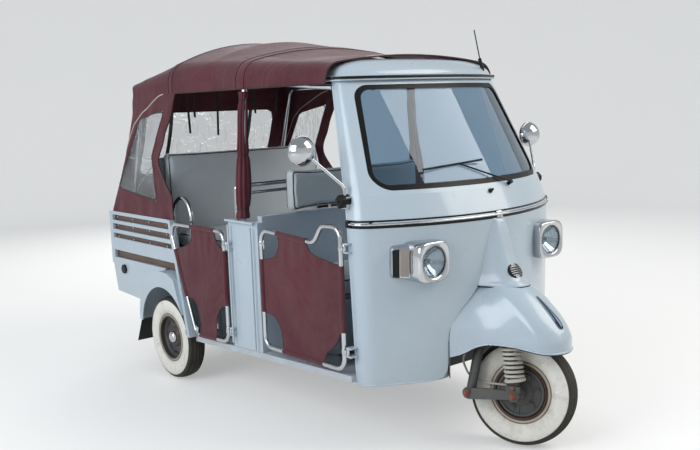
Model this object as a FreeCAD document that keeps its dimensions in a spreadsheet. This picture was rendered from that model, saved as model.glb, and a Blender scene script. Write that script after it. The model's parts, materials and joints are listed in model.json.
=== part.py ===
import FreeCAD, Part

import math
import os

import Sketcher

from FreeCAD import Placement, Rotation, Vector

# Auto rickshaw: a three-wheeled open passenger carrier with a steel cab front, a canvas hood
# and canvas doors. +X is forward, +Y is the vehicle's left, +Z is up, in millimetres.
# The origin is on the ground under the middle of the whole vehicle.

os.makedirs("parts", exist_ok=True)
doc = FreeCAD.newDocument("auto_rickshaw")
sheet = doc.addObject("Spreadsheet::Sheet", "dims")

# Driving dimensions: alias, value, what it is
DIMS = (
    ("front_axle_x", 1325, "front wheel's centre, forward of the origin, steered straight"),
    ("wheelbase", 2090, "front wheel centre to rear wheel centres"),
    ("track", 1250, "between the rear tyres' middles"),
    ("tyre_radius", 245, "outer radius of each tyre"),
    ("tyre_width", 116, "section width of each tyre"),
    ("rim_radius", 127, "bead seat radius"),
    ("hub_bore", 15, "radius of the axle through a wheel"),
    ("castor", 20, "steering axis leans back from upright, degrees"),
    ("axis_offset", 40, "steering axis behind the wheel centre at axle height"),
    ("steer_rest", 24, "front wheel stands turned to the left, degrees"),
    ("wall", 18, "pressed double-skin wall of the cab"),
    ("sheet_steel", 6, "single pressed panel with its hemmed edge"),
    ("body_half_width", 645, "half width at the belt and the side panels"),
    ("rear_half_width", "=body_half_width - 5", "half width of the rear body"),
    ("belt_z", 1055, "height of the belt trim"),
    ("sill_front_z", 350, "underside of the floor at the front door"),
    ("sill_rear_z", 268, "underside of the floor at the rear door"),
    ("floor_thick", 30, "floor pan"),
    ("cab_low_z", 330, "lower edge of the cab front"),
    ("screen_low_z", 1175, "lower edge of the windscreen opening"),
    ("roof_z", 1680, "height of the roof gutter"),
    ("belt_front_x", 1200, "cab front on the centreline at the belt"),
    ("low_front_x", 1180, "cab front on the centreline at its lower edge"),
    ("screen_front_x", 1145, "cab front on the centreline below the glass"),
    ("roof_front_x", 855, "cab front on the centreline at the gutter"),
    ("door_edge_x", 895, "front edge of the driver's door opening"),
    ("door_edge_screen_x", 855, "the same edge at the windscreen's lower corner"),
    ("door_edge_roof_x", 655, "the same edge at the gutter"),
    ("screen_half_width", 622, "cab half width below the glass"),
    ("roof_half_width", 512, "cab half width at the gutter"),
    ("front_bulge", 1000, "radius of the cab front seen from above"),
    ("front_corner", 90, "corner radius of the cab seen from above"),
    ("roof_corner", 55, "corner radius at the gutter"),
    ("roof_back_x", 545, "rear edge of the metal roof cap"),
    ("roof_rise", 105, "metal roof cap above its gutter"),
    ("roof_crown_z", "=roof_z + roof_rise", "top of the metal roof cap"),
    ("gutter_reach", 14, "roof gutter stands out beyond the cab"),
    ("glass_thick", 6, "windscreen glass"),
    ("gasket_wide", 22, "rubber frame round the glass"),
    ("guard_front_x", 1591, "front mudguard's foremost point"),
    ("guard_low_z", 505, "top of the wheel opening in the cab front"),
    ("guard_top_z", 768, "front mudguard's top"),
    ("guard_half_width", 284, "front mudguard's half width where it meets the cab"),
    ("housing_half_width", 214, "half width of the wheel housing's rear wall"),
    ("guard_back_x", 1015, "rear wall of the front wheel's housing"),
    ("cone_half_width", 138, "nose cone's half width at its foot"),
    ("cone_front_x", 1336, "nose cone's face at its foot"),
    ("lamp_y", 399, "headlamp centres from the centreline"),
    ("lamp_z", 886, "headlamp centres above the ground"),
    ("lamp_face_x", 1180, "headlamp glass"),
    ("lamp_radius", 72, "headlamp bezel"),
    ("mirror_x", 752, "mirror bowl centre"),
    ("mirror_y", "=screen_half_width + 146", "mirror bowl centre from the centreline"),
    ("mirror_z", 1378, "mirror bowl centre above the ground"),
    ("mirror_radius", 66, "mirror bowl"),
    ("post_front_x", 180, "front edge of the side panel behind the driver's door"),
    ("post_back_x", -95, "rear edge of that panel"),
    ("post_top_z", 1000, "top of that panel"),
    ("seat_front_x", 600, "front of the driver's cushion"),
    ("seat_top_z", 750, "top of the driver's cushion"),
    ("seat_half_width", 460, "half width of the driver's seat"),
    ("back_low_z", 1030, "lower edge of the driver's back pad"),
    ("back_top_z", "=back_low_z + 232", "top of the driver's back pad"),
    ("pad_thick", 80, "thickness of the back pads"),
    ("bench_front_x", -300, "front of the passengers' cushion"),
    ("bench_back_x", -875, "front face of the passengers' back pad"),
    ("bench_top_z", 865, "top of the passengers' cushion"),
    ("bench_pad_top_z", 1335, "top of the passengers' back pad"),
    ("bench_half_width", "=rear_half_width - 55", "half width of the passengers' bench"),
    ("cushion_thick", 120, "thickness of the seat cushions"),
    ("pillar_top_x", -745, "rear edge of the passengers' door at its top"),
    ("pillar_low_x", -470, "the same edge at the sill"),
    ("panel_top_z", 942, "top of the rear side panels"),
    ("rear_x", -1575, "rear face of the body"),
    ("rear_low_z", 400, "lower edge of the rear body"),
    ("fender_radius", 312, "rear wheel arch"),
    ("fender_x", "=front_axle_x - wheelbase - 15", "centre of the rear wheel arch"),
    ("fender_z", 330, "centre height of the rear wheel arch"),
    ("fender_out_y", "=rear_half_width + 62", "outer face of the rear wheel arch"),
    ("fender_in_y", "=fender_out_y - 202", "inner wall of the rear wheel arch"),
    ("hood_front_x", 668, "front edge of the canvas roof at the cab"),
    ("hood_rear_x", -1265, "rear edge of the canvas roof"),
    ("hood_edge_z", "=roof_z - 12", "lower edge of the canvas roof"),
    ("hood_rise", 287, "canvas roof above its lower edge"),
    ("hood_top_z", "=hood_edge_z + hood_rise", "highest point of the canvas roof"),
    ("hood_half_width", "=rear_half_width - 34", "half width of the canvas roof"),
    ("soft_gap", 0.3, "running gap between cloth and what it lies on"),
    ("canvas_thick", 5, "canvas with its seams"),
    ("tube_radius", 11, "chromed tube of doors and rails"),
    ("post_radius", 14, "tubes that carry the hood"),
    ("door_y", "=body_half_width + 17", "middle plane of the doors and their hinge pins"),
    ("door_hinge_x", "=door_edge_x - 5", "hinge pins of the driver's doors"),
    ("gate_hinge_x", "=post_back_x + 1", "hinge pins of the passengers' doors"),
    ("door_back_x", 236, "rear tube of the driver's doors"),
    ("floor_half_width", "=body_half_width + 5", "half width of the floor with its sill edges"),
    ("lid_half", 330, "half width of the engine lid"),
    ("lid_low_z", 460, "lower edge of the engine lid"),
    ("lid_top_z", 712, "upper edge of the engine lid"),
    ("lid_hinge_z", "=lid_top_z + 14", "hinge pin of the engine lid"),
)

for row, (alias, value, note) in enumerate(DIMS, start=1):
    sheet.set(f"A{row}", alias)
    sheet.set(f"B{row}", str(value))
    sheet.set(f"C{row}", note)
    sheet.setAlias(f"B{row}", alias)
doc.recompute()


class Sizes:
    """The sheet's values by name."""

    def __getattr__(self, name):
        return float(sheet.get(name))


D = Sizes()
SUBPARTS = []
X, Y, Z = Vector(1, 0, 0), Vector(0, 1, 0), Vector(0, 0, 1)
PLANES = {"xz": Rotation(X, 90), "yz": Rotation(Vector(1, 1, 1), 120), "xy": Rotation()}


def keep(obj):
    """Mark a document object as a sub-part that is written to its own file."""
    obj.Label = obj.Name
    SUBPARTS.append(obj)
    return obj


def shaped(name, shape):
    """A document object whose shape is worked out from the sheet's values."""
    obj = doc.addObject("Part::Feature", name)
    obj.Shape = shape
    return obj


def part(name, shape):
    """The same as a sub-part."""
    return keep(shaped(name, shape))


def bind(obj, **rules):
    """Bind properties of an object to expressions on the sheet."""
    path = {"x": "Placement.Base.x", "y": "Placement.Base.y", "z": "Placement.Base.z"}
    for prop, rule in rules.items():
        obj.setExpression(path.get(prop, prop), rule)
    return obj


def box(name, low, size):
    """A box bound to the sheet: corner and size are expressions."""
    obj = doc.addObject("Part::Box", name)
    return bind(obj, Length=size[0], Width=size[1], Height=size[2], x=low[0], y=low[1], z=low[2])


def cylinder(name, foot, axis, radius, height):
    """A cylinder bound to the sheet, from its foot along an axis."""
    obj = doc.addObject("Part::Cylinder", name)
    obj.Placement = Placement(Vector(), Rotation(Z, axis))
    return bind(obj, Radius=radius, Height=height, x=foot[0], y=foot[1], z=foot[2])


def fused(name, objects):
    """Several objects as one."""
    obj = doc.addObject("Part::MultiFuse", name)
    obj.Shapes = objects
    obj.Refine = True
    return obj


def cut(name, base, tool):
    """One object less another."""
    obj = doc.addObject("Part::Cut", name)
    obj.Base, obj.Tool = base, tool
    return obj


def pair(name, obj):
    """An object and its mirror image on the vehicle's other side, as one."""
    image = doc.addObject("Part::Mirroring", f"{name}_image")
    image.Source, image.Normal, image.Base = obj, Y, Vector()
    whole = doc.addObject("Part::Compound", name)
    whole.Links = [obj, image]
    return whole


def curve(start, end, radius):
    """An arc between two corners of a sketch; a positive radius turns to the left."""
    half, middle = (end - start) / 2, (start + end) / 2
    across = Vector(-half.y, half.x, 0).normalize()
    reach = math.sqrt(radius ** 2 - half.Length ** 2)
    centre = middle + across * math.copysign(reach, radius)
    first, last = (start, end) if radius > 0 else (end, start)
    ring = Part.Circle(centre, Z, abs(radius))
    begin = math.atan2(first.y - centre.y, first.x - centre.x)
    finish = math.atan2(last.y - centre.y, last.x - centre.x)
    return Part.ArcOfCircle(ring, begin, finish if finish > begin else finish + 2 * math.pi)


def sketch(name, plane, corners, holder=doc):
    """A closed outline held by expressions: (across, up) or (across, up, radius to the next)."""
    make = holder.addObject if holder is doc else holder.newObject
    obj = make("Sketcher::SketchObject", name)
    obj.Placement = Placement(Vector(), PLANES[plane])
    spots = [Vector(obj.evalExpression(c[0]), obj.evalExpression(c[1]), 0) for c in corners]
    ends = []
    for i, corner in enumerate(corners):
        start, end = spots[i], spots[(i + 1) % len(spots)]
        turn = obj.evalExpression(corner[2]) if len(corner) == 3 else 0
        obj.addGeometry(curve(start, end, turn) if turn else Part.LineSegment(start, end), False)
        ends.append((2, 1) if turn < 0 else (1, 2))
    for i, corner in enumerate(corners):
        after = (i + 1) % len(corners)
        obj.addConstraint(Sketcher.Constraint("Coincident", i, ends[i][1], after, ends[after][0]))
        for kind, rule, place in (("DistanceX", corner[0], spots[i].x), ("DistanceY", corner[1], spots[i].y)):
            index = obj.addConstraint(Sketcher.Constraint(kind, -1, 1, i, ends[i][0], place))
            obj.setExpression(f"Constraints[{index}]", rule)
        if len(corner) == 3:
            size = abs(obj.evalExpression(corner[2]))
            index = obj.addConstraint(Sketcher.Constraint("Radius", i, size))
            obj.setExpression(f"Constraints[{index}]", f"abs({corner[2]})")
    return obj


def plate(name, plane, corners, low, thick):
    """A flat outline in one plane, given a thickness from a low side; all are expressions."""
    flat = sketch(f"{name}_outline", plane, corners)
    bind(flat, **{{"xz": "y", "yz": "x", "xy": "z"}[plane]: low})
    obj = doc.addObject("Part::Extrusion", name)
    obj.Base, obj.DirMode, obj.Solid = flat, "Custom", True
    obj.Dir = {"xz": Y, "yz": X, "xy": Z}[plane]
    return bind(obj, LengthFwd=thick)


def turned(name, corners):
    """A PartDesign body turned about the Y axis from an (across, up) outline."""
    body = doc.addObject("PartDesign::Body", name)
    flat = sketch(f"{name}_outline", "yz", corners, body)
    ring = body.newObject("PartDesign::Revolution", f"{name}_ring")
    ring.Profile, ring.ReferenceAxis, ring.Angle = flat, (flat, ["H_Axis"]), 360
    return keep(body)


def block(low, high):
    """A plain box between two corners."""
    size = Vector(*high) - Vector(*low)
    return Part.makeBox(size.x, size.y, size.z, Vector(*low))


def rod(start, end, radius):
    """A round bar between two points."""
    start, end = Vector(*start), Vector(*end)
    return Part.makeCylinder(radius, (end - start).Length, start, end - start)


def mirrored(shape):
    """The same shape on the vehicle's other side."""
    return shape.mirror(Vector(), Y)


def both(shape):
    """A shape and its mirror image as one compound."""
    return Part.makeCompound([shape, mirrored(shape)])


def join(shapes):
    """One solid, or a compound of solids, from shapes that meet."""
    whole = shapes[0].fuse(shapes[1:]) if len(shapes) > 1 else shapes[0]
    return whole.removeSplitter()


def bow(tip, back, half, bulge, corner):
    """Outline points of a bowed front: arcs and lines as (forward, across) pairs.

    Returns the main arc's three points, the corner arcs' points and the square back.
    """
    centre = tip - bulge
    side = centre + math.sqrt((bulge - corner) ** 2 - (half - corner) ** 2)
    turn = math.atan2(half - corner, side - centre)
    on_main = (centre + bulge * math.cos(turn), bulge * math.sin(turn))
    lean = (turn + math.pi / 2) / 2
    on_corner = (side + corner * math.cos(lean), half - corner + corner * math.sin(lean))
    return {"tip": (tip, 0), "main": on_main, "mid": on_corner, "side": (side, half),
            "back": (back, half)}


def bow_wire(place, tip, back, half, bulge, corner):
    """A closed wire round a bowed outline; place turns (forward, across) into a Vector."""
    points = bow(tip, back, half, bulge, corner)

    def at(key, sign):
        forward, across = points[key]
        return place(forward, sign * across)

    edges = [
        Part.Arc(at("main", -1), at("tip", 1), at("main", 1)).toShape(),
        Part.Arc(at("main", 1), at("mid", 1), at("side", 1)).toShape(),
        Part.makeLine(at("side", 1), at("back", 1)),
        Part.makeLine(at("back", 1), at("back", -1)),
        Part.makeLine(at("back", -1), at("side", -1)),
        Part.Arc(at("side", -1), at("mid", -1), at("main", -1)).toShape(),
    ]
    return Part.Wire(edges)


def level(z):
    """Place a bowed outline flat at a height, its front to +X."""
    return lambda forward, across: Vector(forward, across, z)


def tail(z):
    """Place a bowed outline flat at a height, its front to -X."""
    return lambda forward, across: Vector(-forward, across, z)


def arch(x):
    """Place a bowed outline upright at a station, its front upwards."""
    return lambda forward, across: Vector(x, across, forward)


def loft(wires):
    """A solid between straight-sided sections."""
    return Part.makeLoft(wires, True, True)


def bar(edges, radius):
    """A round bar that follows straight and circular edges."""
    solids = []
    for edge in edges:
        start = edge.valueAt(edge.FirstParameter)
        along = edge.tangentAt(edge.FirstParameter)
        if isinstance(edge.Curve, Part.Line):
            solids.append(Part.makeCylinder(radius, edge.Length, start, along))
            continue
        disc = Part.Face(Part.Wire(Part.makeCircle(radius, start, along)))
        centre = edge.Curve.Center
        turn = (start - centre).cross(along)
        angle = math.degrees(edge.Length / edge.Curve.Radius)
        solids.append(disc.revolve(centre, turn, angle))
    return join(solids)


def pipe(points, radius, bend, closed=False):
    """A round bar along straight runs with bends of one radius."""
    nodes = [Vector(*p) for p in points]
    count = len(nodes)
    starts, ends, arcs = {}, {}, {}
    for i in range(count) if closed else range(1, count - 1):
        here, before, after = nodes[i], nodes[i - 1], nodes[(i + 1) % count]
        a, b = (before - here).normalize(), (after - here).normalize()
        half = a.getAngle(b) / 2
        reach = min(bend / math.tan(half), 0.45 * (before - here).Length,
                    0.45 * (after - here).Length)
        size = reach * math.tan(half)
        middle = here + (a + b).normalize() * (size / math.sin(half) - size)
        starts[i], ends[i] = here + a * reach, here + b * reach
        arcs[i] = Part.Arc(starts[i], middle, ends[i]).toShape()
    edges = []
    for i in range(count if closed else count - 1):
        j = (i + 1) % count
        edges.append(Part.makeLine(ends.get(i, nodes[i]), starts.get(j, nodes[j])))
        if j in arcs:
            edges.append(arcs[j])
    return bar(edges, radius)


def slab(points, axis, low, high):
    """A flat outline of (x, z) or (y, z) or (x, y) pairs given a thickness along an axis."""
    spots = {
        "y": lambda p: Vector(p[0], low, p[1]),
        "x": lambda p: Vector(low, p[0], p[1]),
        "z": lambda p: Vector(p[0], p[1], low),
    }[axis]
    ring = [spots(p) for p in points]
    face = Part.Face(Part.makePolygon(ring + ring[:1]))
    return face.extrude({"x": X, "y": Y, "z": Z}[axis] * (high - low))


def rounded_slab(points, axis, low, high, radius):
    """The same with its corners rounded by one radius."""
    solid = slab(points, axis, low, high)
    way = {"x": X, "y": Y, "z": Z}[axis]
    edges = [e for e in solid.Edges
             if e.Length > 0 and abs(abs(e.tangentAt(e.FirstParameter).dot(way)) - 1) < 1e-6]
    return solid.makeFillet(radius, edges)


# Steering frame: straight-ahead places are turned about the leaning axis to the rest pose
LEAN = math.radians(D.castor)
STEER_FOOT = Vector(D.front_axle_x - D.axis_offset, 0, D.tyre_radius)
STEER_AXIS = Vector(-math.sin(LEAN), 0, math.cos(LEAN))
SHOULDER_IN, SHOULDER_DROP = 16, 7  # tread edge inside the sidewall and below the crown
STEER_TURN = Placement(Vector(), Rotation(STEER_AXIS, D.steer_rest), STEER_FOOT)
FRONT_CENTRE = Vector(D.front_axle_x, 0, D.tyre_radius)
REAR_X = D.front_axle_x - D.wheelbase


def steer_drop():
    """How far the turned tyre has to move to stand on the ground."""
    flat = STEER_TURN.Rotation.multVec(Y)
    tread = D.tyre_width / 2 - SHOULDER_IN
    crown = (tread ** 2 + SHOULDER_DROP ** 2) / (2 * SHOULDER_DROP)
    deep = (D.tyre_radius - crown) * math.sqrt(1 - flat.z ** 2) + crown
    return deep - STEER_TURN.multVec(FRONT_CENTRE).z


STEER_DROP = steer_drop()
REST = Placement(Vector(0, 0, STEER_DROP), Rotation()).multiply(STEER_TURN)


def steered(shape):
    """Turn a straight-ahead shape to the way the front wheel stands, on the ground."""
    return shape.transformed(REST.toMatrix(), True)


def on_axis(z):
    """Point of the steering axis at a height, before the turned wheel meets the ground."""
    return STEER_FOOT + STEER_AXIS * ((z - STEER_FOOT.z) / STEER_AXIS.z)


print(f"steering axis through {STEER_FOOT.x:.3f}, 0, {STEER_FOOT.z + STEER_DROP:.3f}")
print("front wheel centre", REST.multVec(FRONT_CENTRE), "axis", REST.Rotation.multVec(Y))

# Wheels: outlines as (across, up, radius to the next), turned about the axle
HALF = "dims.tyre_width / 2"
BEAD = f"{HALF} - 15.5"
TREAD_RADIUS = (f"(({HALF} - {SHOULDER_IN}) ^ 2 + {SHOULDER_DROP} ^ 2) / {2 * SHOULDER_DROP}")
TYRE = (
    (f"{BEAD} - 14", "dims.rim_radius + 0.3"),
    (BEAD, "dims.rim_radius + 0.3"),
    (BEAD, "dims.rim_radius + 13", "50"),
    (f"{HALF} - 3", "dims.tyre_radius - 38"),
    (f"{HALF} - {SHOULDER_IN}", f"dims.tyre_radius - {SHOULDER_DROP}", TREAD_RADIUS),
    (f"-({HALF} - {SHOULDER_IN})", f"dims.tyre_radius - {SHOULDER_DROP}"),
    (f"-({HALF} - 3)", "dims.tyre_radius - 38", "50"),
    (f"-({BEAD})", "dims.rim_radius + 13"),
    (f"-({BEAD})", "dims.rim_radius + 0.3"),
    (f"-({BEAD} - 14)", "dims.rim_radius + 0.3"),
    (f"-({HALF} - 26)", "dims.rim_radius + 16", "-(dims.tyre_width * 0.42)"),
    (f"{HALF} - 26", "dims.rim_radius + 16"),
)
FLANGE = f"{HALF} - 15"  # the rim's half width inside its flanges


def rim_outline(side):
    """A pressed wheel's outline: flanges, well, disc and hub; side is where the face looks."""
    seat, skin = "dims.rim_radius", "dims.rim_radius - 5"
    across_up = (
        (f"-({FLANGE} + 4)", f"{seat} + 12"), (f"-({FLANGE})", f"{seat} + 12"), (f"-({FLANGE})", seat),
        (f"-({FLANGE} - 22)", seat), (f"-({FLANGE} - 32)", f"{seat} - 14"),
        (f"{FLANGE} - 32", f"{seat} - 14"), (f"{FLANGE} - 22", seat), (FLANGE, seat),
        (FLANGE, f"{seat} + 12"), (f"{FLANGE} + 4", f"{seat} + 12"), (f"{FLANGE} + 4", skin),
        (f"{FLANGE} - 20", skin), (f"{FLANGE} - 30", f"{seat} - 20"), ("14", f"{seat} - 20"),
        ("14", "60"), ("26", "48"), ("26", "dims.hub_bore"), ("-16", "dims.hub_bore"), ("-16", "48"),
        ("6", "60"), ("6", f"{seat} - 20"), (f"-({FLANGE} - 30)", f"{seat} - 20"),
        (f"-({FLANGE} - 20)", skin), (f"-({FLANGE} + 4)", skin),
    )
    return [(f"{side} * ({across})", up) for across, up in across_up]


for item in (turned("front_tyre", TYRE), turned("front_rim", rim_outline(1))):
    item.Placement = REST.multiply(Placement(FRONT_CENTRE, Rotation()))
for side_name, sign in (("right", -1), ("left", 1)):
    for item in (turned(f"rear_tyre_{side_name}", TYRE),
                 turned(f"rear_rim_{side_name}", rim_outline(sign))):
        bind(item, x="dims.front_axle_x - dims.wheelbase", y=f"{sign} * dims.track / 2",
             z="dims.tyre_radius")

GUARD_WIDE_X = D.low_front_x - 32  # where the mudguard is widest, on the cab's face

# Front fork: a single leg on the right, a leading link, spring and brake plate
LINK_BACK, LINK_Y, LEG_RADIUS = 219, -112, 22
LINK_OUT, LINK_IN = LINK_Y - 44, LINK_Y - 24
axle = FRONT_CENTRE
pivot = axle + Vector(-LINK_BACK, LINK_Y, -20)
crown = on_axis(D.tyre_radius + 300)
knee = Vector(pivot.x + 30, LINK_Y, D.tyre_radius + 175)
handle = on_axis(D.belt_z + 5)
leg = pipe([tuple(pivot + Vector(6, 0, 4)), tuple(knee), tuple(crown), tuple(handle)],
           LEG_RADIUS, 60)
part("steering_fork", steered(join([
    leg,
    rod(pivot + Vector(0, -23, 0), pivot + Vector(0, 24, 0), 27),
])))
bar_half, grip_back, grip_radius = 300, 200, 13
handlebar = pipe([(handle.x - grip_back, -bar_half, handle.z + 20),
                  (handle.x - 60, -bar_half + 120, handle.z + 50),
                  (handle.x - 60, bar_half - 120, handle.z + 50),
                  (handle.x - grip_back, bar_half, handle.z + 20)], grip_radius, 60)
clamp = join([Part.makeCylinder(30, 60, handle, STEER_AXIS),
              block((handle.x - 80, -28, handle.z + 20), (handle.x - 10, 28, handle.z + 60))])
part("handlebar", steered(join([handlebar, clamp])))
link = join([
    slab([(pivot.x + 8, pivot.z - 24), (axle.x, axle.z - 16), (axle.x, axle.z + 22),
          (pivot.x + 70, pivot.z + 34), (pivot.x + 26, pivot.z + 28)], "y", LINK_OUT, LINK_IN),
    rod((axle.x, LINK_OUT - 6, axle.z), (axle.x, LINK_Y - 22, axle.z), 25),
])
spring_foot = Vector(axle.x - 5, LINK_Y - 8, axle.z + 62)
spring_head = Vector(axle.x - 42, LINK_Y - 8, axle.z + 232)
spring_way = (spring_head - spring_foot).normalize()
spring = join([
    rod(spring_foot - Vector(0, 0, 18), spring_foot, 36),
    rod(spring_foot, spring_head, 34),
    rod(spring_head, spring_head + spring_way * 26, 26),
])
bracket = slab([(axle.x - 36, axle.z + 15), (axle.x + 26, axle.z + 15), (axle.x + 26, axle.z + 43.7),
                (axle.x - 36, axle.z + 43.7)], "y", LINK_OUT, LINK_IN)
plate_radius, plate_out, plate_in = 110, -46, -34
part("brake_plate", steered(join([
    rod((axle.x, LINK_Y - 22, axle.z), (axle.x, plate_out, axle.z), 30),
    rod((axle.x, plate_out, axle.z), (axle.x, plate_in, axle.z), plate_radius),
    rod((axle.x, plate_in, axle.z), (axle.x, -plate_in, axle.z), D.hub_bore - 0.3),
])))
part("front_link", steered(join([link, bracket])))
part("front_spring", steered(spring))
cable_radius = 5
cable = pipe([(axle.x - 219, LINK_Y + 3, axle.z + 205), (axle.x - 272, LINK_Y + 14, axle.z + 127),
              (axle.x - 238, LINK_Y + 28, axle.z + 52), (axle.x - 160, LINK_Y + 42, axle.z + 26),
              (axle.x - 75, plate_out - 12, axle.z + 26), (axle.x - 60, plate_out, axle.z + 26)],
             cable_radius, 55)
cable = cable.cut(leg).cut(rod((axle.x, plate_out, axle.z), (axle.x, plate_in, axle.z), plate_radius))
part("brake_cable", steered(cable))

# Floor: one sloping plate from the front wheel's housing to the bench
floor_front, floor_back = D.low_front_x - 60, D.pillar_low_x - 30


def floor_at(x):
    """Underside of the sloping floor at a place along the vehicle."""
    share = (floor_front - x) / (floor_front - floor_back)
    return D.sill_front_z + (D.sill_rear_z - D.sill_front_z) * share


def floor_top(x):
    """Upper side of the floor at a place along the vehicle."""
    return floor_at(x) + D.floor_thick


# Chassis: two rails under the floor, cross members and the swing arms between them
RAIL_RADIUS, CROSS_RADIUS, ARM_RADIUS, RAIL_Y = 26, 24, 22, 330
rail_front, rail_high = D.door_edge_x + 60, 600
pivot_x = floor_back + 65
pivot_z = floor_at(pivot_x) - RAIL_RADIUS - 1


def rail_z(x):
    """Centre height of the chassis rails under the floor."""
    return floor_at(x) - RAIL_RADIUS - 0.4


rails = [pipe([(rail_front, sign * RAIL_Y, rail_z(rail_front)),
               (floor_back - 150, sign * RAIL_Y, rail_z(floor_back - 150)),
               (REAR_X - 90, sign * RAIL_Y, rail_high),
               (D.rear_x + 60, sign * RAIL_Y, rail_high)], RAIL_RADIUS, 200)
         for sign in (-1, 1)]
cross = [rod((x, -RAIL_Y, z), (x, RAIL_Y, z), CROSS_RADIUS)
         for x, z in ((D.door_edge_x, rail_z(D.door_edge_x)), (D.post_front_x, rail_z(D.post_front_x)),
                      (pivot_x, pivot_z), (REAR_X - 200, rail_high), (D.rear_x + 120, rail_high))]
chassis = join(rails + cross)
part("chassis_frame", chassis)
stub_in, stub_hub = D.fender_in_y - 60, D.track / 2 - 22
arms = []
for sign in (-1, 1):
    arms.append(join([
        pipe([(pivot_x - 5, sign * 300, pivot_z),
              (REAR_X + 90, sign * stub_in, D.tyre_radius + 4),
              (REAR_X, sign * stub_in, D.tyre_radius)], ARM_RADIUS, 60),
        rod((REAR_X, sign * (stub_in - 30), D.tyre_radius), (REAR_X, sign * stub_hub, D.tyre_radius), 38),
        rod((REAR_X, sign * stub_hub, D.tyre_radius),
            (REAR_X, sign * (D.track / 2 + 40), D.tyre_radius), D.hub_bore - 0.3),
    ]))
part("rear_arms", Part.makeCompound(arms).cut(chassis))
ENGINE_LONG, MUFFLER = 460, 62
keep(box("engine_block", (f"dims.front_axle_x - dims.wheelbase - 60 - {ENGINE_LONG}", "-200", "250"),
         (f"{ENGINE_LONG}", "400", f"{rail_high - CROSS_RADIUS - 250.3}")))
engine_back = REAR_X - 60 - ENGINE_LONG
keep(fused("exhaust", [
    cylinder("muffler", (f"{engine_back - MUFFLER - 0.3}", "-330", "320"), Y, f"{MUFFLER}", "450"),
    cylinder("tail_pipe", (f"{engine_back - 90}", "-260", "320"), Vector(-1, 0, -0.08), "18", "130"),
]))


def cab_solid(shrink, reach, low, high):
    """The cab front's outer or inner form, shrunk by a wall and reaching back."""
    stations = (
        (low, D.low_front_x, D.door_edge_x, D.body_half_width - 25, D.front_corner),
        (D.belt_z, D.belt_front_x, D.door_edge_x, D.body_half_width, D.front_corner),
        (D.screen_low_z, D.screen_front_x, D.door_edge_screen_x, D.screen_half_width,
         D.front_corner),
        (high, D.roof_front_x, D.door_edge_roof_x, D.roof_half_width, D.roof_corner),
    )
    return loft([
        bow_wire(level(z), tip - shrink, back - reach, half - shrink,
                 D.front_bulge - shrink, corner - shrink)
        for z, tip, back, half, corner in stations
    ])


cab_outer = cab_solid(0, 0, D.cab_low_z, D.roof_z)
cab_inner = cab_solid(D.wall, 200, D.cab_low_z, D.roof_z)


def guard_wire(z, tip, nose, wide, shrink):
    """A bullet-shaped outline: a round nose, sides that part towards the cab, a square back."""
    tip, nose, wide = tip - shrink, nose - shrink, wide - shrink
    back, narrow = D.guard_back_x + shrink, min(D.housing_half_width - shrink, wide)
    centre = tip - nose
    away = centre - GUARD_WIDE_X
    turn = math.atan2(wide, -away) - math.acos(nose / math.hypot(away, wide))
    meet = Vector(centre + nose * math.cos(turn), nose * math.sin(turn), z)

    def far(point):
        return Vector(point.x, -point.y, point.z)

    side, rear = Vector(GUARD_WIDE_X, wide, z), Vector(back, narrow, z)
    return Part.Wire([
        Part.Arc(far(meet), Vector(tip, 0, z), meet).toShape(), Part.makeLine(meet, side),
        Part.makeLine(side, rear), Part.makeLine(rear, far(rear)),
        Part.makeLine(far(rear), far(side)), Part.makeLine(far(side), far(meet)),
    ])


def guard_solid(shrink, low):
    """Front mudguard and wheel housing as stacked bullet-shaped outlines."""
    top, tip, half = D.guard_top_z, D.guard_front_x, D.guard_half_width
    stations = (
        (low, tip, 105, half),
        (top - 263, tip, 105, half),
        (top - 211, tip - 28, 110, half - 10),
        (top - 168, tip - 58, 115, half - 30),
        (top - 128, tip - 101, 120, half - 55),
        (top - 78, tip - 159, 118, half - 104),
        (top - 40, tip - 210, 108, half - 140),
        (top - 16, tip - 254, 85, half - 176),
        (top, tip - 311, 50, half - 226),
    )
    return loft([guard_wire(z if z == low else z - shrink, front, nose, wide, shrink)
                 for z, front, nose, wide in stations])


guard_low = D.cab_low_z
guard_outer = guard_solid(0, guard_low)
guard_inner = guard_solid(D.sheet_steel, guard_low)
skirt_x, skirt_z = GUARD_WIDE_X + 1, D.guard_low_z
guard_skirt = slab([(skirt_x, guard_low - 5), (skirt_x, skirt_z - 70), (skirt_x + 47, skirt_z - 49),
                    (skirt_x + 97, skirt_z - 21), (skirt_x + 152, skirt_z - 12),
                    (skirt_x + 232, skirt_z - 11), (skirt_x + 332, skirt_z - 19),
                    (D.guard_front_x + 40, skirt_z - 26), (D.guard_front_x + 40, guard_low - 5)],
                   "y", -400, 400)
drop = Vector(0, 0, STEER_DROP)
head_low, head_high = on_axis(640) + drop, on_axis(D.guard_top_z + 82) + drop
head_tube = rod(head_low, head_high, LEG_RADIUS + 10)
head_bore = rod(head_low - STEER_AXIS * 20, head_high + STEER_AXIS * 20, LEG_RADIUS + 0.3)
part("front_mudguard", join([guard_outer.cut(guard_inner).cut(guard_skirt), head_tube]).cut(head_bore))

# Windscreen opening: a rounded plate pushed through the cab front along X
screen_top, screen_low = D.roof_z - 22, D.screen_low_z + 18


def screen_plate(grow):
    """The windscreen's outline, grown or shrunk, pushed through the cab front."""
    top, low = screen_top + grow, screen_low - grow
    half_top, half_low = D.roof_half_width - 42 + grow, D.screen_half_width - 62 + grow
    return rounded_slab([(-half_low, low), (half_low, low), (half_top, top), (-half_top, top)],
                        "x", D.door_edge_roof_x - 300, D.belt_front_x + 300, 75 + grow)


# Hinges: two lugs and a pin on the body, a barrel with a leaf on the door
PIN_RADIUS, BARREL_RADIUS, LUG_THICK, BARREL_HALF = 4, 8, 6, 16


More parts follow.
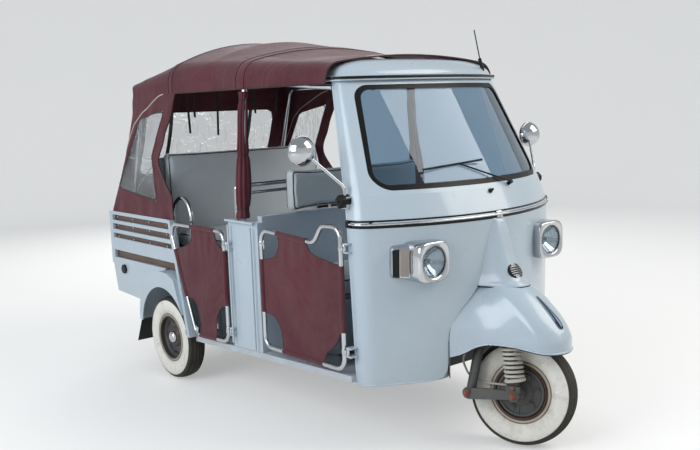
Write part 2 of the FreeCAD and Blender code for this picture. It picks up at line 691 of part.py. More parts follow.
def hinge_lugs(x, inner_y, heights):
    """The body's side of a right door's hinges: lugs above and below, and the pin."""
    pieces = []
    for z in heights:
        for low in (z - BARREL_HALF - LUG_THICK, z + BARREL_HALF):
            pieces.append(block((x - 6, -D.door_y - 6, low), (x + 28, inner_y, low + LUG_THICK)))
        pieces.append(rod((x, -D.door_y, z - BARREL_HALF - 1), (x, -D.door_y, z + BARREL_HALF + 1),
                          PIN_RADIUS))
    return pieces


def hinge_barrels(x, tube_x, heights):
    """The right door's side: a barrel round each pin and a leaf to the door's tube."""
    pieces = []
    for z in heights:
        low, high = z - BARREL_HALF + 0.3, z + BARREL_HALF - 0.3
        leaf = block((tube_x, -D.door_y - 3, low + 2), (x, -D.door_y + 3, high - 2))
        barrel = rod((x, -D.door_y, low), (x, -D.door_y, high), BARREL_RADIUS)
        bore = rod((x, -D.door_y, low - 1), (x, -D.door_y, high + 1), PIN_RADIUS + 0.3)
        pieces.append(leaf.fuse(barrel).cut(bore))
    return pieces


DOOR_HINGES = (480, 950)
GATE_HINGES = (400, 860)
cab_skin = cab_outer.cut(cab_inner)
opening = screen_plate(0)
arch_low, arch_half = D.cab_low_z, D.guard_half_width
arch_side = [(arch_half + 66, arch_low - 5), (arch_half + 66, arch_low + 1), (arch_half + 26, arch_low + 10),
             (arch_half + 6, arch_low + 36), (arch_half, arch_low + 72), (arch_half, D.guard_low_z)]
arch_cut = guard_outer.fuse(slab(arch_side + [(-y, z) for y, z in reversed(arch_side)], "x",
                                 GUARD_WIDE_X - 24, D.low_front_x + 40))
arch_cut = arch_cut.fuse(block((D.guard_back_x, -D.housing_half_width, arch_low - 5),
                               (GUARD_WIDE_X, D.housing_half_width, D.guard_low_z)))
cab_lugs = hinge_lugs(D.door_hinge_x, -D.body_half_width + 28, DOOR_HINGES)
cab_lugs += [mirrored(piece) for piece in cab_lugs]
part("cab_front", join([cab_skin.cut(opening).cut(arch_cut)] + cab_lugs))
FLOOR = (
    (f"{floor_back}", "dims.sill_rear_z"), ("dims.low_front_x - 60", "dims.sill_front_z"),
    ("dims.low_front_x - 60", "dims.sill_front_z + dims.floor_thick"),
    (f"{floor_back}", "dims.sill_rear_z + dims.floor_thick"),
)
floor_plate = plate("floor_plate", "xz", FLOOR, "-dims.floor_half_width", "2 * dims.floor_half_width")
doc.recompute()
front_corners = block((D.door_edge_x - 1, -900, 0), (D.belt_front_x + 200, 900, D.belt_z))
floor_relief = front_corners.cut(cab_inner).fuse(arch_cut)
keep(cut("floor_pan", floor_plate, shaped("floor_relief", floor_relief)))

# Glass and its rubber frame fill the opening: gasket is the ring, glass the thin middle
glass_hole = screen_plate(-D.gasket_wide)
outer_glass = cab_solid(D.wall / 2 - D.glass_thick / 2, 0, D.cab_low_z, D.roof_z)
inner_glass = cab_solid(D.wall / 2 + D.glass_thick / 2, 200, D.cab_low_z, D.roof_z)
part("windscreen_gasket", cab_skin.common(opening).cut(glass_hole))
part("windscreen_glass", outer_glass.cut(inner_glass).common(glass_hole))


# Roof cap with a gutter, bowed like the cab below it
def roof_solid(shrink):
    """The metal roof cap's outer or inner form."""
    reach, top = D.gutter_reach, D.roof_crown_z
    stations = (  # height, growth at the front, growth at the sides, corner
        (D.roof_z, reach, reach, D.roof_corner),
        (D.roof_z + 20, reach, reach, D.roof_corner),
        (D.roof_z + 24, -4, -6, D.roof_corner),
        (D.roof_z + 62, -40, -34, D.roof_corner),
        (top - 16, -100, -90, D.roof_corner + 20),
        (top, -160, -180, D.roof_corner + 30),
    )
    return loft([
        bow_wire(level(z - (shrink if z > D.roof_z else 0)), D.roof_front_x + tip - shrink,
                 D.roof_back_x - (20 if shrink else 0), D.roof_half_width + side - shrink,
                 D.front_bulge, corner)
        for z, tip, side, corner in stations
    ])


roof_outer = roof_solid(0)
gutter_floor = D.roof_z + 4
roof_inner = roof_solid(D.sheet_steel).common(
    block((0, -900, gutter_floor), (D.belt_front_x, 900, D.roof_crown_z)))
roof_mouth = Part.Face(bow_wire(level(D.roof_z), D.roof_front_x - D.wall, D.roof_back_x - 20,
                                D.roof_half_width - D.wall, D.front_bulge - D.wall,
                                D.roof_corner - D.wall)).extrude(Z * 5)
part("cab_roof", roof_outer.cut(roof_inner).cut(roof_mouth))

# Nose cone on the centreline, from the belt down to the mudguard
cone = loft([
    bow_wire(level(z), tip, D.low_front_x - 40, half, bulge, corner)
    for z, tip, half, bulge, corner in (
        (D.guard_top_z - 70, D.cone_front_x + 14, D.cone_half_width + 10, 200, 90),
        (D.guard_top_z - 26, D.cone_front_x, D.cone_half_width - 2, 190, 88),
        (D.guard_top_z + 34, D.cone_front_x - 42, D.cone_half_width - 24, 170, 76),
        (D.belt_z - 130, D.belt_front_x + 48, 82, 120, 50),
        (D.belt_z - 12, D.belt_front_x + 12, 36, 70, 22),
    )
])
part("nose_cone", cone.cut(cab_outer).cut(guard_outer).cut(arch_cut))

# Belt trim and horn grille
belt = cab_solid(-6, -4, D.cab_low_z, D.roof_z).cut(cab_outer).common(
    block((D.door_edge_x + 4, -900, D.belt_z - 17), (D.belt_front_x + 60, 900, D.belt_z + 17)))
horn_z, horn_radius = D.guard_top_z + 35, 32
horn_x = D.cone_front_x - 42
horn = rod((horn_x - 30, 0, horn_z - 13), (horn_x + 6, 0, horn_z + 5), horn_radius)
part("front_trim", Part.makeCompound([belt.cut(cone), horn.cut(cone)]))

# Headlamps: a chromed pod with a round glass and a wing that follows the cab's corner
LAMP_PROUD, LAMP_WIDE = 34, 172
lamp_form = cab_solid(-LAMP_PROUD, -4, D.cab_low_z, D.roof_z).cut(cab_outer)


def headlamp():
    """The right headlamp pod, cut to the cab front it sits on."""
    centre = Vector(D.lamp_face_x, -D.lamp_y, D.lamp_z)
    bowl = Part.makeCylinder(D.lamp_radius, 190, centre - X * 190, X)
    inner, outer = centre.y, centre.y - LAMP_WIDE
    case = rounded_slab([(inner, D.lamp_z - 66), (inner, D.lamp_z + 66), (outer, D.lamp_z + 56),
                         (outer, D.lamp_z - 56)], "x", centre.x - 300, centre.x + 200, 24)
    glass = Part.makeSphere(170, centre - X * 158).common(
        Part.makeCylinder(D.lamp_radius - 10, 30, centre - X * 2, X))
    return join([bowl, case.common(lamp_form), glass]).cut(cab_outer)


part("headlights", both(headlamp()))


# Mirrors: bowl on a bent rod from a bracket at the windscreen's lower corner
def mirror():
    """The right mirror with its rod and bracket."""
    centre = Vector(D.mirror_x, -D.mirror_y, D.mirror_z)
    foot = Vector(D.door_edge_screen_x + 28, -D.screen_half_width - 22, D.screen_low_z - 20)
    rim, deep = D.mirror_radius, 52
    ring = [Vector(-14, 0, 0), Vector(-14, rim, 0), Vector(-2, rim, 0), Vector(deep, 8, 0), Vector(deep, 0, 0)]
    bowl = Part.Face(Part.Wire([
        Part.makeLine(ring[0], ring[1]), Part.makeLine(ring[1], ring[2]),
        Part.Arc(ring[2], Vector(34, rim * 0.72, 0), ring[3]).toShape(),
        Part.makeLine(ring[3], ring[4]), Part.makeLine(ring[4], ring[0]),
    ])).revolve(Vector(), X, 360)
    bowl.translate(centre)
    stalk = pipe([tuple(foot), tuple(foot + Vector(0, 0, 62)),
                  tuple(centre + Vector(18, 22, -24))], 7, 40)
    bracket = block(tuple(foot - Vector(20, 8, 34)), tuple(foot + Vector(20, 26, 20)))
    return join([bowl, stalk, bracket]).cut(cab_outer)


part("mirrors", both(mirror()))


def on_front(y, z):
    """Point of the cab's skin between the glass's lower edge and the gutter."""
    share = (z - D.screen_low_z) / (D.roof_z - D.screen_low_z)
    tip = D.screen_front_x + (D.roof_front_x - D.screen_front_x) * share
    return Vector(tip - D.front_bulge + math.sqrt(D.front_bulge ** 2 - y ** 2), y, z)


# Wiper: spindle at the foot of the glass, arm and blade in front of it
out = Vector(0.87, 0, 0.5)
wiper_foot = on_front(145, D.screen_low_z + 4)
wiper_top = wiper_foot + out * 26
blade_start = on_front(-330, D.screen_low_z + 92) + out * 16
blade_end = on_front(10, D.screen_low_z + 116) + out * 16
part("wiper", join([
    rod(wiper_foot - out * 10, wiper_top, 9),
    rod(wiper_top - out * 4, blade_start + (blade_end - blade_start) * 0.6, 4),
    rod(blade_start, blade_end, 5),
]).cut(cab_outer))

# Dashboard shelf behind the screen
dash_outer = cab_solid(D.wall + 1, 0, D.cab_low_z, D.roof_z)
part("dashboard", dash_outer.common(
    block((on_axis(D.belt_z).x + 72, -900, D.belt_z - 60), (D.belt_front_x, 900, D.belt_z + 30))))

# Aerial on the roof's far side
aerial_foot = Vector(D.roof_front_x - 100, 400, D.roof_z + 40)
aerial = join([rod(aerial_foot, aerial_foot + Vector(-22, 0, 62), 9),
               rod(aerial_foot + Vector(-18, 0, 52), aerial_foot + Vector(-62, 6, 210), 3)])
part("aerial", aerial.cut(roof_outer))

# Panels behind the driver's doors, a cross wall and the driver's seat box
wall_thick, post_thick = 40, 30
post_foot = floor_top(D.post_back_x)
POST = (
    ("dims.post_back_x", f"{post_foot}"), ("dims.post_front_x", f"{floor_top(D.post_front_x)}"),
    ("dims.post_front_x", "dims.post_top_z"), ("dims.post_back_x", "dims.post_top_z"),
)
post_plate = plate("post_plate", "xz", POST, "-dims.body_half_width", f"{post_thick}")
post_hinges = shaped("post_hinges", join(hinge_lugs(D.gate_hinge_x, -D.body_half_width, GATE_HINGES)))
keep(pair("side_posts", fused("side_post", [post_plate, post_hinges])))
wall_in = D.body_half_width - post_thick - 0.3
wall_foot, seat_foot = floor_top(D.post_front_x), floor_top(D.seat_front_x - 20)
keep(fused("seat_box", [
    box("cross_wall", (f"dims.post_front_x - {wall_thick}", f"-{wall_in}", f"{wall_foot}"),
        (f"{wall_thick}", f"{2 * wall_in}", f"dims.back_low_z - {wall_foot}")),
    box("seat_pan", ("dims.post_front_x", "-dims.seat_half_width", f"{seat_foot}"),
        ("dims.seat_front_x - dims.post_front_x - 20", "2 * dims.seat_half_width",
         f"dims.seat_top_z - dims.cushion_thick - {seat_foot}")),
]))


def cushion(name, low, size, radius):
    """A padded block with rounded edges, bound to the sheet."""
    pad = box(f"{name}_block", low, size)
    doc.recompute()
    obj = doc.addObject("Part::Fillet", name)
    obj.Base = pad
    obj.Edges = [(index + 1, radius, radius) for index in range(len(pad.Shape.Edges))]
    return keep(obj)


cushion("driver_seat", ("dims.post_front_x + 1", "-dims.seat_half_width",
                        "dims.seat_top_z - dims.cushion_thick + dims.soft_gap"),
        ("dims.seat_front_x - dims.post_front_x - 1", "2 * dims.seat_half_width",
         "dims.cushion_thick - dims.soft_gap"), 35)
cushion("driver_backrest", (f"dims.post_front_x - {wall_thick} - 5", "-dims.seat_half_width",
                            "dims.back_low_z + dims.soft_gap"),
        ("dims.pad_thick", "2 * dims.seat_half_width",
         "dims.back_top_z - dims.back_low_z - dims.soft_gap"), 30)

# Passengers' bench: box over the engine, cushion and back pad
bench_pan_z = D.bench_top_z - D.cushion_thick
bench_foot = floor_top(D.bench_front_x - 20)
PAN = "dims.bench_top_z - dims.cushion_thick"
WIDE = "2 * dims.bench_half_width"
bench = fused("bench_box", [
    box("bench_front", ("dims.bench_front_x - 60", "-dims.bench_half_width", f"{bench_foot}"),
        ("40", WIDE, f"{PAN} - {bench_foot}")),
    box("bench_pan", ("dims.rear_x + dims.sheet_steel", "-dims.bench_half_width", f"{PAN} - 20"),
        ("dims.bench_front_x - 20 - dims.rear_x - dims.sheet_steel", WIDE, "20")),
    box("bench_back", ("dims.bench_back_x - dims.pad_thick - 30", "-dims.bench_half_width", PAN),
        ("30", WIDE, f"dims.bench_pad_top_z - 40 - ({PAN})")),
])
keep(bench)
cushion("passenger_seat", ("dims.bench_back_x + 6", "-(dims.bench_half_width - 30)",
                           f"{PAN} + dims.soft_gap"),
        ("dims.bench_front_x - dims.bench_back_x - 6", "2 * (dims.bench_half_width - 30)",
         "dims.cushion_thick - dims.soft_gap"), 40)
cushion("passenger_backrest", ("dims.bench_back_x - dims.pad_thick + dims.soft_gap",
                               "-(dims.bench_half_width - 10)", f"{PAN} + dims.soft_gap"),
        ("dims.pad_thick - dims.soft_gap", "2 * (dims.bench_half_width - 10)",
         f"dims.bench_pad_top_z - ({PAN}) - dims.soft_gap"), 30)


# Rear side panels: rails, lower panel, corner post and the leaning door pillar
def pillar_x(z):
    """The passengers' door edge leans: its place at a height."""
    share = (z - D.sill_rear_z) / (D.panel_top_z - D.sill_rear_z)
    return D.pillar_low_x + (D.pillar_top_x - D.pillar_low_x) * share


RAILS = ((942, 22), (884, 22), (825, 24))  # top height, depth
BAND = (770, 690)                          # top, bottom
PILLAR_WIDE = 28
LOW_PANEL_Z = 645
out_y = D.rear_half_width
flap_in, flap_drop = D.fender_in_y + 20, 160


def pillar():
    """The right door pillar: leans back and in as it rises."""
    sections = []
    for z, near, far in ((floor_top(D.pillar_low_x) + 0.2, D.fender_out_y - 2, out_y),
                         (D.panel_top_z, out_y + 5, out_y - 25)):
        x = pillar_x(z)
        corners = [Vector(x, -near, z), Vector(x - PILLAR_WIDE, -near, z),
                   Vector(x - PILLAR_WIDE, -far, z), Vector(x, -far, z)]
        sections.append(Part.makePolygon(corners + corners[:1]))
    return loft(sections)


def behind_pillar(shrink):
    """Everything behind the pillar's rear face, as a thick slab."""
    low, high = -200, 1400
    return slab([(pillar_x(low) - PILLAR_WIDE - 0.3 - shrink, low),
                 (pillar_x(high) - PILLAR_WIDE - 0.3 - shrink, high), (D.rear_x - 300, high),
                 (D.rear_x - 300, low)], "y", -900, 0)


def side_panel():
    """The right rear side: pillar, three rails, lower panels and rear corner post."""
    pieces = [pillar()]
    for top, deep in RAILS + ((BAND[0], BAND[0] - BAND[1]),):
        pieces.append(slab([(pillar_x(top) - 20, top), (pillar_x(top - deep) - 20, top - deep),
                            (D.rear_x + 10, top - deep), (D.rear_x + 10, top)], "y", -out_y, -out_y + 16))
    low_panel = slab([(D.fender_x - 60, LOW_PANEL_Z), (D.fender_x - 290, D.rear_low_z),
                      (D.rear_x + 60, D.rear_low_z + 20), (D.rear_x + 10, LOW_PANEL_Z - 5)],
                     "y", -out_y, -out_y + 16)
    hole = Part.makeCylinder(D.fender_radius + 0.3, 200, Vector(D.fender_x, -out_y - 100, D.fender_z), Y)
    pieces.append(low_panel.cut(hole))
    pieces.append(block((D.rear_x, -out_y, LOW_PANEL_Z - 45), (D.rear_x + 45, -out_y + 45, D.panel_top_z)))
    return join(pieces)


part("side_panels", both(side_panel()))
planks = []
BOARD_OUT, BOARD_IN = -out_y + 16 + D.soft_gap, -out_y + 28
for top, low in ((926, 881), (867, 822), (808, 765)):
    planks.append(slab([(pillar_x(top) - 36, top), (pillar_x(low) - 36, low),
                        (D.rear_x + 50, low), (D.rear_x + 50, top)], "y", BOARD_OUT, BOARD_IN))
low_board = slab([(pillar_x(700) - 36, 700), (pillar_x(500) - 36, 500), (D.fender_x + 60, 500),
                  (D.fender_x + 60, LOW_PANEL_Z + 3), (D.rear_x + 50, LOW_PANEL_Z - 8), (D.rear_x + 50, 700)],
                 "y", BOARD_OUT, BOARD_IN)
planks.append(low_board.cut(Part.makeCylinder(
    D.fender_radius + 1, 200, Vector(D.fender_x, -out_y - 100, D.fender_z), Y)))
part("wood_planks", both(Part.makeCompound(planks)))

ARCH_OPENING = (-10, -53, 270)  # opening's centre from the arch's centre, and its radius


def fender():
    """The right rear wheel arch: a half ring ended by the pillar, an outer face and an inner wall."""
    hub = Vector(D.fender_x, -D.fender_out_y, D.fender_z)
    deep = D.fender_out_y - D.fender_in_y
    outer = Part.makeCylinder(D.fender_radius, deep, hub, Y).common(behind_pillar(0))
    inner = Part.makeCylinder(D.fender_radius - D.sheet_steel, deep, hub, Y)
    inner = inner.common(behind_pillar(D.sheet_steel))
    inner = inner.common(block((D.rear_x, -D.fender_out_y + D.sheet_steel, 0),
                               (0, -D.fender_in_y - D.sheet_steel, 900)))
    keep_out = block((D.fender_x - 500, -900, -100), (D.fender_x + 500, 0, D.fender_z - 22))
    forward, up, radius = ARCH_OPENING
    hole = Part.makeCylinder(radius, 60, hub + Vector(forward, -30, up), Y)
    axle_slot = block((REAR_X - 90, -D.fender_in_y - 30, 0), (REAR_X + 120, 0, D.fender_z + 60))
    return join([outer.cut(inner).cut(keep_out).cut(hole).cut(axle_slot)])


part("rear_fenders", both(fender()))
flap_top = "dims.fender_z - 22.3"
flap_x = "dims.fender_x - dims.fender_radius + 1"
FLAP = (
    (f"{flap_x} - 76", f"{flap_drop - 4}"), (f"{flap_x} - 72", f"{flap_drop - 4}"),
    (f"{flap_x} + 4", flap_top), (flap_x, flap_top),
)
keep(pair("mud_flaps", plate("mud_flap", "xz", FLAP, "-dims.fender_out_y + 10",
                             f"dims.fender_out_y - 10 - {flap_in}")))

# Rear panel with the engine lid, its hinge and the lamps
panel_half = out_y - 46
holes = [cylinder(f"plate_hole_{place}", ("dims.rear_x - 10", f"{place}", "800"), X, "3.5", "30")
         for place in (70, 210)]
holes[1].setExpression("Placement.Base.y", "-70")
lid_gap = box("lid_gap", ("dims.rear_x - 5", "-dims.lid_half - 6", "dims.lid_low_z - 6"),
              ("25", "2 * dims.lid_half + 12", "dims.lid_top_z - dims.lid_low_z + 12"))
panel_sheet = cut("panel_sheet", box(
    "panel_plate", ("dims.rear_x", f"-{panel_half}", "dims.rear_low_z"),
    ("dims.sheet_steel", f"{2 * panel_half}", "dims.panel_top_z - dims.rear_low_z")),
    fused("panel_gaps", [lid_gap] + holes))
LID_HINGES, lid_pin_x = (-240, 240), "dims.rear_x - 8"
pins = [cylinder(f"lid_pin_{n}", (lid_pin_x, f"{y - 46}", "dims.lid_hinge_z"), Y, f"{PIN_RADIUS}", "92")
        for n, y in enumerate(LID_HINGES)]
lugs = [box(f"lid_lug_{n}", ("dims.rear_x - 13", f"{y}", "dims.lid_hinge_z - 5"), ("13.5", "16", "14"))
        for n, y in enumerate(y + step for y in LID_HINGES for step in (-46, 30))]
keep(fused("rear_panel", [panel_sheet] + pins + lugs))
barrels = [cylinder(f"lid_barrel_{n}", (lid_pin_x, f"{y - 29.7}", "dims.lid_hinge_z"), Y, "7", "59.4")
           for n, y in enumerate(LID_HINGES)]
leaves = [box(f"lid_leaf_{n}", ("dims.rear_x - 8", f"{y - 27}", "dims.lid_top_z - 30"),
              ("4", "54", "dims.lid_hinge_z - dims.lid_top_z + 30")) for n, y in enumerate(LID_HINGES)]
bores = [cylinder(f"lid_bore_{n}", (lid_pin_x, f"{y - 40}", "dims.lid_hinge_z"), Y,
                  f"{PIN_RADIUS + 0.3}", "80") for n, y in enumerate(LID_HINGES)]
lid_plate = box("lid_plate", ("dims.rear_x - 4", "-dims.lid_half", "dims.lid_low_z"),
                ("dims.sheet_steel", "2 * dims.lid_half", "dims.lid_top_z - dims.lid_low_z"))
keep(cut("rear_lid", fused("lid_whole", [lid_plate] + leaves + barrels), fused("lid_bores", bores)))
LAMP_DEEP = 20
keep(pair("tail_lamps", cylinder("tail_lamp", (f"dims.rear_x - {LAMP_DEEP}", "-500", "640"), X, "45",
                                 f"{LAMP_DEEP}")))
keep(cylinder("filler_cap", ("-1395", "-dims.rear_half_width", "575"), Vector(0, -1, 0), "29", "12"))

# Hood: tubes, canvas roof, rear curtain with clear windows, rolled side curtains
MAIN_BOW_X = -700  # rear main bow, where the roof breaks downwards
CROWN = (  # station x, half width, corner, crown height, straight side above the edge
    (D.hood_front_x, D.hood_half_width - 46, 90, D.roof_crown_z + 19, 12),
    (300, D.hood_half_width - 6, 110, D.hood_top_z - 123, 24),
    (-350, D.hood_half_width, 125, D.hood_top_z - 5, 55),
    (MAIN_BOW_X, D.hood_half_width, 120, D.hood_top_z, 62),
    (D.hood_rear_x, D.hood_half_width - 8, 60, D.hood_edge_z + 100, 14),
)


def crown_bulge(half, corner, height, side):
    """Bulge radius that ends the crown's corners at the top of the straight side."""
    drop_to = height - D.hood_edge_z - side
    return (drop_to ** 2 + (half - corner) ** 2 - corner ** 2) / (2 * (drop_to - corner))


def hood_solid(shrink):
    """The canvas roof's outer or inner form."""
    return loft([
        bow_wire(arch(x), top - shrink, D.hood_edge_z - (20 if shrink else 0), half - shrink,
                 crown_bulge(half, corner, top, side) - shrink, corner - shrink)
        for x, half, corner, top, side in CROWN
    ])


def crown_at(x):
    """Half width, corner, crown height and straight side of the canvas roof at a station."""
    for (x1, *front), (x0, *back) in zip(CROWN, CROWN[1:]):
        if x0 <= x <= x1:
            share = (x1 - x) / (x1 - x0)
            return [a + (b - a) * share for a, b in zip(front, back)]
    raise ValueError(f"the hood has no station {x}")


def hood_bow(x, ease):
    """A bent tube under the canvas at a station between two sections, a little further inside."""
    half, corner, top, side = crown_at(x)
    thin = D.post_radius - 2
    lean = math.hypot(1, (crown_at(x + thin)[2] - crown_at(x - thin)[2]) / (2 * thin))
    inset = D.canvas_thick + thin * lean + 0.95 + ease
    bulge = crown_bulge(half, corner, top, side) - inset
    points = bow(top - inset, 0, half - inset, bulge, corner - inset)

    def at(key, sign):
        return arch(x)(points[key][0], sign * points[key][1])

    return bar([Part.Arc(at("side", 1), at("mid", 1), at("main", 1)).toShape(),
                Part.Arc(at("main", 1), at("tip", 1), at("main", -1)).toShape(),
                Part.Arc(at("main", -1), at("mid", -1), at("side", -1)).toShape()], thin)


part("canopy_top", hood_solid(0).cut(hood_solid(D.canvas_thick)))


def curtain_solid(shrink):
    """The rear curtain's form: square sides, rounded rear corners, leaning forward as it rises."""
    half_low, half_top = D.rear_half_width - 2, D.hood_half_width - 12
    return loft([
        bow_wire(tail(z), -tip - shrink, -front - (20 if shrink else 0), half - shrink,
                 4000 - shrink, 90 - shrink)
        for z, tip, front, half in (
            (D.panel_top_z + D.soft_gap, D.rear_x, -720, half_low),
            (D.hood_edge_z - 250, D.hood_rear_x - 58, -620, half_low + (half_top - half_low) * 0.65),
            (D.hood_edge_z + 4, D.hood_rear_x + 12, -560, half_top),
        )
    ])


curtain = curtain_solid(0).cut(curtain_solid(D.canvas_thick))
edge_keep = slab([(D.rear_x - 100, D.panel_top_z - 10), (-712, D.panel_top_z - 10),
                  (-722, 1050), (-890, 1270), (-830, 1400), (-605, D.hood_edge_z + 92),
                   (D.rear_x - 100, D.hood_edge_z + 92)],
                 "y", -900, 900)
quarter = rounded_slab([(-906, 1040), (-1440, 1096), (-1120, 1530), (-812, 1585), (-980, 1300)],
                       "y", -900, 900, 20)
rear_window = rounded_slab([(-485, 1160), (485, 1160), (485, 1565), (-485, 1565)], "x",
                           D.rear_x - 100, D.hood_rear_x + 20, 60)
windows = quarter.fuse(rear_window)
curtain = curtain.common(edge_keep)
part("rear_curtain", curtain.cut(windows))
part("hood_windows", curtain.common(windows))

# Hood frame: two uprights, two side rails that come down at both ends, three bows
post_x, post_y = 25, D.hood_half_width + 18
top_z = D.hood_edge_z + 22


def rail_y(x):
    """Side rail's distance from the centreline under the canvas at a station."""
    return crown_at(x)[0] - D.canvas_thick - D.post_radius - 4


frame_tubes = []
for sign in (-1, 1):
    frame_tubes.append(pipe([(post_x, sign * post_y, D.post_top_z), (post_x, sign * post_y, D.post_top_z + 60),
                             (post_x, sign * rail_y(post_x), top_z)], D.post_radius, 300))
    frame_tubes.append(pipe([
        (D.door_edge_roof_x - 1, sign * (D.roof_half_width - 6), D.roof_z - 26),
        (D.roof_back_x + 10, sign * (D.roof_half_width + 22), D.roof_z - 18),
        (300, sign * rail_y(300), top_z - 2),
        (MAIN_BOW_X, sign * rail_y(MAIN_BOW_X), top_z),
        (D.hood_rear_x + 106, sign * (rail_y(D.hood_rear_x + 106) - 16), top_z),
        (D.rear_x + 120, sign * (rail_y(D.hood_rear_x) - 24), bench_pan_z - 10)], D.post_radius, 60))
frame_all = join(frame_tubes + [hood_bow(x, ease)
                           for x, ease in ((post_x, 1.0), (MAIN_BOW_X + 10, 0), (D.hood_rear_x + 162, 0.5))])
frame_all = frame_all.cut(block((D.rear_x, -900, 0), (-900, 900, bench_pan_z)))
part("canopy_frame", frame_all)
roll_low = D.post_top_z + 12  # rolled curtains hang from the hood's edge to just above the posts
roll_long = D.hood_edge_z - roll_low - 12
roll = Part.makeCone(42, 26, roll_long, Vector(post_x - 6, -post_y, roll_low), Vector(0, 42, roll_long))
roll = roll.cut(pipe([(post_x, -post_y, D.post_top_z), (post_x, -post_y, D.post_top_z + 60),
                      (post_x, -rail_y(post_x), top_z)], D.post_radius + 0.3, 300))
part("rolled_curtains", both(roll))

# Grab rail behind the driver
GRAB = ((1180, D.tube_radius), (1140, 8))  # height, radius
grab_bars = fused("grab_bars", [
    cylinder(f"grab_bar_{height}", (f"{post_x}", f"-{post_y}", f"{height}"), Y, f"{size}", f"{2 * post_y}")
    for height, size in GRAB])
keep(cut("grab_rails", grab_bars, shaped("grab_relief", Part.makeCompound(
    [frame_all, roll, mirrored(roll)]))))


def armrest():
    """The right armrest: a chromed hoop on the bench with a D-shaped pad in it."""
    base_x, arm_y = D.pillar_top_x + 8, -D.bench_half_width + D.tube_radius + 2
    top, reach = D.panel_top_z + 130, 165
    hoop = pipe([(base_x, arm_y, bench_pan_z), (base_x, arm_y, top), (base_x + reach - 30, arm_y, top - 18),
                 (base_x + reach, arm_y, bench_pan_z)], D.tube_radius, 60)
    pad = rounded_slab([(base_x, D.bench_top_z), (base_x, top), (base_x + reach - 34, top - 18),
                        (base_x + reach - 12, D.bench_top_z)], "y", arm_y - 9, arm_y + 9, 34)
    return join([hoop, pad]).cut(block((base_x - 90, arm_y - 60, bench_pan_z - 60),
                                       (base_x + 300, arm_y + 60, bench_pan_z + 0.3)))


part("armrests", both(armrest()))


# Doors: a bent tube with laced canvas, hinged at the front edge
def door(outline, canvas, hinge_x, heights):
    """A right door: its tube frame, the canvas stretched on it and its hinge barrels."""
    y = -D.door_y
    tube = pipe([(x, y, z) for x, z in outline], D.tube_radius, 55, closed=True)
    cloth = slab(canvas, "y", y - D.canvas_thick / 2, y + D.canvas_thick / 2)
    tube_x = max(x for x, z in outline)
    whole = join([tube, cloth] + hinge_barrels(hinge_x, tube_x, heights))
    bores = Part.makeCompound([rod((hinge_x, y, z - 30), (hinge_x, y, z + 30), PIN_RADIUS + 0.3)
                               for z in heights])
    return whole.cut(bores)


front_edge, back_edge = D.door_hinge_x - 25, D.door_back_x
DRIVER_TUBE = ((back_edge, 975), (596, 955), (668, 950), (730, 1035), (front_edge, 1040),
               (front_edge, 392), (back_edge, 384))
DRIVER_CANVAS = ((back_edge, 800), (300, 860), (345, 975), (596, 955), (620, 905), (700, 888),
                 (front_edge, 868), (front_edge, 560), (800, 500), (735, 455), (700, 384), (360, 384),
                 (350, 470), (300, 540), (back_edge, 545))
door_right = door(DRIVER_TUBE, DRIVER_CANVAS, D.door_hinge_x, DOOR_HINGES)
part("driver_door_right", door_right)
part("driver_door_left", mirrored(door_right))
gate_top, gate_rise = D.panel_top_z - 12, 20
gate_front, gate_back = D.gate_hinge_x - 25, pillar_x(gate_top) + 26
low_z = floor_top(pillar_x(330)) + gate_rise
front_z = floor_top(gate_front) + gate_rise
GATE_TUBE = ((gate_front, gate_top), (gate_back, gate_top), (pillar_x(low_z) + 24, low_z),
             (gate_front, front_z))
GATE_CANVAS = ((gate_front, 840), (gate_front - 90, gate_top), (gate_back + 120, gate_top),
               (gate_back + 20, 820), (pillar_x(440) + 26, 440), (pillar_x(low_z) + 110, low_z + 3),
               (gate_front - 100, front_z), (gate_front, 440))
gate_right = door(GATE_TUBE, GATE_CANVAS, D.gate_hinge_x, GATE_HINGES)
part("passenger_door_right", gate_right)
part("passenger_door_left", mirrored(gate_right))

doc.recompute()
for obj in doc.Objects:
    if "Invalid" in obj.State or "Error" in obj.State:
        raise RuntimeError(f"{obj.Name} did not build: {obj.State}")
faults = [obj.Label for obj in SUBPARTS
          if obj.Shape.isNull() or not obj.Shape.isValid() or not obj.Shape.Solids]
for obj in SUBPARTS:
    span = obj.Shape.optimalBoundingBox(False)
    print(f"{obj.Label}: {len(obj.Shape.Solids)} solids, {obj.Shape.Volume / 1e6:.2f} litres, "
          f"x {span.XMin:.0f}..{span.XMax:.0f} y {span.YMin:.0f}..{span.YMax:.0f} "
          f"z {span.ZMin:.0f}..{span.ZMax:.0f}")
if faults:
    raise RuntimeError(f"no valid solid in {', '.join(faults)}")
for obj in SUBPARTS:
    obj.Shape.exportStep(os.path.join("parts", f"{obj.Label}.step"))
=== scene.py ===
"""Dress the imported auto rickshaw: paint, canvas, chrome, rubber and its small fittings."""

import json
import logging
import math
from dataclasses import dataclass
from enum import Enum
from typing import Callable, Sequence

import bmesh
import bpy
from mathutils import Matrix, Vector, noise

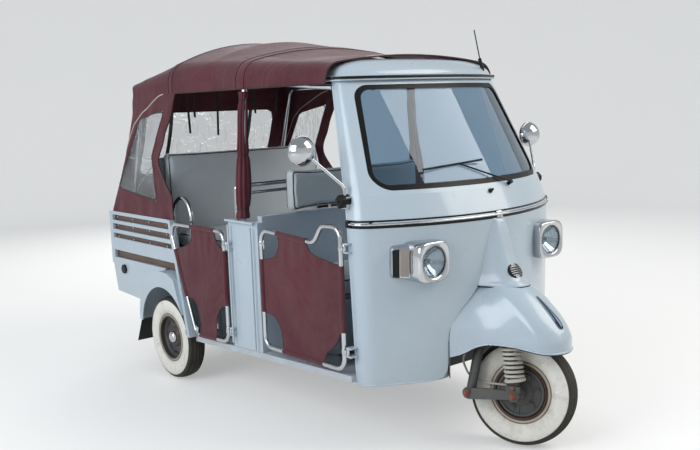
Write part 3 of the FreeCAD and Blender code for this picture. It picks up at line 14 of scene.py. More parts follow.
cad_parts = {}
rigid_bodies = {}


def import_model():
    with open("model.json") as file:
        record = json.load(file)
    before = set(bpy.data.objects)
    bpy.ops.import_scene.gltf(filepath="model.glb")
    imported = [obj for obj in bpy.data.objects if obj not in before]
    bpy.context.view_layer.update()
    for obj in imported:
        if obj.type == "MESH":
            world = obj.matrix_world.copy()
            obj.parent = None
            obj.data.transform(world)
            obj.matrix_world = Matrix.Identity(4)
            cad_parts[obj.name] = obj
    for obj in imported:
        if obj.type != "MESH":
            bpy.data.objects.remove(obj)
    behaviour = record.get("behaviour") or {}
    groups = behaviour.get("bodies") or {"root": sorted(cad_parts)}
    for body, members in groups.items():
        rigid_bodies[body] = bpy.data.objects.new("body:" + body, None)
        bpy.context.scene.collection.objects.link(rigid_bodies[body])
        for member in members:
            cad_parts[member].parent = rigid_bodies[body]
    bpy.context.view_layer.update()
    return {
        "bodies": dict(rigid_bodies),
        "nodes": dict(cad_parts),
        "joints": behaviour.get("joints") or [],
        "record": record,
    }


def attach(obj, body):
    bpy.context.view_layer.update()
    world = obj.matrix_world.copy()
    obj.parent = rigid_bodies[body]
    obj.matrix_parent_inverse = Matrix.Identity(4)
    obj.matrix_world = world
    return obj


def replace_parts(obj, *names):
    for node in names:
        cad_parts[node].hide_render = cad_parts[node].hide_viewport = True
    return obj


log = logging.getLogger("rickshaw")

Point = Sequence[float]
Colour = tuple[float, float, float]
MM = 0.001
FLIP = Matrix.Diagonal((1, -1, 1, 1))  # from the right side to the left


class Slot(Enum):
    """The record's material slots."""

    PAINT = "body_paint"
    FLOOR = "floor_paint"
    STEEL = "dark_steel"
    WHEEL = "wheel_steel"
    SPRING = "spring_paint"
    TYRE = "tyre"
    RUBBER = "black_rubber"
    GLASS = "glass"
    SHEET = "clear_sheet"
    CHROME = "chrome"
    VINYL = "vinyl"
    WOOD = "wood"
    RED = "lamp_red"
    CANVAS = "canvas"


def shade(text: str) -> Colour:
    """Turn a written display colour such as 8899aa into the linear colour that nodes take."""
    parts = [int(text[i:i + 2], 16) / 255 for i in (0, 2, 4)]
    return tuple(c / 12.92 if c <= 0.04045 else ((c + 0.055) / 1.055) ** 2.4 for c in parts)


def mm(*values: float) -> Vector:
    """A point given in millimetres."""
    return Vector(values) * MM


def smooth(x: float) -> float:
    """Ease from 0 to 1."""
    x = min(1.0, max(0.0, x))
    return x * x * (3 - 2 * x)


def bump_at(x: float, centre: float, width: float) -> float:
    """A soft hump of height 1 at a centre."""
    return math.exp(-((x - centre) / width) ** 2)


def between(table: Sequence[Sequence[float]], at: float) -> list[float]:
    """Read a smooth line through a table whose first column rises.

    Args:
        table: rows of (place, value, value...).
        at: the place to read.

    Returns:
        The values there, on a monotone cubic so that nothing overshoots.
    """
    rows = list(table)
    at = min(max(at, rows[0][0]), rows[-1][0])
    i = max(0, min(len(rows) - 2, sum(1 for r in rows if r[0] <= at) - 1))
    width = rows[i + 1][0] - rows[i][0]
    t = (at - rows[i][0]) / width

    def slope(k: int, c: int) -> float:
        """Slope at a row, level at a turning point."""
        if k in (0, len(rows) - 1):
            a, b = (0, 1) if k == 0 else (k - 1, k)
            return (rows[b][c] - rows[a][c]) / (rows[b][0] - rows[a][0])
        left = (rows[k][c] - rows[k - 1][c]) / (rows[k][0] - rows[k - 1][0])
        right = (rows[k + 1][c] - rows[k][c]) / (rows[k + 1][0] - rows[k][0])
        return 0.0 if left * right <= 0 else 2 * left * right / (left + right)

    out = []
    for c in range(1, len(rows[0])):
        a, b = rows[i][c], rows[i + 1][c]
        m0, m1 = slope(i, c) * width, slope(i + 1, c) * width
        out.append((2 * t ** 3 - 3 * t ** 2 + 1) * a + (t ** 3 - 2 * t ** 2 + t) * m0
                   + (3 * t ** 2 - 2 * t ** 3) * b + (t ** 3 - t ** 2) * m1)
    return out


# Shader graphs


class Graph:
    """A node tree with short ways to add nodes and feed their inputs."""

    def __init__(self, tree: bpy.types.NodeTree) -> None:
        """Work in a tree."""
        self.tree = tree

    def feed(self, socket: bpy.types.NodeSocket, value: object) -> None:
        """Link a socket into an input, or set its value."""
        if isinstance(value, bpy.types.NodeSocket):
            self.tree.links.new(value, socket)
        else:
            socket.default_value = value

    def add(self, kind: str, inputs: dict | None = None, **settings: object) -> bpy.types.Node:
        """Add a node.

        Args:
            kind: the node's type without its ShaderNode prefix.
            inputs: values or sockets by input name or number.
            settings: the node's own properties.

        Returns:
            The node.
        """
        node = self.tree.nodes.new(f"ShaderNode{kind}")
        for name, value in settings.items():
            setattr(node, name, value)
        for name, value in (inputs or {}).items():
            self.feed(node.inputs[name], value)
        return node

    def math(self, operation: str, *values: object, clamp: bool = False) -> bpy.types.NodeSocket:
        """A Math node's result."""
        node = self.add("Math", dict(enumerate(values)), operation=operation, use_clamp=clamp)
        return node.outputs[0]

    def mix(self, factor: object, a: object, b: object) -> bpy.types.NodeSocket:
        """A colour between two."""
        node = self.add("Mix", data_type="RGBA")
        for index, value in ((0, factor), (6, a), (7, b)):
            full = (*value, 1) if isinstance(value, tuple) and len(value) == 3 else value
            self.feed(node.inputs[index], full)
        return node.outputs[2]

    def span(self, value: object, low: float, high: float, a: float = 0.0, b: float = 1.0,
             soft: bool = False) -> bpy.types.NodeSocket:
        """A value stretched from one range to another and clamped."""
        node = self.add("MapRange", {"Value": value, "From Min": low, "From Max": high,
                                     "To Min": a, "To Max": b}, clamp=True)
        if soft:
            node.interpolation_type = "SMOOTHSTEP"
        return node.outputs[0]

    def noise(self, vector: object, scale: float, detail: float = 3.0, rough: float = 0.5,
              warp: float = 0.0) -> bpy.types.NodeSocket:
        """Cloudy noise from 0 to 1."""
        node = self.add("TexNoise", {"Vector": vector, "Scale": scale, "Detail": detail,
                                     "Roughness": rough, "Distortion": warp})
        return node.outputs[0]

    def stretched(self, vector: object, scale: Point,
                  turn: Point = (0, 0, 0)) -> bpy.types.NodeSocket:
        """Coordinates scaled and turned for a pattern."""
        node = self.add("Mapping", {"Vector": vector, "Scale": scale, "Rotation": turn})
        return node.outputs[0]

    def call(self, group: bpy.types.NodeTree, inputs: dict) -> bpy.types.Node:
        """Place a shared effect with its own values."""
        return self.add("Group", inputs, node_tree=group)


class Effects:
    """Shared effects, each one a node group that is built once."""

    def __init__(self) -> None:
        """Build every group."""
        self.dust = self._group("dust_and_streaks", self._dust, {
            "Vector": None, "Amount": 0.5, "Low": 0.3, "High": 1.0, "Streaks": 0.3}, {"Mask": 0.0})
        self.scratch = self._group("fine_scratches", self._scratch, {
            "Vector": None, "Scale": 1.0, "Amount": 0.5}, {"Mask": 0.0})
        self.weave = self._group("cloth_weave", self._weave, {
            "Vector": None, "Threads": 400.0}, {"Height": 0.0})
        self.crease = self._group("cloth_creases", self._crease, {
            "Vector": None, "Scale": 4.0, "Sharp": 0.5}, {"Height": 0.0})
        self.grain = self._group("leather_grain", self._grain, {
            "Vector": None, "Scale": 220.0}, {"Height": 0.0})
        self.patch = self._group("uneven_tone", self._patch, {
            "Vector": None, "Scale": 3.0, "Contrast": 0.5}, {"Mask": 0.0})

    @staticmethod
    def _group(name: str, build: Callable, inputs: dict, outputs: dict) -> bpy.types.NodeTree:
        """Make a group with named sockets and let a builder fill it.

        Args:
            name: the group's name.
            build: called with the graph, the group's input node and its output node.
            inputs: default values by name; None is a vector.
            outputs: names of the values it puts out.

        Returns:
            The group.
        """
        tree = bpy.data.node_groups.new(name, "ShaderNodeTree")
        for label, value in inputs.items():
            kind = "NodeSocketVector" if value is None else "NodeSocketFloat"
            socket = tree.interface.new_socket(label, in_out="INPUT", socket_type=kind)
            if value is not None:
                socket.default_value = value
        for label in outputs:
            tree.interface.new_socket(label, in_out="OUTPUT", socket_type="NodeSocketFloat")
        graph = Graph(tree)
        start = tree.nodes.new("NodeGroupInput")
        end = tree.nodes.new("NodeGroupOutput")
        build(graph, start.outputs, end.inputs)
        return tree

    @staticmethod
    def _dust(g: Graph, given: object, out: object) -> None:
        """Road dust that thickens downwards, with runs of dirty water."""
        height = g.add("SeparateXYZ", {0: given["Vector"]}).outputs[2]
        low = g.add("MapRange",
                    {"Value": height, "From Min": given["Low"], "From Max": given["High"],
                                 "To Min": 1.0, "To Max": 0.0},
                                 interpolation_type="SMOOTHSTEP").outputs[0]
        cloud = g.span(g.noise(given["Vector"], 7.0, 6, 0.62), 0.3, 0.72)
        runs = g.noise(g.stretched(given["Vector"], (38, 38, 1.6)), 1.0, 3, 0.6)
        runs = g.math("MULTIPLY", g.span(runs, 0.52, 0.78), given["Streaks"])
        fine = g.span(g.noise(given["Vector"], 90.0, 2), 0.35, 0.75, 0.6, 1.0)
        whole = g.math("ADD", g.math("MULTIPLY", low, cloud), runs)
        whole = g.math("MULTIPLY", whole, fine)
        g.feed(out["Mask"], g.math("MULTIPLY", whole, given["Amount"], clamp=True))

    @staticmethod
    def _scratch(g: Graph, given: object, out: object) -> None:
        """Thin crossing lines in patches."""
        scaled = g.add("VectorMath", {0: given["Vector"], "Scale": given["Scale"]},
                       operation="SCALE").outputs[0]
        total = None
        for turn, seed in ((0.5, 0.0), (-0.7, 3.7), (1.4, 8.1)):
            lines = g.noise(g.stretched(scaled, (240, 240, 9), (turn, turn * 0.6, seed)), 1.0, 2,
                            0.5)
            lines = g.span(lines, 0.69, 0.73)
            total = lines if total is None else g.math("MAXIMUM", total, lines)
        where = g.span(g.noise(scaled, 5.0, 4, 0.6), 0.5, 0.66)
        g.feed(out["Mask"],
               g.math("MULTIPLY", g.math("MULTIPLY", total, where), given["Amount"], clamp=True))

    @staticmethod
    def _weave(g: Graph, given: object, out: object) -> None:
        """Threads over and under each other."""
        x, y, z = g.add("SeparateXYZ", {0: given["Vector"]}).outputs
        along = g.math("SINE", g.math("MULTIPLY", g.math("ADD", x, y), given["Threads"]))
        across = g.math("SINE", g.math("MULTIPLY", g.math("SUBTRACT", z, y), given["Threads"]))
        g.feed(out["Height"], g.math("MULTIPLY", g.math("ADD", along, across), 0.5))

    @staticmethod
    def _crease(g: Graph, given: object, out: object) -> None:
        """Long soft folds with sharper lines in them."""
        big = g.add("TexNoise", {"Vector": given["Vector"], "Scale": given["Scale"], "Detail": 2.5,
                                 "Roughness": 0.45, "Distortion": 1.2}).outputs[0]
        ridge = g.math("SUBTRACT", 1.0, g.math("ABSOLUTE", g.math("MULTIPLY", g.math(
            "SUBTRACT", big, 0.5), 5.0)))
        ridge = g.math("MULTIPLY", g.math("POWER", g.math("MAXIMUM", ridge, 0.0), 3.0),
                       given["Sharp"])
        g.feed(out["Height"], g.math("ADD", big, ridge))

    @staticmethod
    def _grain(g: Graph, given: object, out: object) -> None:
        """Embossed cells of leather cloth."""
        cells = g.add("TexVoronoi", {"Vector": given["Vector"], "Scale": given["Scale"]},
                      feature="DISTANCE_TO_EDGE").outputs[0]
        g.feed(out["Height"], g.span(cells, 0.0, 0.18))

    @staticmethod
    def _patch(g: Graph, given: object, out: object) -> None:
        """Slow changes of tone with finer ones in them."""
        slow = g.add("TexNoise", {"Vector": given["Vector"], "Scale": given["Scale"], "Detail": 5.0,
                                  "Roughness": 0.6}).outputs[0]
        wide = g.math("MULTIPLY", g.math("SUBTRACT", slow, 0.5), given["Contrast"])
        g.feed(out["Mask"], g.math("ADD", g.math("MULTIPLY", wide, 4.0), 0.5, clamp=True))


# Finishes


@dataclass(frozen=True)
class Finish:
    """A surface: its colours and gloss, and what lies on it."""

    name: str
    slot: Slot
    colour: str
    tone: str
    rough: float = 0.5
    metal: float = 0.0
    coat: float = 0.0
    coat_rough: float = 0.1
    sheen: float = 0.0
    shine: float = 0.5
    uneven: float = 0.35
    tone_scale: float = 3.0
    dust: float = 0.0
    dust_colour: str = "8d8072"
    dust_top: float = 0.9
    streaks: float = 0.2
    scratches: float = 0.0
    scratch_colour: str = "5b5652"
    weave: float = 0.0
    threads: float = 900.0
    crease: float = 0.0
    crease_scale: float = 5.0
    grain: float = 0.0
    ripple: float = 0.0
    ripple_scale: float = 30.0

    def base(self, g: Graph, at: object) -> object:
        """The colour before dirt; subclasses paint their own pattern here."""
        patch = g.call(Library.effects.patch, {"Vector": at, "Scale": self.tone_scale,
                                               "Contrast": self.uneven}).outputs[0]
        return g.mix(patch, shade(self.colour), shade(self.tone))

    def height(self, g: Graph, at: object) -> list[tuple[object, float]]:
        """Bump heights with their depths in metres."""
        out = []
        if self.crease:
            made = g.call(Library.effects.crease, {"Vector": at, "Scale": self.crease_scale})
            out.append((made.outputs[0], self.crease))
        if self.grain:
            out.append((g.call(Library.effects.grain, {"Vector": at}).outputs[0], self.grain))
        if self.weave:
            out.append((g.call(Library.effects.weave,
                               {"Vector": at, "Threads": self.threads}).outputs[0],
                        self.weave))
        if self.ripple:
            out.append((g.noise(at, self.ripple_scale, 2), self.ripple))
        return out

    def shader(self, g: Graph) -> bpy.types.Node:
        """The Principled shader with its plain values on its own sockets."""
        return g.add("BsdfPrincipled", {
            "Metallic": self.metal, "Coat Weight": self.coat, "Coat Roughness": self.coat_rough,
            "Sheen Weight": self.sheen, "Sheen Roughness": 0.5, "Specular IOR Level": self.shine})

    def material(self) -> bpy.types.Material:
        """Build the node material once and hand the same one out again."""
        found = Library.made.get(self.name)
        if found:
            return found
        made = bpy.data.materials.new(self.name)
        made.use_nodes = True
        made.node_tree.nodes.clear()
        g = Graph(made.node_tree)
        at = g.add("TexCoord").outputs["Object"]
        bsdf = self.shader(g)
        colour = self.base(g, at)
        rough = g.span(g.noise(at, 6.0, 4, 0.6), 0.3, 0.7, self.rough * 0.82,
                       min(1.0, self.rough * 1.2))
        if self.scratches:
            mask = g.call(Library.effects.scratch,
                          {"Vector": at, "Amount": self.scratches}).outputs[0]
            colour = g.mix(mask, colour, shade(self.scratch_colour))
            rough = g.math("ADD", rough, g.math("MULTIPLY", mask, 0.3), clamp=True)
        if self.dust:
            mask = g.call(Library.effects.dust, {"Vector": at, "Amount": self.dust, "Low": 0.02,
                                                 "High": self.dust_top,
                                                 "Streaks": self.streaks}).outputs[0]
            colour = g.mix(mask, colour, shade(self.dust_colour))
            rough = g.math("ADD", rough, g.math("MULTIPLY", mask, 0.35), clamp=True)
        g.feed(bsdf.inputs["Base Color"], colour)
        g.feed(bsdf.inputs["Roughness"], rough)
        normal = None
        for height, depth in self.height(g, at):
            bump = g.add("Bump", {"Height": height, "Distance": depth, "Strength": 1.0})
            if normal is not None:
                g.feed(bump.inputs["Normal"], normal)
            normal = bump.outputs[0]
        if normal is not None:
            g.feed(bsdf.inputs["Normal"], normal)
        g.add("OutputMaterial", {"Surface": bsdf.outputs[0]})
        Library.made[self.name] = made
        return made


class Library:
    """What all finishes share: the effects and the materials made so far."""

    effects: Effects
    made: dict[str, bpy.types.Material] = {}


@dataclass(frozen=True)
class WoodFinish(Finish):
    """Varnished boards with grain that runs along the vehicle."""

    def base(self, g: Graph, at: object) -> object:
        """Grain lines from stretched noise."""
        rings = g.noise(g.stretched(at, (2.2, 55, 55)), 1.6, 5, 0.65, 0.6)
        fine = g.noise(g.stretched(at, (9, 420, 420)), 1.0, 3, 0.7)
        mixed = g.math("ADD", g.math("MULTIPLY", rings, 0.7), g.math("MULTIPLY", fine, 0.3))
        return g.mix(g.span(mixed, 0.35, 0.65), shade(self.colour), shade(self.tone))


@dataclass(frozen=True)
class GlassFinish(Finish):
    """Clear sheet or pane: tinted, with a plain transmission."""

    through: float = 1.0
    ior: float = 1.45
    alpha: float = 1.0

    def shader(self, g: Graph) -> bpy.types.Node:
        """A transmitting shader."""
        return g.add("BsdfPrincipled", {"Transmission Weight": self.through, "IOR": self.ior,
                                        "Alpha": self.alpha})


@dataclass(frozen=True)
class TyreFinish(Finish):
    """Rubber with a white ring on one side, by the distance from the wheel's own axle."""

    centre: tuple[float, float, float] = (0.0, 0.0, 0.0)
    turn: tuple[float, float, float] = (0.0, 0.0, 0.0)
    side: float = -1.0
    ring: tuple[float, float] = (0.140, 0.221)
    ring_colour: str = "f1eee6"

    def base(self, g: Graph, at: object) -> object:
        """Black rubber, the white ring and the dirt on it."""
        local = g.add("Mapping", {"Vector": at, "Location": self.centre, "Rotation": self.turn},
                      vector_type="TEXTURE").outputs[0]
        x, y, z = g.add("SeparateXYZ", {0: local}).outputs
        away = g.math("SQRT", g.math("ADD", g.math("MULTIPLY", x, x), g.math("MULTIPLY", z, z)))
        low, high = self.ring
        inside = g.math("MULTIPLY", g.span(away, low - 0.0008, low + 0.0008),
                        g.span(away, high - 0.0012, high + 0.0012, 1.0, 0.0))
        facing = g.span(g.math("MULTIPLY", y, self.side), 0.0, 0.01)
        white = g.math("MULTIPLY", inside, facing)
        grime = g.span(g.noise(at, 26.0, 5, 0.65), 0.5, 0.8, 0.0, 0.4)
        rim_dirt = g.span(away, low, low + 0.03, 0.5, 0.0)
        ring = g.mix(g.math("ADD", grime, g.math("MULTIPLY", rim_dirt, g.noise(at, 60.0, 3)),
                            clamp=True),
                     shade(self.ring_colour), shade("9a8d76"))
        return g.mix(white, super().base(g, at), ring)


CHROME = Finish("chrome_plate", Slot.CHROME, "c9ccd0", "b9bbbe", rough=0.1, metal=1.0, uneven=0.3,
                dust=0.1, dust_colour="77716a", streaks=0.1)
PAINT = Finish("pale_paint", Slot.PAINT, "bccad4", "b1c0cc", rough=0.32, coat=0.55, coat_rough=0.07,
               uneven=0.25, dust=0.3, dust_colour="9b9284", dust_top=0.75, streaks=0.1,
               scratches=0.12, ripple=0.0004, ripple_scale=9.0)
GUARD = Finish("guard_paint", Slot.PAINT, "bccad4", "b1c0cc", rough=0.3, coat=0.55, coat_rough=0.07,
               uneven=0.25, dust=0.25, dust_colour="9b9284", dust_top=0.7, streaks=0.1,
               scratches=0.45, scratch_colour="8f9296", ripple=0.0005, ripple_scale=9.0)
UNDER = Finish("under_paint", Slot.PAINT, "6b7076", "55585b", rough=0.7, dust=0.6,
               dust_colour="6a6055", dust_top=1.2)
MIRROR = Finish("mirror_glass", Slot.CHROME, "dfe3e6", "d8dde0", rough=0.02, metal=1.0, uneven=0.1)
# The crest's chrome is tinted dark blue-grey: a painted dark reflection, not the plating's own
# colour.
CREST = Finish("chrome_painted_dark_reflection", Slot.CHROME, "56626e", "3d4650", rough=0.12, metal=1.0, uneven=0.5)
DULL_CHROME = Finish("dull_chrome", Slot.CHROME, "a4a6a8", "8c8e90", rough=0.25, metal=1.0,
                     dust=0.2)
GLOSS_BLACK = Finish("gloss_black", Slot.RUBBER, "080809", "0c0c0d", rough=0.3, shine=0.3, dust=0.0)
INSIDE = Finish("inside_paint", Slot.PAINT, "b4bec9", "a9b4c0", rough=0.45, uneven=0.3, dust=0.35,
                dust_colour="857c70", streaks=0.15)
FLOOR = Finish("floor_mat", Slot.FLOOR, "4a4b4c", "3b3b3b", rough=0.75, dust=0.5,
               dust_colour="8a7f70", grain=0.0006)
SILL = Finish("sill_paint", Slot.FLOOR, "c2cad2", "b2bac2", rough=0.4, coat=0.3, dust=0.5,
              dust_top=0.7, scratches=0.4)
STEEL = Finish("dark_steel_paint", Slot.STEEL, "515456", "3b3d3e", rough=0.5, metal=0.2, dust=0.4,
               dust_colour="766b5f", scratches=0.25, scratch_colour="7c4a2c", ripple=0.0003)
RUST = Finish("rusty_steel", Slot.STEEL, "6b4433", "4a3227", rough=0.8, dust=0.3, ripple=0.0008,
              ripple_scale=120.0, tone_scale=30.0, uneven=0.7)
WHEEL = Finish("wheel_paint", Slot.WHEEL, "3a3b3d", "2c2c2e", rough=0.5, dust=0.5,
               dust_colour="6f5f4f", scratches=0.3, scratch_colour="7c4a2c")
WHEEL_EDGE = Finish("rim_edge", Slot.WHEEL, "6c4a38", "85807a", rough=0.6, metal=0.3, dust=0.3,
                    tone_scale=18.0, uneven=0.8)
BRIGHT_EDGE = Finish("rim_band", Slot.WHEEL, "b5aa98", "9a8f80", rough=0.4, metal=0.3, dust=0.4,
                     scratches=0.5, scratch_colour="7c4a2c", uneven=0.6, tone_scale=14.0)
BOLT_RUST = Finish("rusty_bolts", Slot.STEEL, "9a5a40", "6e4233", rough=0.75, dust=0.15, uneven=0.6,
                   tone_scale=30.0)
SPRING = Finish("spring_white", Slot.SPRING, "d8d5cd", "b9b3a6", rough=0.5, dust=0.3, scratches=0.5,
                scratch_colour="7c4a2c", tone_scale=20.0)
RUBBER = Finish("black_rubber", Slot.RUBBER, "0b0b0c", "111111", rough=0.42, shine=0.22, dust=0.03,
                dust_colour="6f675c", ripple=0.0002, ripple_scale=200.0)
# Used only on the wheel slots: dark patches painted as the shade seen through the holes.
SLOT_SHADE = Finish("tread_rubber", Slot.TYRE, "2a2928", "33302d", rough=0.85, dust=0.35,
               dust_colour="6f675c", ripple=0.0004, ripple_scale=160.0)
VINYL = Finish("grey_vinyl", Slot.VINYL, "c3cacc", "b4bcc0", rough=0.45, sheen=0.1, uneven=0.3,
               grain=0.00025, crease=0.003, crease_scale=3.0, dust=0.06)
PIPING = Finish("black_piping", Slot.VINYL, "222223", "2b2a2a", rough=0.45, grain=0.0001)
CANVAS = Finish("maroon_canvas", Slot.CANVAS, "5c1d2b", "471622", rough=0.85, sheen=0.18,
                uneven=0.45,
                tone_scale=2.2, weave=0.00025, crease=0.0022, crease_scale=4.0, dust=0.18,
                dust_colour="8a6a62", dust_top=1.9, streaks=0.25)
HEM_LIGHT = Finish("canvas_band", Slot.CANVAS, "64222f", "4d1a27", rough=0.85, sheen=0.18,
                   uneven=0.45, weave=0.00025, dust=0.18, dust_colour="8a6a62", dust_top=1.9)
PALE_TRIM = Finish("pale_piping", Slot.CANVAS, "cfc8bd", "b8b0a4", rough=0.6, dust=0.25)
STRAP = Finish("black_strap", Slot.RUBBER, "222122", "2e2c2b", rough=0.7, weave=0.0002,
               threads=1600.0, dust=0.2)
HEM = Finish("canvas_hem", Slot.CANVAS, "3b111b", "2e0d15", rough=0.8, sheen=0.2, weave=0.0002)
WOOD = WoodFinish("varnished_wood", Slot.WOOD, "5a3521", "2f1a10", rough=0.42, coat=0.25,
                  coat_rough=0.2, dust=0.3, ripple=0.0002, ripple_scale=90.0)
GLASS = GlassFinish("windscreen_glass", Slot.GLASS, "86a0b6", "7c98b0", rough=0.02, ior=1.5)
SHEET = GlassFinish("clear_vinyl", Slot.SHEET, "c9cdd0", "bfc6cb", rough=0.12, crease=0.012,
                    crease_scale=9.0, alpha=0.33, through=0.7, ior=1.2)
LENS = GlassFinish("clear_lens", Slot.GLASS, "dfe6ea", "d3dde3", rough=0.04, ior=1.2)
RED = GlassFinish("red_lens", Slot.RED, "8f0f12", "7c0b10", rough=0.15, through=0.3)
SMOKE = GlassFinish("side_lens", Slot.GLASS, "b0a59f", "9b8f88", rough=0.2, through=0.1)


# Hand tools


FEW_CORNERS = 16  # a tube with more corners than this follows a curved line
BEND_STEPS, LINE_STEPS = 8, 2  # segments from knot to knot of a bent tube and of a line


class Bench:
    """Hand tools: each one adds or edits a mesh through Blender's own operators."""

    @staticmethod
    def clear() -> None:
        """Leave edit mode and select nothing."""
        if bpy.context.mode != "OBJECT":
            bpy.ops.object.mode_set(mode="OBJECT")
        bpy.ops.object.select_all(action="DESELECT")

    @staticmethod
    def hold(obj: bpy.types.Object) -> None:
        """Select one object alone and make it active."""
        Bench.clear()
        obj.select_set(True)
        bpy.context.view_layer.objects.active = obj

    @staticmethod
    def taken(name: str) -> bpy.types.Object:
        """Name the object that an operator has just added and put its place into its mesh."""
        obj = bpy.context.active_object
        obj.name = obj.data.name = name
        bpy.ops.object.transform_apply(location=True, rotation=True, scale=True)
        return obj

    @staticmethod
    def edit(obj: bpy.types.Object) -> bmesh.types.BMesh:
        """Open an object in edit mode with nothing selected."""
        Bench.hold(obj)
        bpy.ops.object.mode_set(mode="EDIT")
        bpy.ops.mesh.select_all(action="DESELECT")
        return bmesh.from_edit_mesh(obj.data)

    @staticmethod
    def pick(obj: bpy.types.Object, kind: str, test: Callable[[object], bool]) -> int:
        """Select vertices, edges or faces of the open mesh by a rule.

        Args:
            obj: the object in edit mode.
            kind: "VERT", "EDGE" or "FACE".
            test: called with each element.

        Returns:
            How many were picked.
        """
        bpy.ops.mesh.select_mode(type=kind)
        bpy.ops.mesh.select_all(action="DESELECT")
        mesh = bmesh.from_edit_mesh(obj.data)
        items = {"VERT": mesh.verts, "EDGE": mesh.edges, "FACE": mesh.faces}[kind]
        count = 0
        for item in items:
            if test(item):
                item.select_set(True)
                count += 1
        mesh.select_flush_mode()
        bmesh.update_edit_mesh(obj.data)
        return count

    @staticmethod
    def apply(obj: bpy.types.Object, kind: str, **settings: object) -> None:
        """Add a modifier with its settings and apply it."""
        Bench.hold(obj)
        modifier = obj.modifiers.new(kind.lower(), kind)
        for name, value in settings.items():
            setattr(modifier, name, value)
        bpy.ops.object.modifier_apply(modifier=modifier.name)

    @staticmethod
    def tidy(obj: bpy.types.Object, outward: bool = True) -> bpy.types.Object:
        """Merge doubled vertices and turn the faces outwards."""
        Bench.edit(obj)
        bpy.ops.mesh.select_all(action="SELECT")
        bpy.ops.mesh.remove_doubles(threshold=0.00002)
        if outward:
            bpy.ops.mesh.normals_make_consistent(inside=False)
        bpy.ops.object.mode_set(mode="OBJECT")
        return obj

    @staticmethod
    def smooth(obj: bpy.types.Object, degrees: float = 35.0) -> bpy.types.Object:
        """Shade smoothly except over sharp angles."""
        Bench.hold(obj)
        bpy.ops.object.shade_smooth_by_angle(angle=math.radians(degrees))
        return obj

    @staticmethod
    def joined(name: str, pieces: Sequence[bpy.types.Object]) -> bpy.types.Object:
        """Several objects as one mesh."""
        Bench.clear()
        for piece in pieces:
            piece.select_set(True)
        bpy.context.view_layer.objects.active = pieces[0]
        if len(pieces) > 1:
            bpy.ops.object.join()
        pieces[0].name = pieces[0].data.name = name
        return pieces[0]

    @staticmethod
    def copied(obj: bpy.types.Object, name: str, move: Matrix) -> bpy.types.Object:
        """A copy with its own mesh, moved or mirrored."""
        twin = obj.copy()
        twin.data = obj.data.copy()
        bpy.context.collection.objects.link(twin)
        twin.data.transform(move)
        if move.determinant() < 0:
            twin.data.flip_normals()
        twin.name = twin.data.name = name
        return twin

    @staticmethod
    def rod(name: str, foot: Point, tip: Point, radius: float, tip_radius: float | None = None,
            sides: int = 28, chamfer: float = 0.12) -> bpy.types.Object:
        """A round bar between two points with softened rims.

        Args:
            name: the object's name.
            foot: centre of one end.
            tip: centre of the other.
            radius: at the foot.
            tip_radius: at the tip, when it tapers.
            sides: facets round it.
            chamfer: rim softening as a share of the smaller radius or length.

        Returns:
            The object.
        """
        foot, tip = Vector(foot), Vector(tip)
        way = tip - foot
        end = radius if tip_radius is None else tip_radius
        Bench.clear()
        bpy.ops.mesh.primitive_cone_add(
            vertices=sides, radius1=radius, radius2=end, depth=way.length,
            location=(foot + tip) / 2, rotation=way.to_track_quat("Z", "Y").to_euler())
        obj = Bench.taken(name)
        reach = chamfer * min(radius, end, way.length)
        if reach > 0:
            Bench.edit(obj)
            along = way.normalized()
            Bench.pick(obj, "FACE", lambda f: abs(f.normal.dot(along)) > 0.99)
            bpy.ops.mesh.bevel(offset=reach, segments=2, affect="EDGES")
            Bench.clear()
        return Bench.smooth(obj)

    @staticmethod
    def torus(name: str, centre: Point, axis: Point, major: float, minor: float,
              steps: int = 64, sides: int = 12) -> bpy.types.Object:
        """A ring round an axis."""
        Bench.clear()
        bpy.ops.mesh.primitive_torus_add(
            major_radius=major, minor_radius=minor, major_segments=steps, minor_segments=sides,
            location=centre, rotation=Vector(axis).to_track_quat("Z", "Y").to_euler())
        return Bench.smooth(Bench.taken(name), 60)

    @staticmethod
    def chain(name: str, points: Sequence[Point], closed: bool = False) -> bpy.types.Object:
        """Extrude one vertex from point to point, as an open or closed line; stays in edit mode."""
        Bench.clear()
        bpy.ops.mesh.primitive_plane_add(size=0.1)
        obj = Bench.taken(name)
        Bench.edit(obj)
        bpy.ops.mesh.select_all(action="SELECT")
        bpy.ops.mesh.merge(type="CENTER")
        bpy.ops.mesh.select_mode(type="VERT")
        bpy.ops.mesh.select_all(action="SELECT")
        here = Vector(points[0])
        bpy.ops.transform.translate(value=here)
        for point in points[1:]:
            step = Vector(point) - here
            bpy.ops.mesh.extrude_region_move(TRANSFORM_OT_translate={"value": step})
            here = Vector(point)
        bpy.ops.mesh.select_all(action="SELECT")
        if closed:
            bpy.ops.mesh.edge_face_add()
        return obj

    @staticmethod
    def turned(name: str, profile: Sequence[Point], centre: Point, axis: Point = (0, 0, 1),
               steps: int = 64, degrees: float = 35.0) -> bpy.types.Object:
        """Spin an outline about an axis.

        Args:
            name: the object's name.
            profile: (radius, along) pairs; along is measured on the axis from the centre.
            centre: a point of the axis.
            axis: the axis.
            steps: facets round it.
            degrees: edges sharper than this stay sharp.

        Returns:
            The object, closed where the outline starts and ends on the axis.
        """
        obj = Bench.chain(name, [(max(r, 0.0), 0, a) for r, a in profile])
        bpy.ops.mesh.spin(steps=steps, angle=2 * math.pi, center=(0, 0, 0), axis=(0, 0, 1))
        Bench.clear()
        Bench.tidy(obj)
        turn = Vector(axis).to_track_quat("Z", "Y").to_matrix().to_4x4()
        obj.data.transform(Matrix.Translation(Vector(centre)) @ turn)
        return Bench.smooth(obj, degrees)

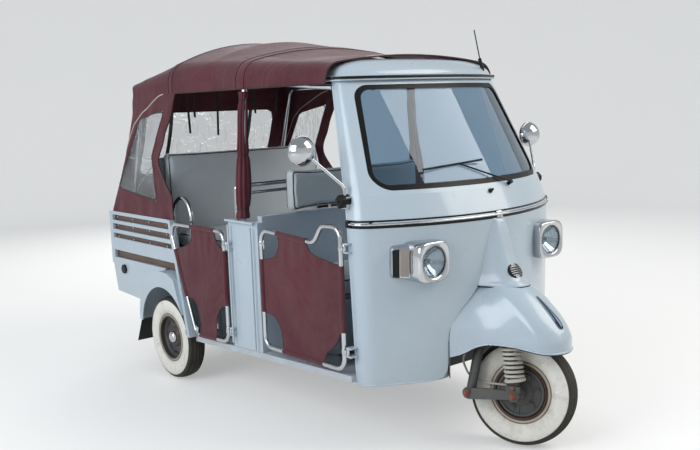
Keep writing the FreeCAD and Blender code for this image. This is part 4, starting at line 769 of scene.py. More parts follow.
    @staticmethod
    def slab(name: str, outline: Sequence[Point], thick: Point, bevel: float = 0.0,
             segments: int = 2) -> bpy.types.Object:
        """A flat outline of points extruded along a vector, with softened edges."""
        obj = Bench.chain(name, outline, closed=True)
        bpy.ops.mesh.select_mode(type="FACE")
        bpy.ops.mesh.select_all(action="SELECT")
        bpy.ops.mesh.extrude_region_move(TRANSFORM_OT_translate={"value": Vector(thick)})
        Bench.clear()
        Bench.tidy(obj)
        if bevel:
            Bench.apply(obj, "BEVEL", width=bevel, segments=segments, limit_method="ANGLE",
                        angle_limit=math.radians(40))
        return Bench.smooth(obj)

    @staticmethod
    def block(name: str, low: Point, high: Point, bevel: float = 0.002,
              segments: int = 2) -> bpy.types.Object:
        """A box between two corners with softened edges."""
        low, high = Vector(low), Vector(high)
        Bench.clear()
        bpy.ops.mesh.primitive_cube_add(size=1, location=(low + high) / 2, scale=high - low)
        obj = Bench.taken(name)
        Bench.edit(obj)
        bpy.ops.mesh.select_all(action="SELECT")
        bpy.ops.mesh.bevel(offset=bevel, segments=segments, affect="EDGES")
        Bench.clear()
        return Bench.smooth(obj)

    @staticmethod
    def ruffle(obj: bpy.types.Object, depth: float, scale: float) -> bpy.types.Object:
        """Move each vertex along its normal by fixed noise."""
        for vertex in obj.data.vertices:
            vertex.co += vertex.normal * depth * noise.noise(vertex.co * scale)
        obj.data.update()
        return obj

    @staticmethod
    def sheet(name: str, columns: int, rows: int,
              place: Callable[[float, float], Vector]) -> bpy.types.Object:
        """A grid laid by a rule of (u, v) from 0 to 1; its UV map keeps u and v."""
        Bench.clear()
        bpy.ops.mesh.primitive_grid_add(x_subdivisions=columns, y_subdivisions=rows, size=1)
        obj = Bench.taken(name)
        for vertex in obj.data.vertices:
            vertex.co = place(vertex.co.x + 0.5, vertex.co.y + 0.5)
        obj.data.update()
        return obj

    @staticmethod
    def tube(name: str, points: Sequence[Point], radius: float, bend: float, closed: bool = False,
             sides: int = 6) -> bpy.types.Object:
        """A bent tube along straight runs with round corners.

        Args:
            name: the object's name.
            points: corners of the run.
            radius: of the tube.
            bend: corner radius.
            closed: joins the last point to the first.
            sides: bevel resolution of the curve.

        Returns:
            The mesh object.
        """
        nodes = [Vector(p) for p in points]
        count = len(nodes)
        curve = bpy.data.curves.new(name, "CURVE")
        curve.dimensions, curve.bevel_depth, curve.bevel_resolution = "3D", radius, sides
        curve.resolution_u = BEND_STEPS if count <= FEW_CORNERS else LINE_STEPS
        curve.use_fill_caps = not closed
        spots: list[tuple[Vector, Vector, Vector]] = []
        for i in range(count):
            here = nodes[i]
            if not closed and i in (0, count - 1):
                other = nodes[1] if i == 0 else nodes[-2]
                step = (other - here) * 0.1
                spots.append((here, here - step if i == 0 else here + step,
                              here + step if i == 0 else here - step))
                continue
            before, after = nodes[i - 1], nodes[(i + 1) % count]
            a, b = (before - here).normalized(), (after - here).normalized()
            half = a.angle(b) / 2
            if half > math.pi / 2 - 0.01:
                spots.append((here, here + a * 0.02, here + b * 0.02))
                continue
            reach = min(bend / math.tan(half), 0.45 * (before - here).length,
                        0.45 * (after - here).length)
            pull = reach * (1 - 4 / 3 * math.tan((math.pi / 2 - half) / 2) * math.tan(half))
            start, end = here + a * reach, here + b * reach
            spots.append((start, start + a * reach * 0.4, here + a * max(pull, 0.0)))
            spots.append((end, here + b * max(pull, 0.0), end + b * reach * 0.4))
        spline = curve.splines.new("BEZIER")
        spline.bezier_points.add(len(spots) - 1)
        for knot, (co, left, right) in zip(spline.bezier_points, spots):
            knot.co, knot.handle_left, knot.handle_right = co, left, right
        spline.use_cyclic_u = closed
        obj = bpy.data.objects.new(name, curve)
        bpy.context.collection.objects.link(obj)
        Bench.hold(obj)
        bpy.ops.object.convert(target="MESH")
        return Bench.smooth(Bench.tidy(bpy.context.active_object), 50)


class Shop:
    """Takes finished pieces in: material, body and the log."""

    count = 0

    @staticmethod
    def take(obj: bpy.types.Object, finish: Finish, body: str = "body") -> bpy.types.Object:
        """Give a piece its material and let it ride on a body.

        Args:
            obj: the finished piece.
            finish: its surface.
            body: the CAD body that carries it.

        Returns:
            The piece.
        """
        obj.data.materials.clear()
        obj.data.materials.append(finish.material())
        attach(obj, body)
        Shop.count += 1
        log.info("%s: %d faces in %s on %s", obj.name, len(obj.data.polygons), finish.name, body)
        return obj

    @staticmethod
    def both(obj: bpy.types.Object, finish: Finish,
             bodies: tuple[str, str] = ("body",
                                        "body")) -> tuple[bpy.types.Object, bpy.types.Object]:
        """Take in a right-hand piece and its mirror image on the left, and return the two."""
        stem = obj.name.removesuffix("_right")
        twin = Bench.copied(obj, f"{stem}_left", FLIP)
        obj.name = obj.data.name = f"{stem}_right"
        return Shop.take(obj, finish, bodies[0]), Shop.take(twin, finish, bodies[1])

    @staticmethod
    def dress(frame: dict, finish: Finish, *nodes: str) -> None:
        """Give CAD nodes a better material."""
        for node in nodes:
            for slot in frame["nodes"][node].material_slots:
                slot.material = finish.material()
            log.info("%s: %s", node, finish.name)


# Assemblies


REAR_BOW = 9000.0  # radius of the hood's slightly bowed rear, in millimetres
REAR_CORNER = 48.0  # radius of its corners
REAR_FLAT = 546.0  # half width of the bowed part at the top


@dataclass
class Studio:
    """Camera, floor and lamps."""

    eye: tuple[float, float, float] = (3.861, -3.049, 1.571)
    yaw: float = 140.79
    pitch: float = -7.76
    roll: float = -2.0
    lens: float = 45.37

    def camera(self) -> None:
        """Stand the camera where the photograph was taken from."""
        yaw, pitch, roll = (math.radians(a) for a in (self.yaw, self.pitch, self.roll))
        ahead = Vector((math.cos(yaw) * math.cos(pitch), math.sin(yaw) * math.cos(pitch),
                        math.sin(pitch)))
        right = ahead.cross(Vector((0, 0, 1))).normalized()
        up = right.cross(ahead)
        across = right * math.cos(roll) + up * math.sin(roll)
        above = up * math.cos(roll) - right * math.sin(roll)
        data = bpy.data.cameras.new("camera")
        data.lens, data.sensor_width = self.lens, 36
        camera = bpy.data.objects.new("camera", data)
        camera.matrix_world = Matrix((
            (across.x, above.x, -ahead.x, self.eye[0]), (across.y, above.y, -ahead.y, self.eye[1]),
            (across.z, above.z, -ahead.z, self.eye[2]), (0, 0, 0, 1)))
        bpy.context.collection.objects.link(camera)
        bpy.context.scene.camera = camera

    def pale(self, name: str, lit: Colour, seen: float) -> bpy.types.Material:
        """A floor material that holds the shadow but looks pale to the camera."""
        made = bpy.data.materials.new(name)
        made.use_nodes = True
        made.node_tree.nodes.clear()
        g = Graph(made.node_tree)
        ray = g.add("LightPath").outputs
        looked = g.math("MAXIMUM", g.math("MAXIMUM", ray["Is Camera Ray"], ray["Is Glossy Ray"]),
                        ray["Is Transmission Ray"])
        cloud = g.noise(g.add("TexCoord").outputs["Object"], 0.7, 2)
        matt = g.add("BsdfDiffuse", {"Color": g.mix(cloud, lit, tuple(c * 0.97 for c in lit))})
        glow = g.add("Emission",
                     {"Color": (1, 1, 1, 1), "Strength": g.math("MULTIPLY", looked, seen)})
        both = g.add("AddShader", {0: matt.outputs[0], 1: glow.outputs[0]})
        g.add("OutputMaterial", {"Surface": both.outputs[0]})
        return made

    def floor(self) -> None:
        """A wide floor that curves up into a backdrop on the far side."""
        def place(u: float, v: float) -> Vector:
            """Flat disc that rises outside the object."""
            turn, away = u * 2 * math.pi, 14 * v
            rise = 7 * smooth((away - 9) / 5) if away > 9 else 0.0
            return Vector((away * math.cos(turn), away * math.sin(turn), rise - 0.0005))

        floor = Bench.sheet("studio_floor", 64, 28, place)
        Bench.smooth(floor, 80)
        floor.data.materials.append(self.pale("studio_floor", (0.62, 0.62, 0.61), 0.36))

    def lamp(self, name: str, place: Point, aim: Point, size: float, watts: float,
             tint: Colour) -> None:
        """A soft square lamp."""
        data = bpy.data.lights.new(name, "AREA")
        data.shape, data.size, data.energy, data.color = "SQUARE", size, watts, tint
        lamp = bpy.data.objects.new(name, data)
        way = Vector(aim) - Vector(place)
        turn = way.to_track_quat("-Z", "Y").to_matrix().to_4x4()
        lamp.matrix_world = Matrix.Translation(Vector(place)) @ turn
        bpy.context.collection.objects.link(lamp)

    def lights(self) -> None:
        """Sky light all round, one large key from the front and two fills."""
        world = bpy.data.worlds.new("sky")
        bpy.context.scene.world = world
        world.use_nodes = True
        world.node_tree.nodes.clear()
        g = Graph(world.node_tree)
        ray = g.add("LightPath").outputs
        looked = g.math("MAXIMUM", ray["Is Camera Ray"], ray["Is Transmission Ray"])
        strength = g.math("ADD", 0.47, g.math("MULTIPLY", looked, 0.5))
        sky = g.add("Background", {"Color": (0.86, 0.93, 1.0, 1), "Strength": strength})
        g.add("OutputWorld", {"Surface": sky.outputs[0]})
        self.lamp("key", (4.6, 3.4, 5.4), (0.3, 0, 0.9), 5.0, 300, (1.0, 0.96, 0.9))
        self.lamp("fill", (0.5, -6.0, 3.4), (0, 0, 0.9), 4.0, 240, (0.92, 0.96, 1.0))
        self.lamp("back", (-5.5, 3.0, 3.8), (-0.5, 0, 1.0), 3.5, 150, (1.0, 0.98, 0.95))

    def build(self) -> None:
        """Camera, floor, lamps and the plain view settings."""
        self.camera()
        self.floor()
        self.lights()
        bpy.context.scene.view_settings.view_transform = "Standard"


# Canvas hood


@dataclass
class Hood:
    """The canvas roof: stations of its cross-section from front to rear, in millimetres."""

    edge: float = 1668.0
    rows: tuple[tuple[float, ...], ...] = (  # x, half width, corner, crown height, straight side
        (-1265, 598, 60, 1768, 14),
        (-700, 606, 120, 1955, 62),
        (-350, 606, 125, 1950, 55),
        (300, 600, 110, 1832, 24),
        (668, 560, 90, 1804, 12),
    )
    bows: tuple[float, ...] = (-1265, -1103, -692, 25, 545, 668)
    sag: float = 9.0
    thick: float = 2.6

    def row(self, x: float) -> list[float]:
        """Half width, corner, crown height and straight side at a station."""
        rows = self.rows
        x = min(max(x, rows[0][0]), rows[-1][0])
        for low, high in zip(rows, rows[1:]):
            if x <= high[0]:
                t = (x - low[0]) / (high[0] - low[0])
                return [a + (b - a) * t for a, b in zip(low[1:], high[1:])]
        return list(rows[-1][1:])

    def across(self, x: float, s: float) -> tuple[float, float, float, float]:
        """A point of the cross-section.

        Args:
            x: station in millimetres.
            s: from -1 at the right edge over 0 at the crown to 1 at the left edge.

        Returns:
            y and z in millimetres, and the outward direction there.
        """
        half, corner, top, side = self.row(x)
        drop = top - self.edge - side
        main = (drop ** 2 + (half - corner) ** 2 - corner ** 2) / (2 * (drop - corner))
        turn = math.atan2(self.edge + side - (top - main), half - corner)
        runs = (side, corner * turn, main * (math.pi / 2 - turn))
        along = (1 - abs(s)) * sum(runs)
        sign = -1.0 if s < 0 else 1.0
        if along < runs[0]:
            return sign * half, self.edge + along, sign, 0.0
        if along < runs[0] + runs[1]:
            angle = (along - runs[0]) / corner
            centre = (half - corner, self.edge + side)
            radius = corner
        else:
            angle = turn + (along - runs[0] - runs[1]) / main
            centre, radius = (0.0, top - main), main
        y, z = math.cos(angle), math.sin(angle)
        return sign * (centre[0] + radius * y), centre[1] + radius * z, sign * y, z

    def slack(self, x: float, s: float) -> float:
        """How far the cloth lies inside its tightest form, in millimetres."""
        for low, high in zip(self.bows, self.bows[1:]):
            if low <= x <= high:
                t = (x - low) / (high - low)
                hang = self.sag * min(1.0, (high - low) / 500) * (4 * t * (1 - t)) ** 0.8
                break
        else:
            hang = 0.0
        flat = 1.0 - 0.55 * bump_at(abs(s), 0.80, 0.14)
        pull = 0.0
        for place, reach, count, lean in ((25, 150, 17, 2.1), (-692, 190, 21, -1.4),
                                          (-1103, 120, 19, 0.8), (668, 110, 15, 1.7)):
            near = bump_at(x, place, reach) - bump_at(x, place, reach * 0.3)
            pull += near * math.sin(s * count * 3.1 + lean + x * 0.004
                                    * lean) * (0.9 + math.sin(s * 11 + lean))
        sewn = smooth((abs(s) - 0.84) / 0.1) * smooth((-560 - x) / 120)
        return max(0.0, hang * flat + 1.2 * pull * (0.3 + abs(s))) * (1 - sewn)

    @staticmethod
    def rounding(y: float) -> float:
        """How far the rear edge's line comes forward towards its corners, as the curtain's does."""
        out = abs(y)
        turn = min(max(out - REAR_FLAT, 0.0), REAR_CORNER)
        bow = REAR_BOW - math.sqrt(REAR_BOW ** 2 - min(out, REAR_FLAT) ** 2)
        return bow + REAR_CORNER - math.sqrt(REAR_CORNER ** 2 - turn ** 2)

    def point(self, x: float, s: float, lift: float = 0.0) -> Vector:
        """A point of the cloth's outer face in metres, raised by so many millimetres."""
        y, z, out_y, out_z = self.across(x, s)
        move = lift - self.slack(x, s)
        x += self.rounding(y) * smooth((-900 - x) / 365)
        return mm(x, y + out_y * move, z + out_z * move)

    def height(self, x: float, y: float) -> float:
        """Height of the tight cloth's outer face at a place, in millimetres."""
        low, high = 0.0, 1.0
        for _ in range(20):
            mid = (low + high) / 2
            low, high = (low, mid) if abs(self.across(x, mid)[0]) > abs(y) else (mid, high)
        return self.across(x, low)[1]

    def strip(self, name: str, x: float, wide: float, lift: float,
              reach: float = 1.0) -> bpy.types.Object:
        """A sewn band across the roof at a station."""
        return Bench.sheet(name, 4, 90, lambda u, v: self.point(
            x + (u - 0.5) * wide, (2 * v - 1) * reach, lift * (1 - abs(2 * u - 1) ** 6)))

    def edge_line(self, name: str, x: Sequence[float], s: float, radius: float,
                  lift: float = 0.0) -> bpy.types.Object:
        """A round cord along one long edge."""
        return Bench.tube(name, [self.point(a, s, lift) for a in x], radius * MM, 0.02, sides=4)

    def build(self) -> None:
        """The roof cloth with its bands, hems and seams."""
        long = self.rows[-1][0] - self.rows[0][0]
        roof = Bench.sheet("canopy_cloth", 150, 110, lambda u, v: self.point(
            self.rows[0][0] + long * u, 2 * v - 1))
        Bench.apply(roof, "SOLIDIFY", thickness=self.thick * MM, offset=-1)
        Bench.tidy(roof)
        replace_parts(Shop.take(Bench.smooth(roof, 60), CANVAS), "canopy_top")
        pieces = [self.strip("seam_band", 16, 74, 1.6), self.strip("rear_seam_band", -706, 46, 1.6)]
        for piece in pieces:
            Bench.apply(piece, "SOLIDIFY", thickness=0.0014, offset=-1)
            Shop.take(Bench.smooth(piece, 60), HEM_LIGHT)
        edges = [self.edge_line(f"roof_hem_{side}", [-664 + 1332 * k / 30 for k in range(31)],
                                sign * 0.997, 4.2, -1.5)
                                for side, sign in (("right", -1), ("left", 1))]
        for tag, x, wide in (("mid", 16, 36), ("rear", -706, 22)):
            for end, sign in (("front", 1), ("back", -1)):
                line = [self.point(x + sign * wide, (k / 32 - 1) * 0.998, 1.5) for k in range(65)]
                edges.append(Bench.tube(f"{tag}_seam_cord_{end}", line, 0.0019, 0.02, sides=3))
        rim = [self.point(self.rows[-1][0] - 2, k / 24 - 1, -1.2) for k in range(49)]
        edges.append(Bench.tube("roof_front_hem", rim, 0.0038, 0.02, sides=4))
        for edge in edges:
            Shop.take(edge, HEM)
        bar = [self.point(self.rows[-1][0] - 22, k / 20 * 0.93 - 0.465, 1.6) for k in range(21)]
        strip = Shop.take(Bench.tube("roof_front_bar", bar, 0.0034, 0.02, sides=4), PALE_TRIM)
        width = 2 * (sum(self.arc(x) for x, *_ in self.rows) / len(self.rows)) * MM

    def arc(self, x: float) -> float:
        """Half of the cloth's girth at a station."""
        points = [self.across(x, k / 40 - 1) for k in range(41)]
        return sum(math.hypot(b[0] - a[0], b[1] - a[1]) for a, b in zip(points, points[1:]))


@dataclass
class Curtain:
    """The rear curtain and its clear windows, in millimetres."""

    rows: tuple[tuple[float, ...], ...] = (  # height, rear face, half width
        (942.3, -1575, 638),
        (1418, -1323, 611),
        (1672, -1253, 594),
    )
    corner: float = REAR_CORNER
    front: tuple[tuple[float, float], ...] = (  # height, where the side's cloth ends
        (942, -712), (1050, -722), (1160, -806), (1270, -890), (1400, -830), (1672, -657))
    thick: float = 2.4

    def across(self, z: float, s: float, wide: float = 0.0) -> tuple[float, float, float, float]:
        """A point on the curtain at a height.

        Args:
            z: height.
            s: from -1 at the right front edge over 0 at the middle of the rear to 1 at the left.
            wide: cloth let out beyond the front edge.

        Returns:
            x and y, and the outward direction there.
        """
        tip, half = between(self.rows, z)
        start = between(self.front, z)[0] + wide
        bow = REAR_BOW - math.sqrt(REAR_BOW ** 2 - (half - self.corner) ** 2)
        side = start - (tip + bow + self.corner)
        runs = (side, self.corner * math.pi / 2, half - self.corner)
        along = (1 - abs(s)) * sum(runs)
        sign = -1.0 if s < 0 else 1.0
        if along < side:
            return start - along, sign * half, 0.0, sign
        if along < side + runs[1]:
            angle = (along - side) / self.corner
            return (tip + bow + self.corner - self.corner * math.sin(angle),
                    sign * (half - self.corner + self.corner * math.cos(angle)),
                    -math.sin(angle), sign * math.cos(angle))
        rest = half - self.corner - (along - side - runs[1])
        return tip + REAR_BOW - math.sqrt(REAR_BOW ** 2 - rest ** 2), sign * rest, -1.0, 0.0

    def top(self, s: float) -> float:
        """Height of the upper edge: under the roof's arch at the rear, straight at the sides."""
        x, y, *_ = self.across(1672, s)
        rear = smooth((-1120 - x) / 90)
        return 1672 + rear * max(0.0, HOOD.height(HOOD.rows[0][0], y) - HOOD.thick - 1.2 - 1672)

    def fold(self, z: float, s: float) -> float:
        """Soft hanging folds and slack, in millimetres inwards."""
        side = smooth((abs(s) - 0.42) / 0.1)
        lean = (1672 - z) / 730
        hang = 1.0 + math.sin(s * 41 + lean * 3.2 + 0.6 * math.sin(z * 0.011))
        hang += 0.7 * (1 + math.sin(s * 67 - lean * 4.1 + 1.3))
        near = bump_at(z, 1640, 110) + 0.55 * bump_at(z, 960, 70) + 0.35
        pull = 3.2 * bump_at(abs(s), 0.97, 0.05) * (1 + math.sin(z * 0.043 + s))
        buckle = 2.2 * (1 + math.sin(s * 23 + z * 0.013)) * bump_at(z, 1300, 210)
        return (2.3 * hang * near + pull) * side + buckle * (1 - 0.5 * side)

    def point(self, z: float, s: float, lift: float = 0.0) -> Vector:
        """A point of the outer face in metres."""
        x, y, out_x, out_y = self.across(z, s)
        tight = smooth((z - 1545) / 110)
        reach = 9.0 * out_x ** 2 + (0.6 + 8.2 * smooth((x + 1265) / 565)) * out_y ** 2
        move = lift - self.fold(z, s) * (1 - tight) + reach * tight
        return mm(x + out_x * move, y + out_y * move, z)

    def cutter(self, name: str, outline: Sequence[Point], axis: str,
               reach: float) -> bpy.types.Object:
        """A prism through the curtain along an axis."""
        def at(a: float, b: float, depth: float) -> Vector:
            """A corner of the outline at one end."""
            return mm(a, depth, b) if axis == "y" else mm(depth, a, b)

        ends = (-900, 900) if axis == "y" else (-1700, reach)
        step = mm(0, 1800, 0) if axis == "y" else mm(reach + 1700, 0, 0)
        return Bench.slab(name, [at(a, b, ends[0]) for a, b in outline], step)

    def build(self) -> None:
        """Cloth, windows, binding round them and the piped seams."""
        low, high = self.rows[0][0], self.rows[-1][0]
        cloth = Bench.sheet("rear_curtain_cloth", 190, 64,
                            lambda u, v: self.point(low + (self.top(2 * u - 1) - low) * v,
                                                    2 * u - 1))
        Bench.apply(cloth, "SOLIDIFY", thickness=self.thick * MM, offset=-1)
        Bench.tidy(cloth)
        quarter = rounded([(-906, 1042), (-1432, 1098), (-1126, 1528), (-816, 1580), (-978, 1300)],
                          22)
        rear = rounded([(-485, 1160), (485, 1160), (485, 1562), (-485, 1562)], 60)
        clear = Bench.copied(cloth, "curtain_window_sheet", Matrix.Identity(4))
        holes = Bench.joined("holes", [self.cutter("hole_a", quarter, "y", 0),
                                       self.cutter("hole_b", rear, "x", -1240)])
        for piece, action in ((cloth, "DIFFERENCE"), (clear, "INTERSECT")):
            Bench.apply(piece, "BOOLEAN", object=holes, operation=action, solver="EXACT",
                        use_self=True)
            Bench.tidy(piece)
        bpy.data.objects.remove(holes, do_unlink=True)
        Shop.take(Bench.smooth(clear, 50), SHEET)
        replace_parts(clear, "hood_windows")
        Shop.take(Bench.smooth(cloth, 60), CANVAS)
        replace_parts(cloth, "rear_curtain")
        for side, sign in (("right", -1), ("left", 1)):
            line = [self.on_side(x, z, sign, 1.6) for x, z in resampled(quarter, 46)]
            Shop.take(Bench.tube(f"quarter_window_binding_{side}", line, 0.0036, 0.012,
                                             True, 4), HEM)
            seam = [(-800, 1668), (-855, 1661), (-1092, 1563), (-1196, 1498), (-1319, 1328),
                    (-1478, 1177), (-1548, 1022), (-1556, 946)]
            line = [self.on_side(x, z, sign, 2.0) for x, z in resampled(seam, 34, False)]
            Shop.take(Bench.tube(f"quarter_piping_{side}", line, 0.0034, 0.02, sides=4),
                                  PALE_TRIM)
            edge = [self.point(low + (high - low) * k / 30, sign * 0.999, -0.8) for k in range(31)]
            Shop.take(Bench.tube(f"curtain_front_hem_{side}", edge, 0.0042, 0.02,
                                             sides=4), HEM)
        line = [self.on_rear(y, z, 1.6) for y, z in resampled(rear, 60)]
        Shop.take(Bench.tube("rear_window_binding", line, 0.0042, 0.012, True, 4), HEM)
        for name, y in (("right", -300), ("left", 300)):
            strap = Bench.sheet(f"rear_strap_{name}", 4, 40, lambda u, v, y=y: self.on_rear(
                y + (u - 0.5) * 26, 955 + 700 * v, 3.4))
            Bench.apply(strap, "SOLIDIFY", thickness=0.0016, offset=0)
            Shop.take(Bench.smooth(strap), STRAP)
        girth = sum((self.point(1300, a / 60 - 1) - self.point(1300, (a + 1) / 60 - 1)).length
                    for a in range(120))
        tall = (self.point(1672, 0) - self.point(942.3, 0)).length

    def on_side(self, x: float, z: float, sign: int, lift: float) -> Vector:
        """The side's outer face at a place, by bisection along the girth."""
        low, high = 0.35, 1.0
        for _ in range(24):
            mid = (low + high) / 2
            if self.across(z, sign * mid)[0] < x:
                low = mid
            else:
                high = mid
        return self.point(z, sign * low, lift)

    def on_rear(self, y: float, z: float, lift: float) -> Vector:
        """The rear's outer face at a place."""
        low, high = 0.0, 0.6
        for _ in range(24):
            mid = (low + high) / 2
            if abs(self.across(z, mid)[1]) < abs(y):
                low = mid
            else:
                high = mid
        return self.point(z, math.copysign(low, y), lift)


def rounded(outline: Sequence[Point], radius: float, steps: int = 5) -> list[tuple[float, float]]:
    """Round a closed outline's corners with arcs."""
    out: list[tuple[float, float]] = []
    count = len(outline)
    for i in range(count):
        here = Vector(outline[i])
        a, b = Vector(outline[i - 1]) - here, Vector(outline[(i + 1) % count]) - here
        reach = min(radius, a.length * 0.45, b.length * 0.45)
        start, end = here + a.normalized() * reach, here + b.normalized() * reach
        for k in range(steps + 1):
            t = k / steps
            point = start * (1 - t) ** 2 + here * 2 * t * (1 - t) + end * t ** 2
            out.append((point.x, point.y))
    return out


def resampled(outline: Sequence[Point], count: int,
              closed: bool = True) -> list[tuple[float, float]]:
    """Even points along an outline."""
    points = [Vector(p) for p in outline] + ([Vector(outline[0])] if closed else [])
    lengths = [(b - a).length for a, b in zip(points, points[1:])]
    whole, out = sum(lengths), []
    for k in range(count):
        at = whole * k / (count if closed else count - 1)
        i = 0
        while i < len(lengths) - 1 and at > lengths[i]:
            at -= lengths[i]
            i += 1
        t = min(1.0, at / lengths[i]) if lengths[i] else 0.0
        point = points[i].lerp(points[i + 1], t)
        out.append((point.x, point.y))
    return out


@dataclass
class Roll:
    """A side curtain rolled up and tied against its post, in millimetres."""

    foot: tuple[float, float, float] = (19, -624, 1012)
    head: tuple[float, float, float] = (19, -584, 1656)
    thick: tuple[float, float] = (41, 26)
    folds: int = 9

    def build(self) -> None:
        """Gathered cloth with deep folds and three ties."""
        foot, head = Vector(self.foot), Vector(self.head)

        def place(u: float, v: float) -> Vector:
            """A gathered ring that narrows under each tie."""
            turn = 2 * math.pi * u
            radius = self.thick[0] + (self.thick[1] - self.thick[0]) * v
            radius *= 1 + 0.16 * bump_at(v, 0.30, 0.16) - 0.10 * bump_at(v, 0.66, 0.12)
            tie = 1 - 0.17 * (bump_at(v, 0.93, 0.03) + bump_at(v, 0.50, 0.02)
                              + bump_at(v, 0.07, 0.03))
            wave = 0.5 + 0.5 * math.sin(self.folds * turn + 2.2 * math.sin(3.1 * v) + 0.7
                                        * math.sin(9 * v))
            deep = 1 - 0.20 * wave ** 1.6 * (0.5 + 0.5 * smooth(v * 9) * smooth((1 - v) * 9))
            wobble = 1 - 0.05 * (1 + math.sin(2 * turn + 5 * v))
            r = radius * tie * deep * wobble
            centre = foot.lerp(head, v)
            sway = 5 * math.sin(5.5 * v + 0.6) * smooth(v * 6) * smooth((1 - v) * 6)
            return mm(centre.x + r * math.cos(turn) + sway, centre.y + r * math.sin(turn), centre.z)

        roll = Bench.sheet("side_curtain_roll_right", 108, 60, place)
        Bench.tidy(roll)
        bits = []
        for v in (0.93, 0.50, 0.07):
            centre = foot.lerp(head, v) * MM
            radius = (self.thick[0] + (self.thick[1] - self.thick[0]) * v) * 0.80 * MM
            bits.append(Bench.torus(f"tie_{int(v * 100)}", centre, (head - foot).normalized(),
                                    radius, 0.0026, 40, 8))
        ties = Bench.joined("side_curtain_ties_right", bits)
        Bench.apply(roll, "SOLIDIFY", thickness=0.0022, offset=-1)
        for side in ("right", "left"):
            if side == "left":
                cloth = Bench.copied(roll, "side_curtain_roll_left", FLIP)
                tie = Bench.copied(ties, "side_curtain_ties_left", FLIP)
            else:
                cloth, tie = roll, ties
            Shop.take(Bench.smooth(cloth, 70), CANVAS)
            Shop.take(tie, STRAP)
            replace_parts(cloth, "rolled_curtains")


# Doors


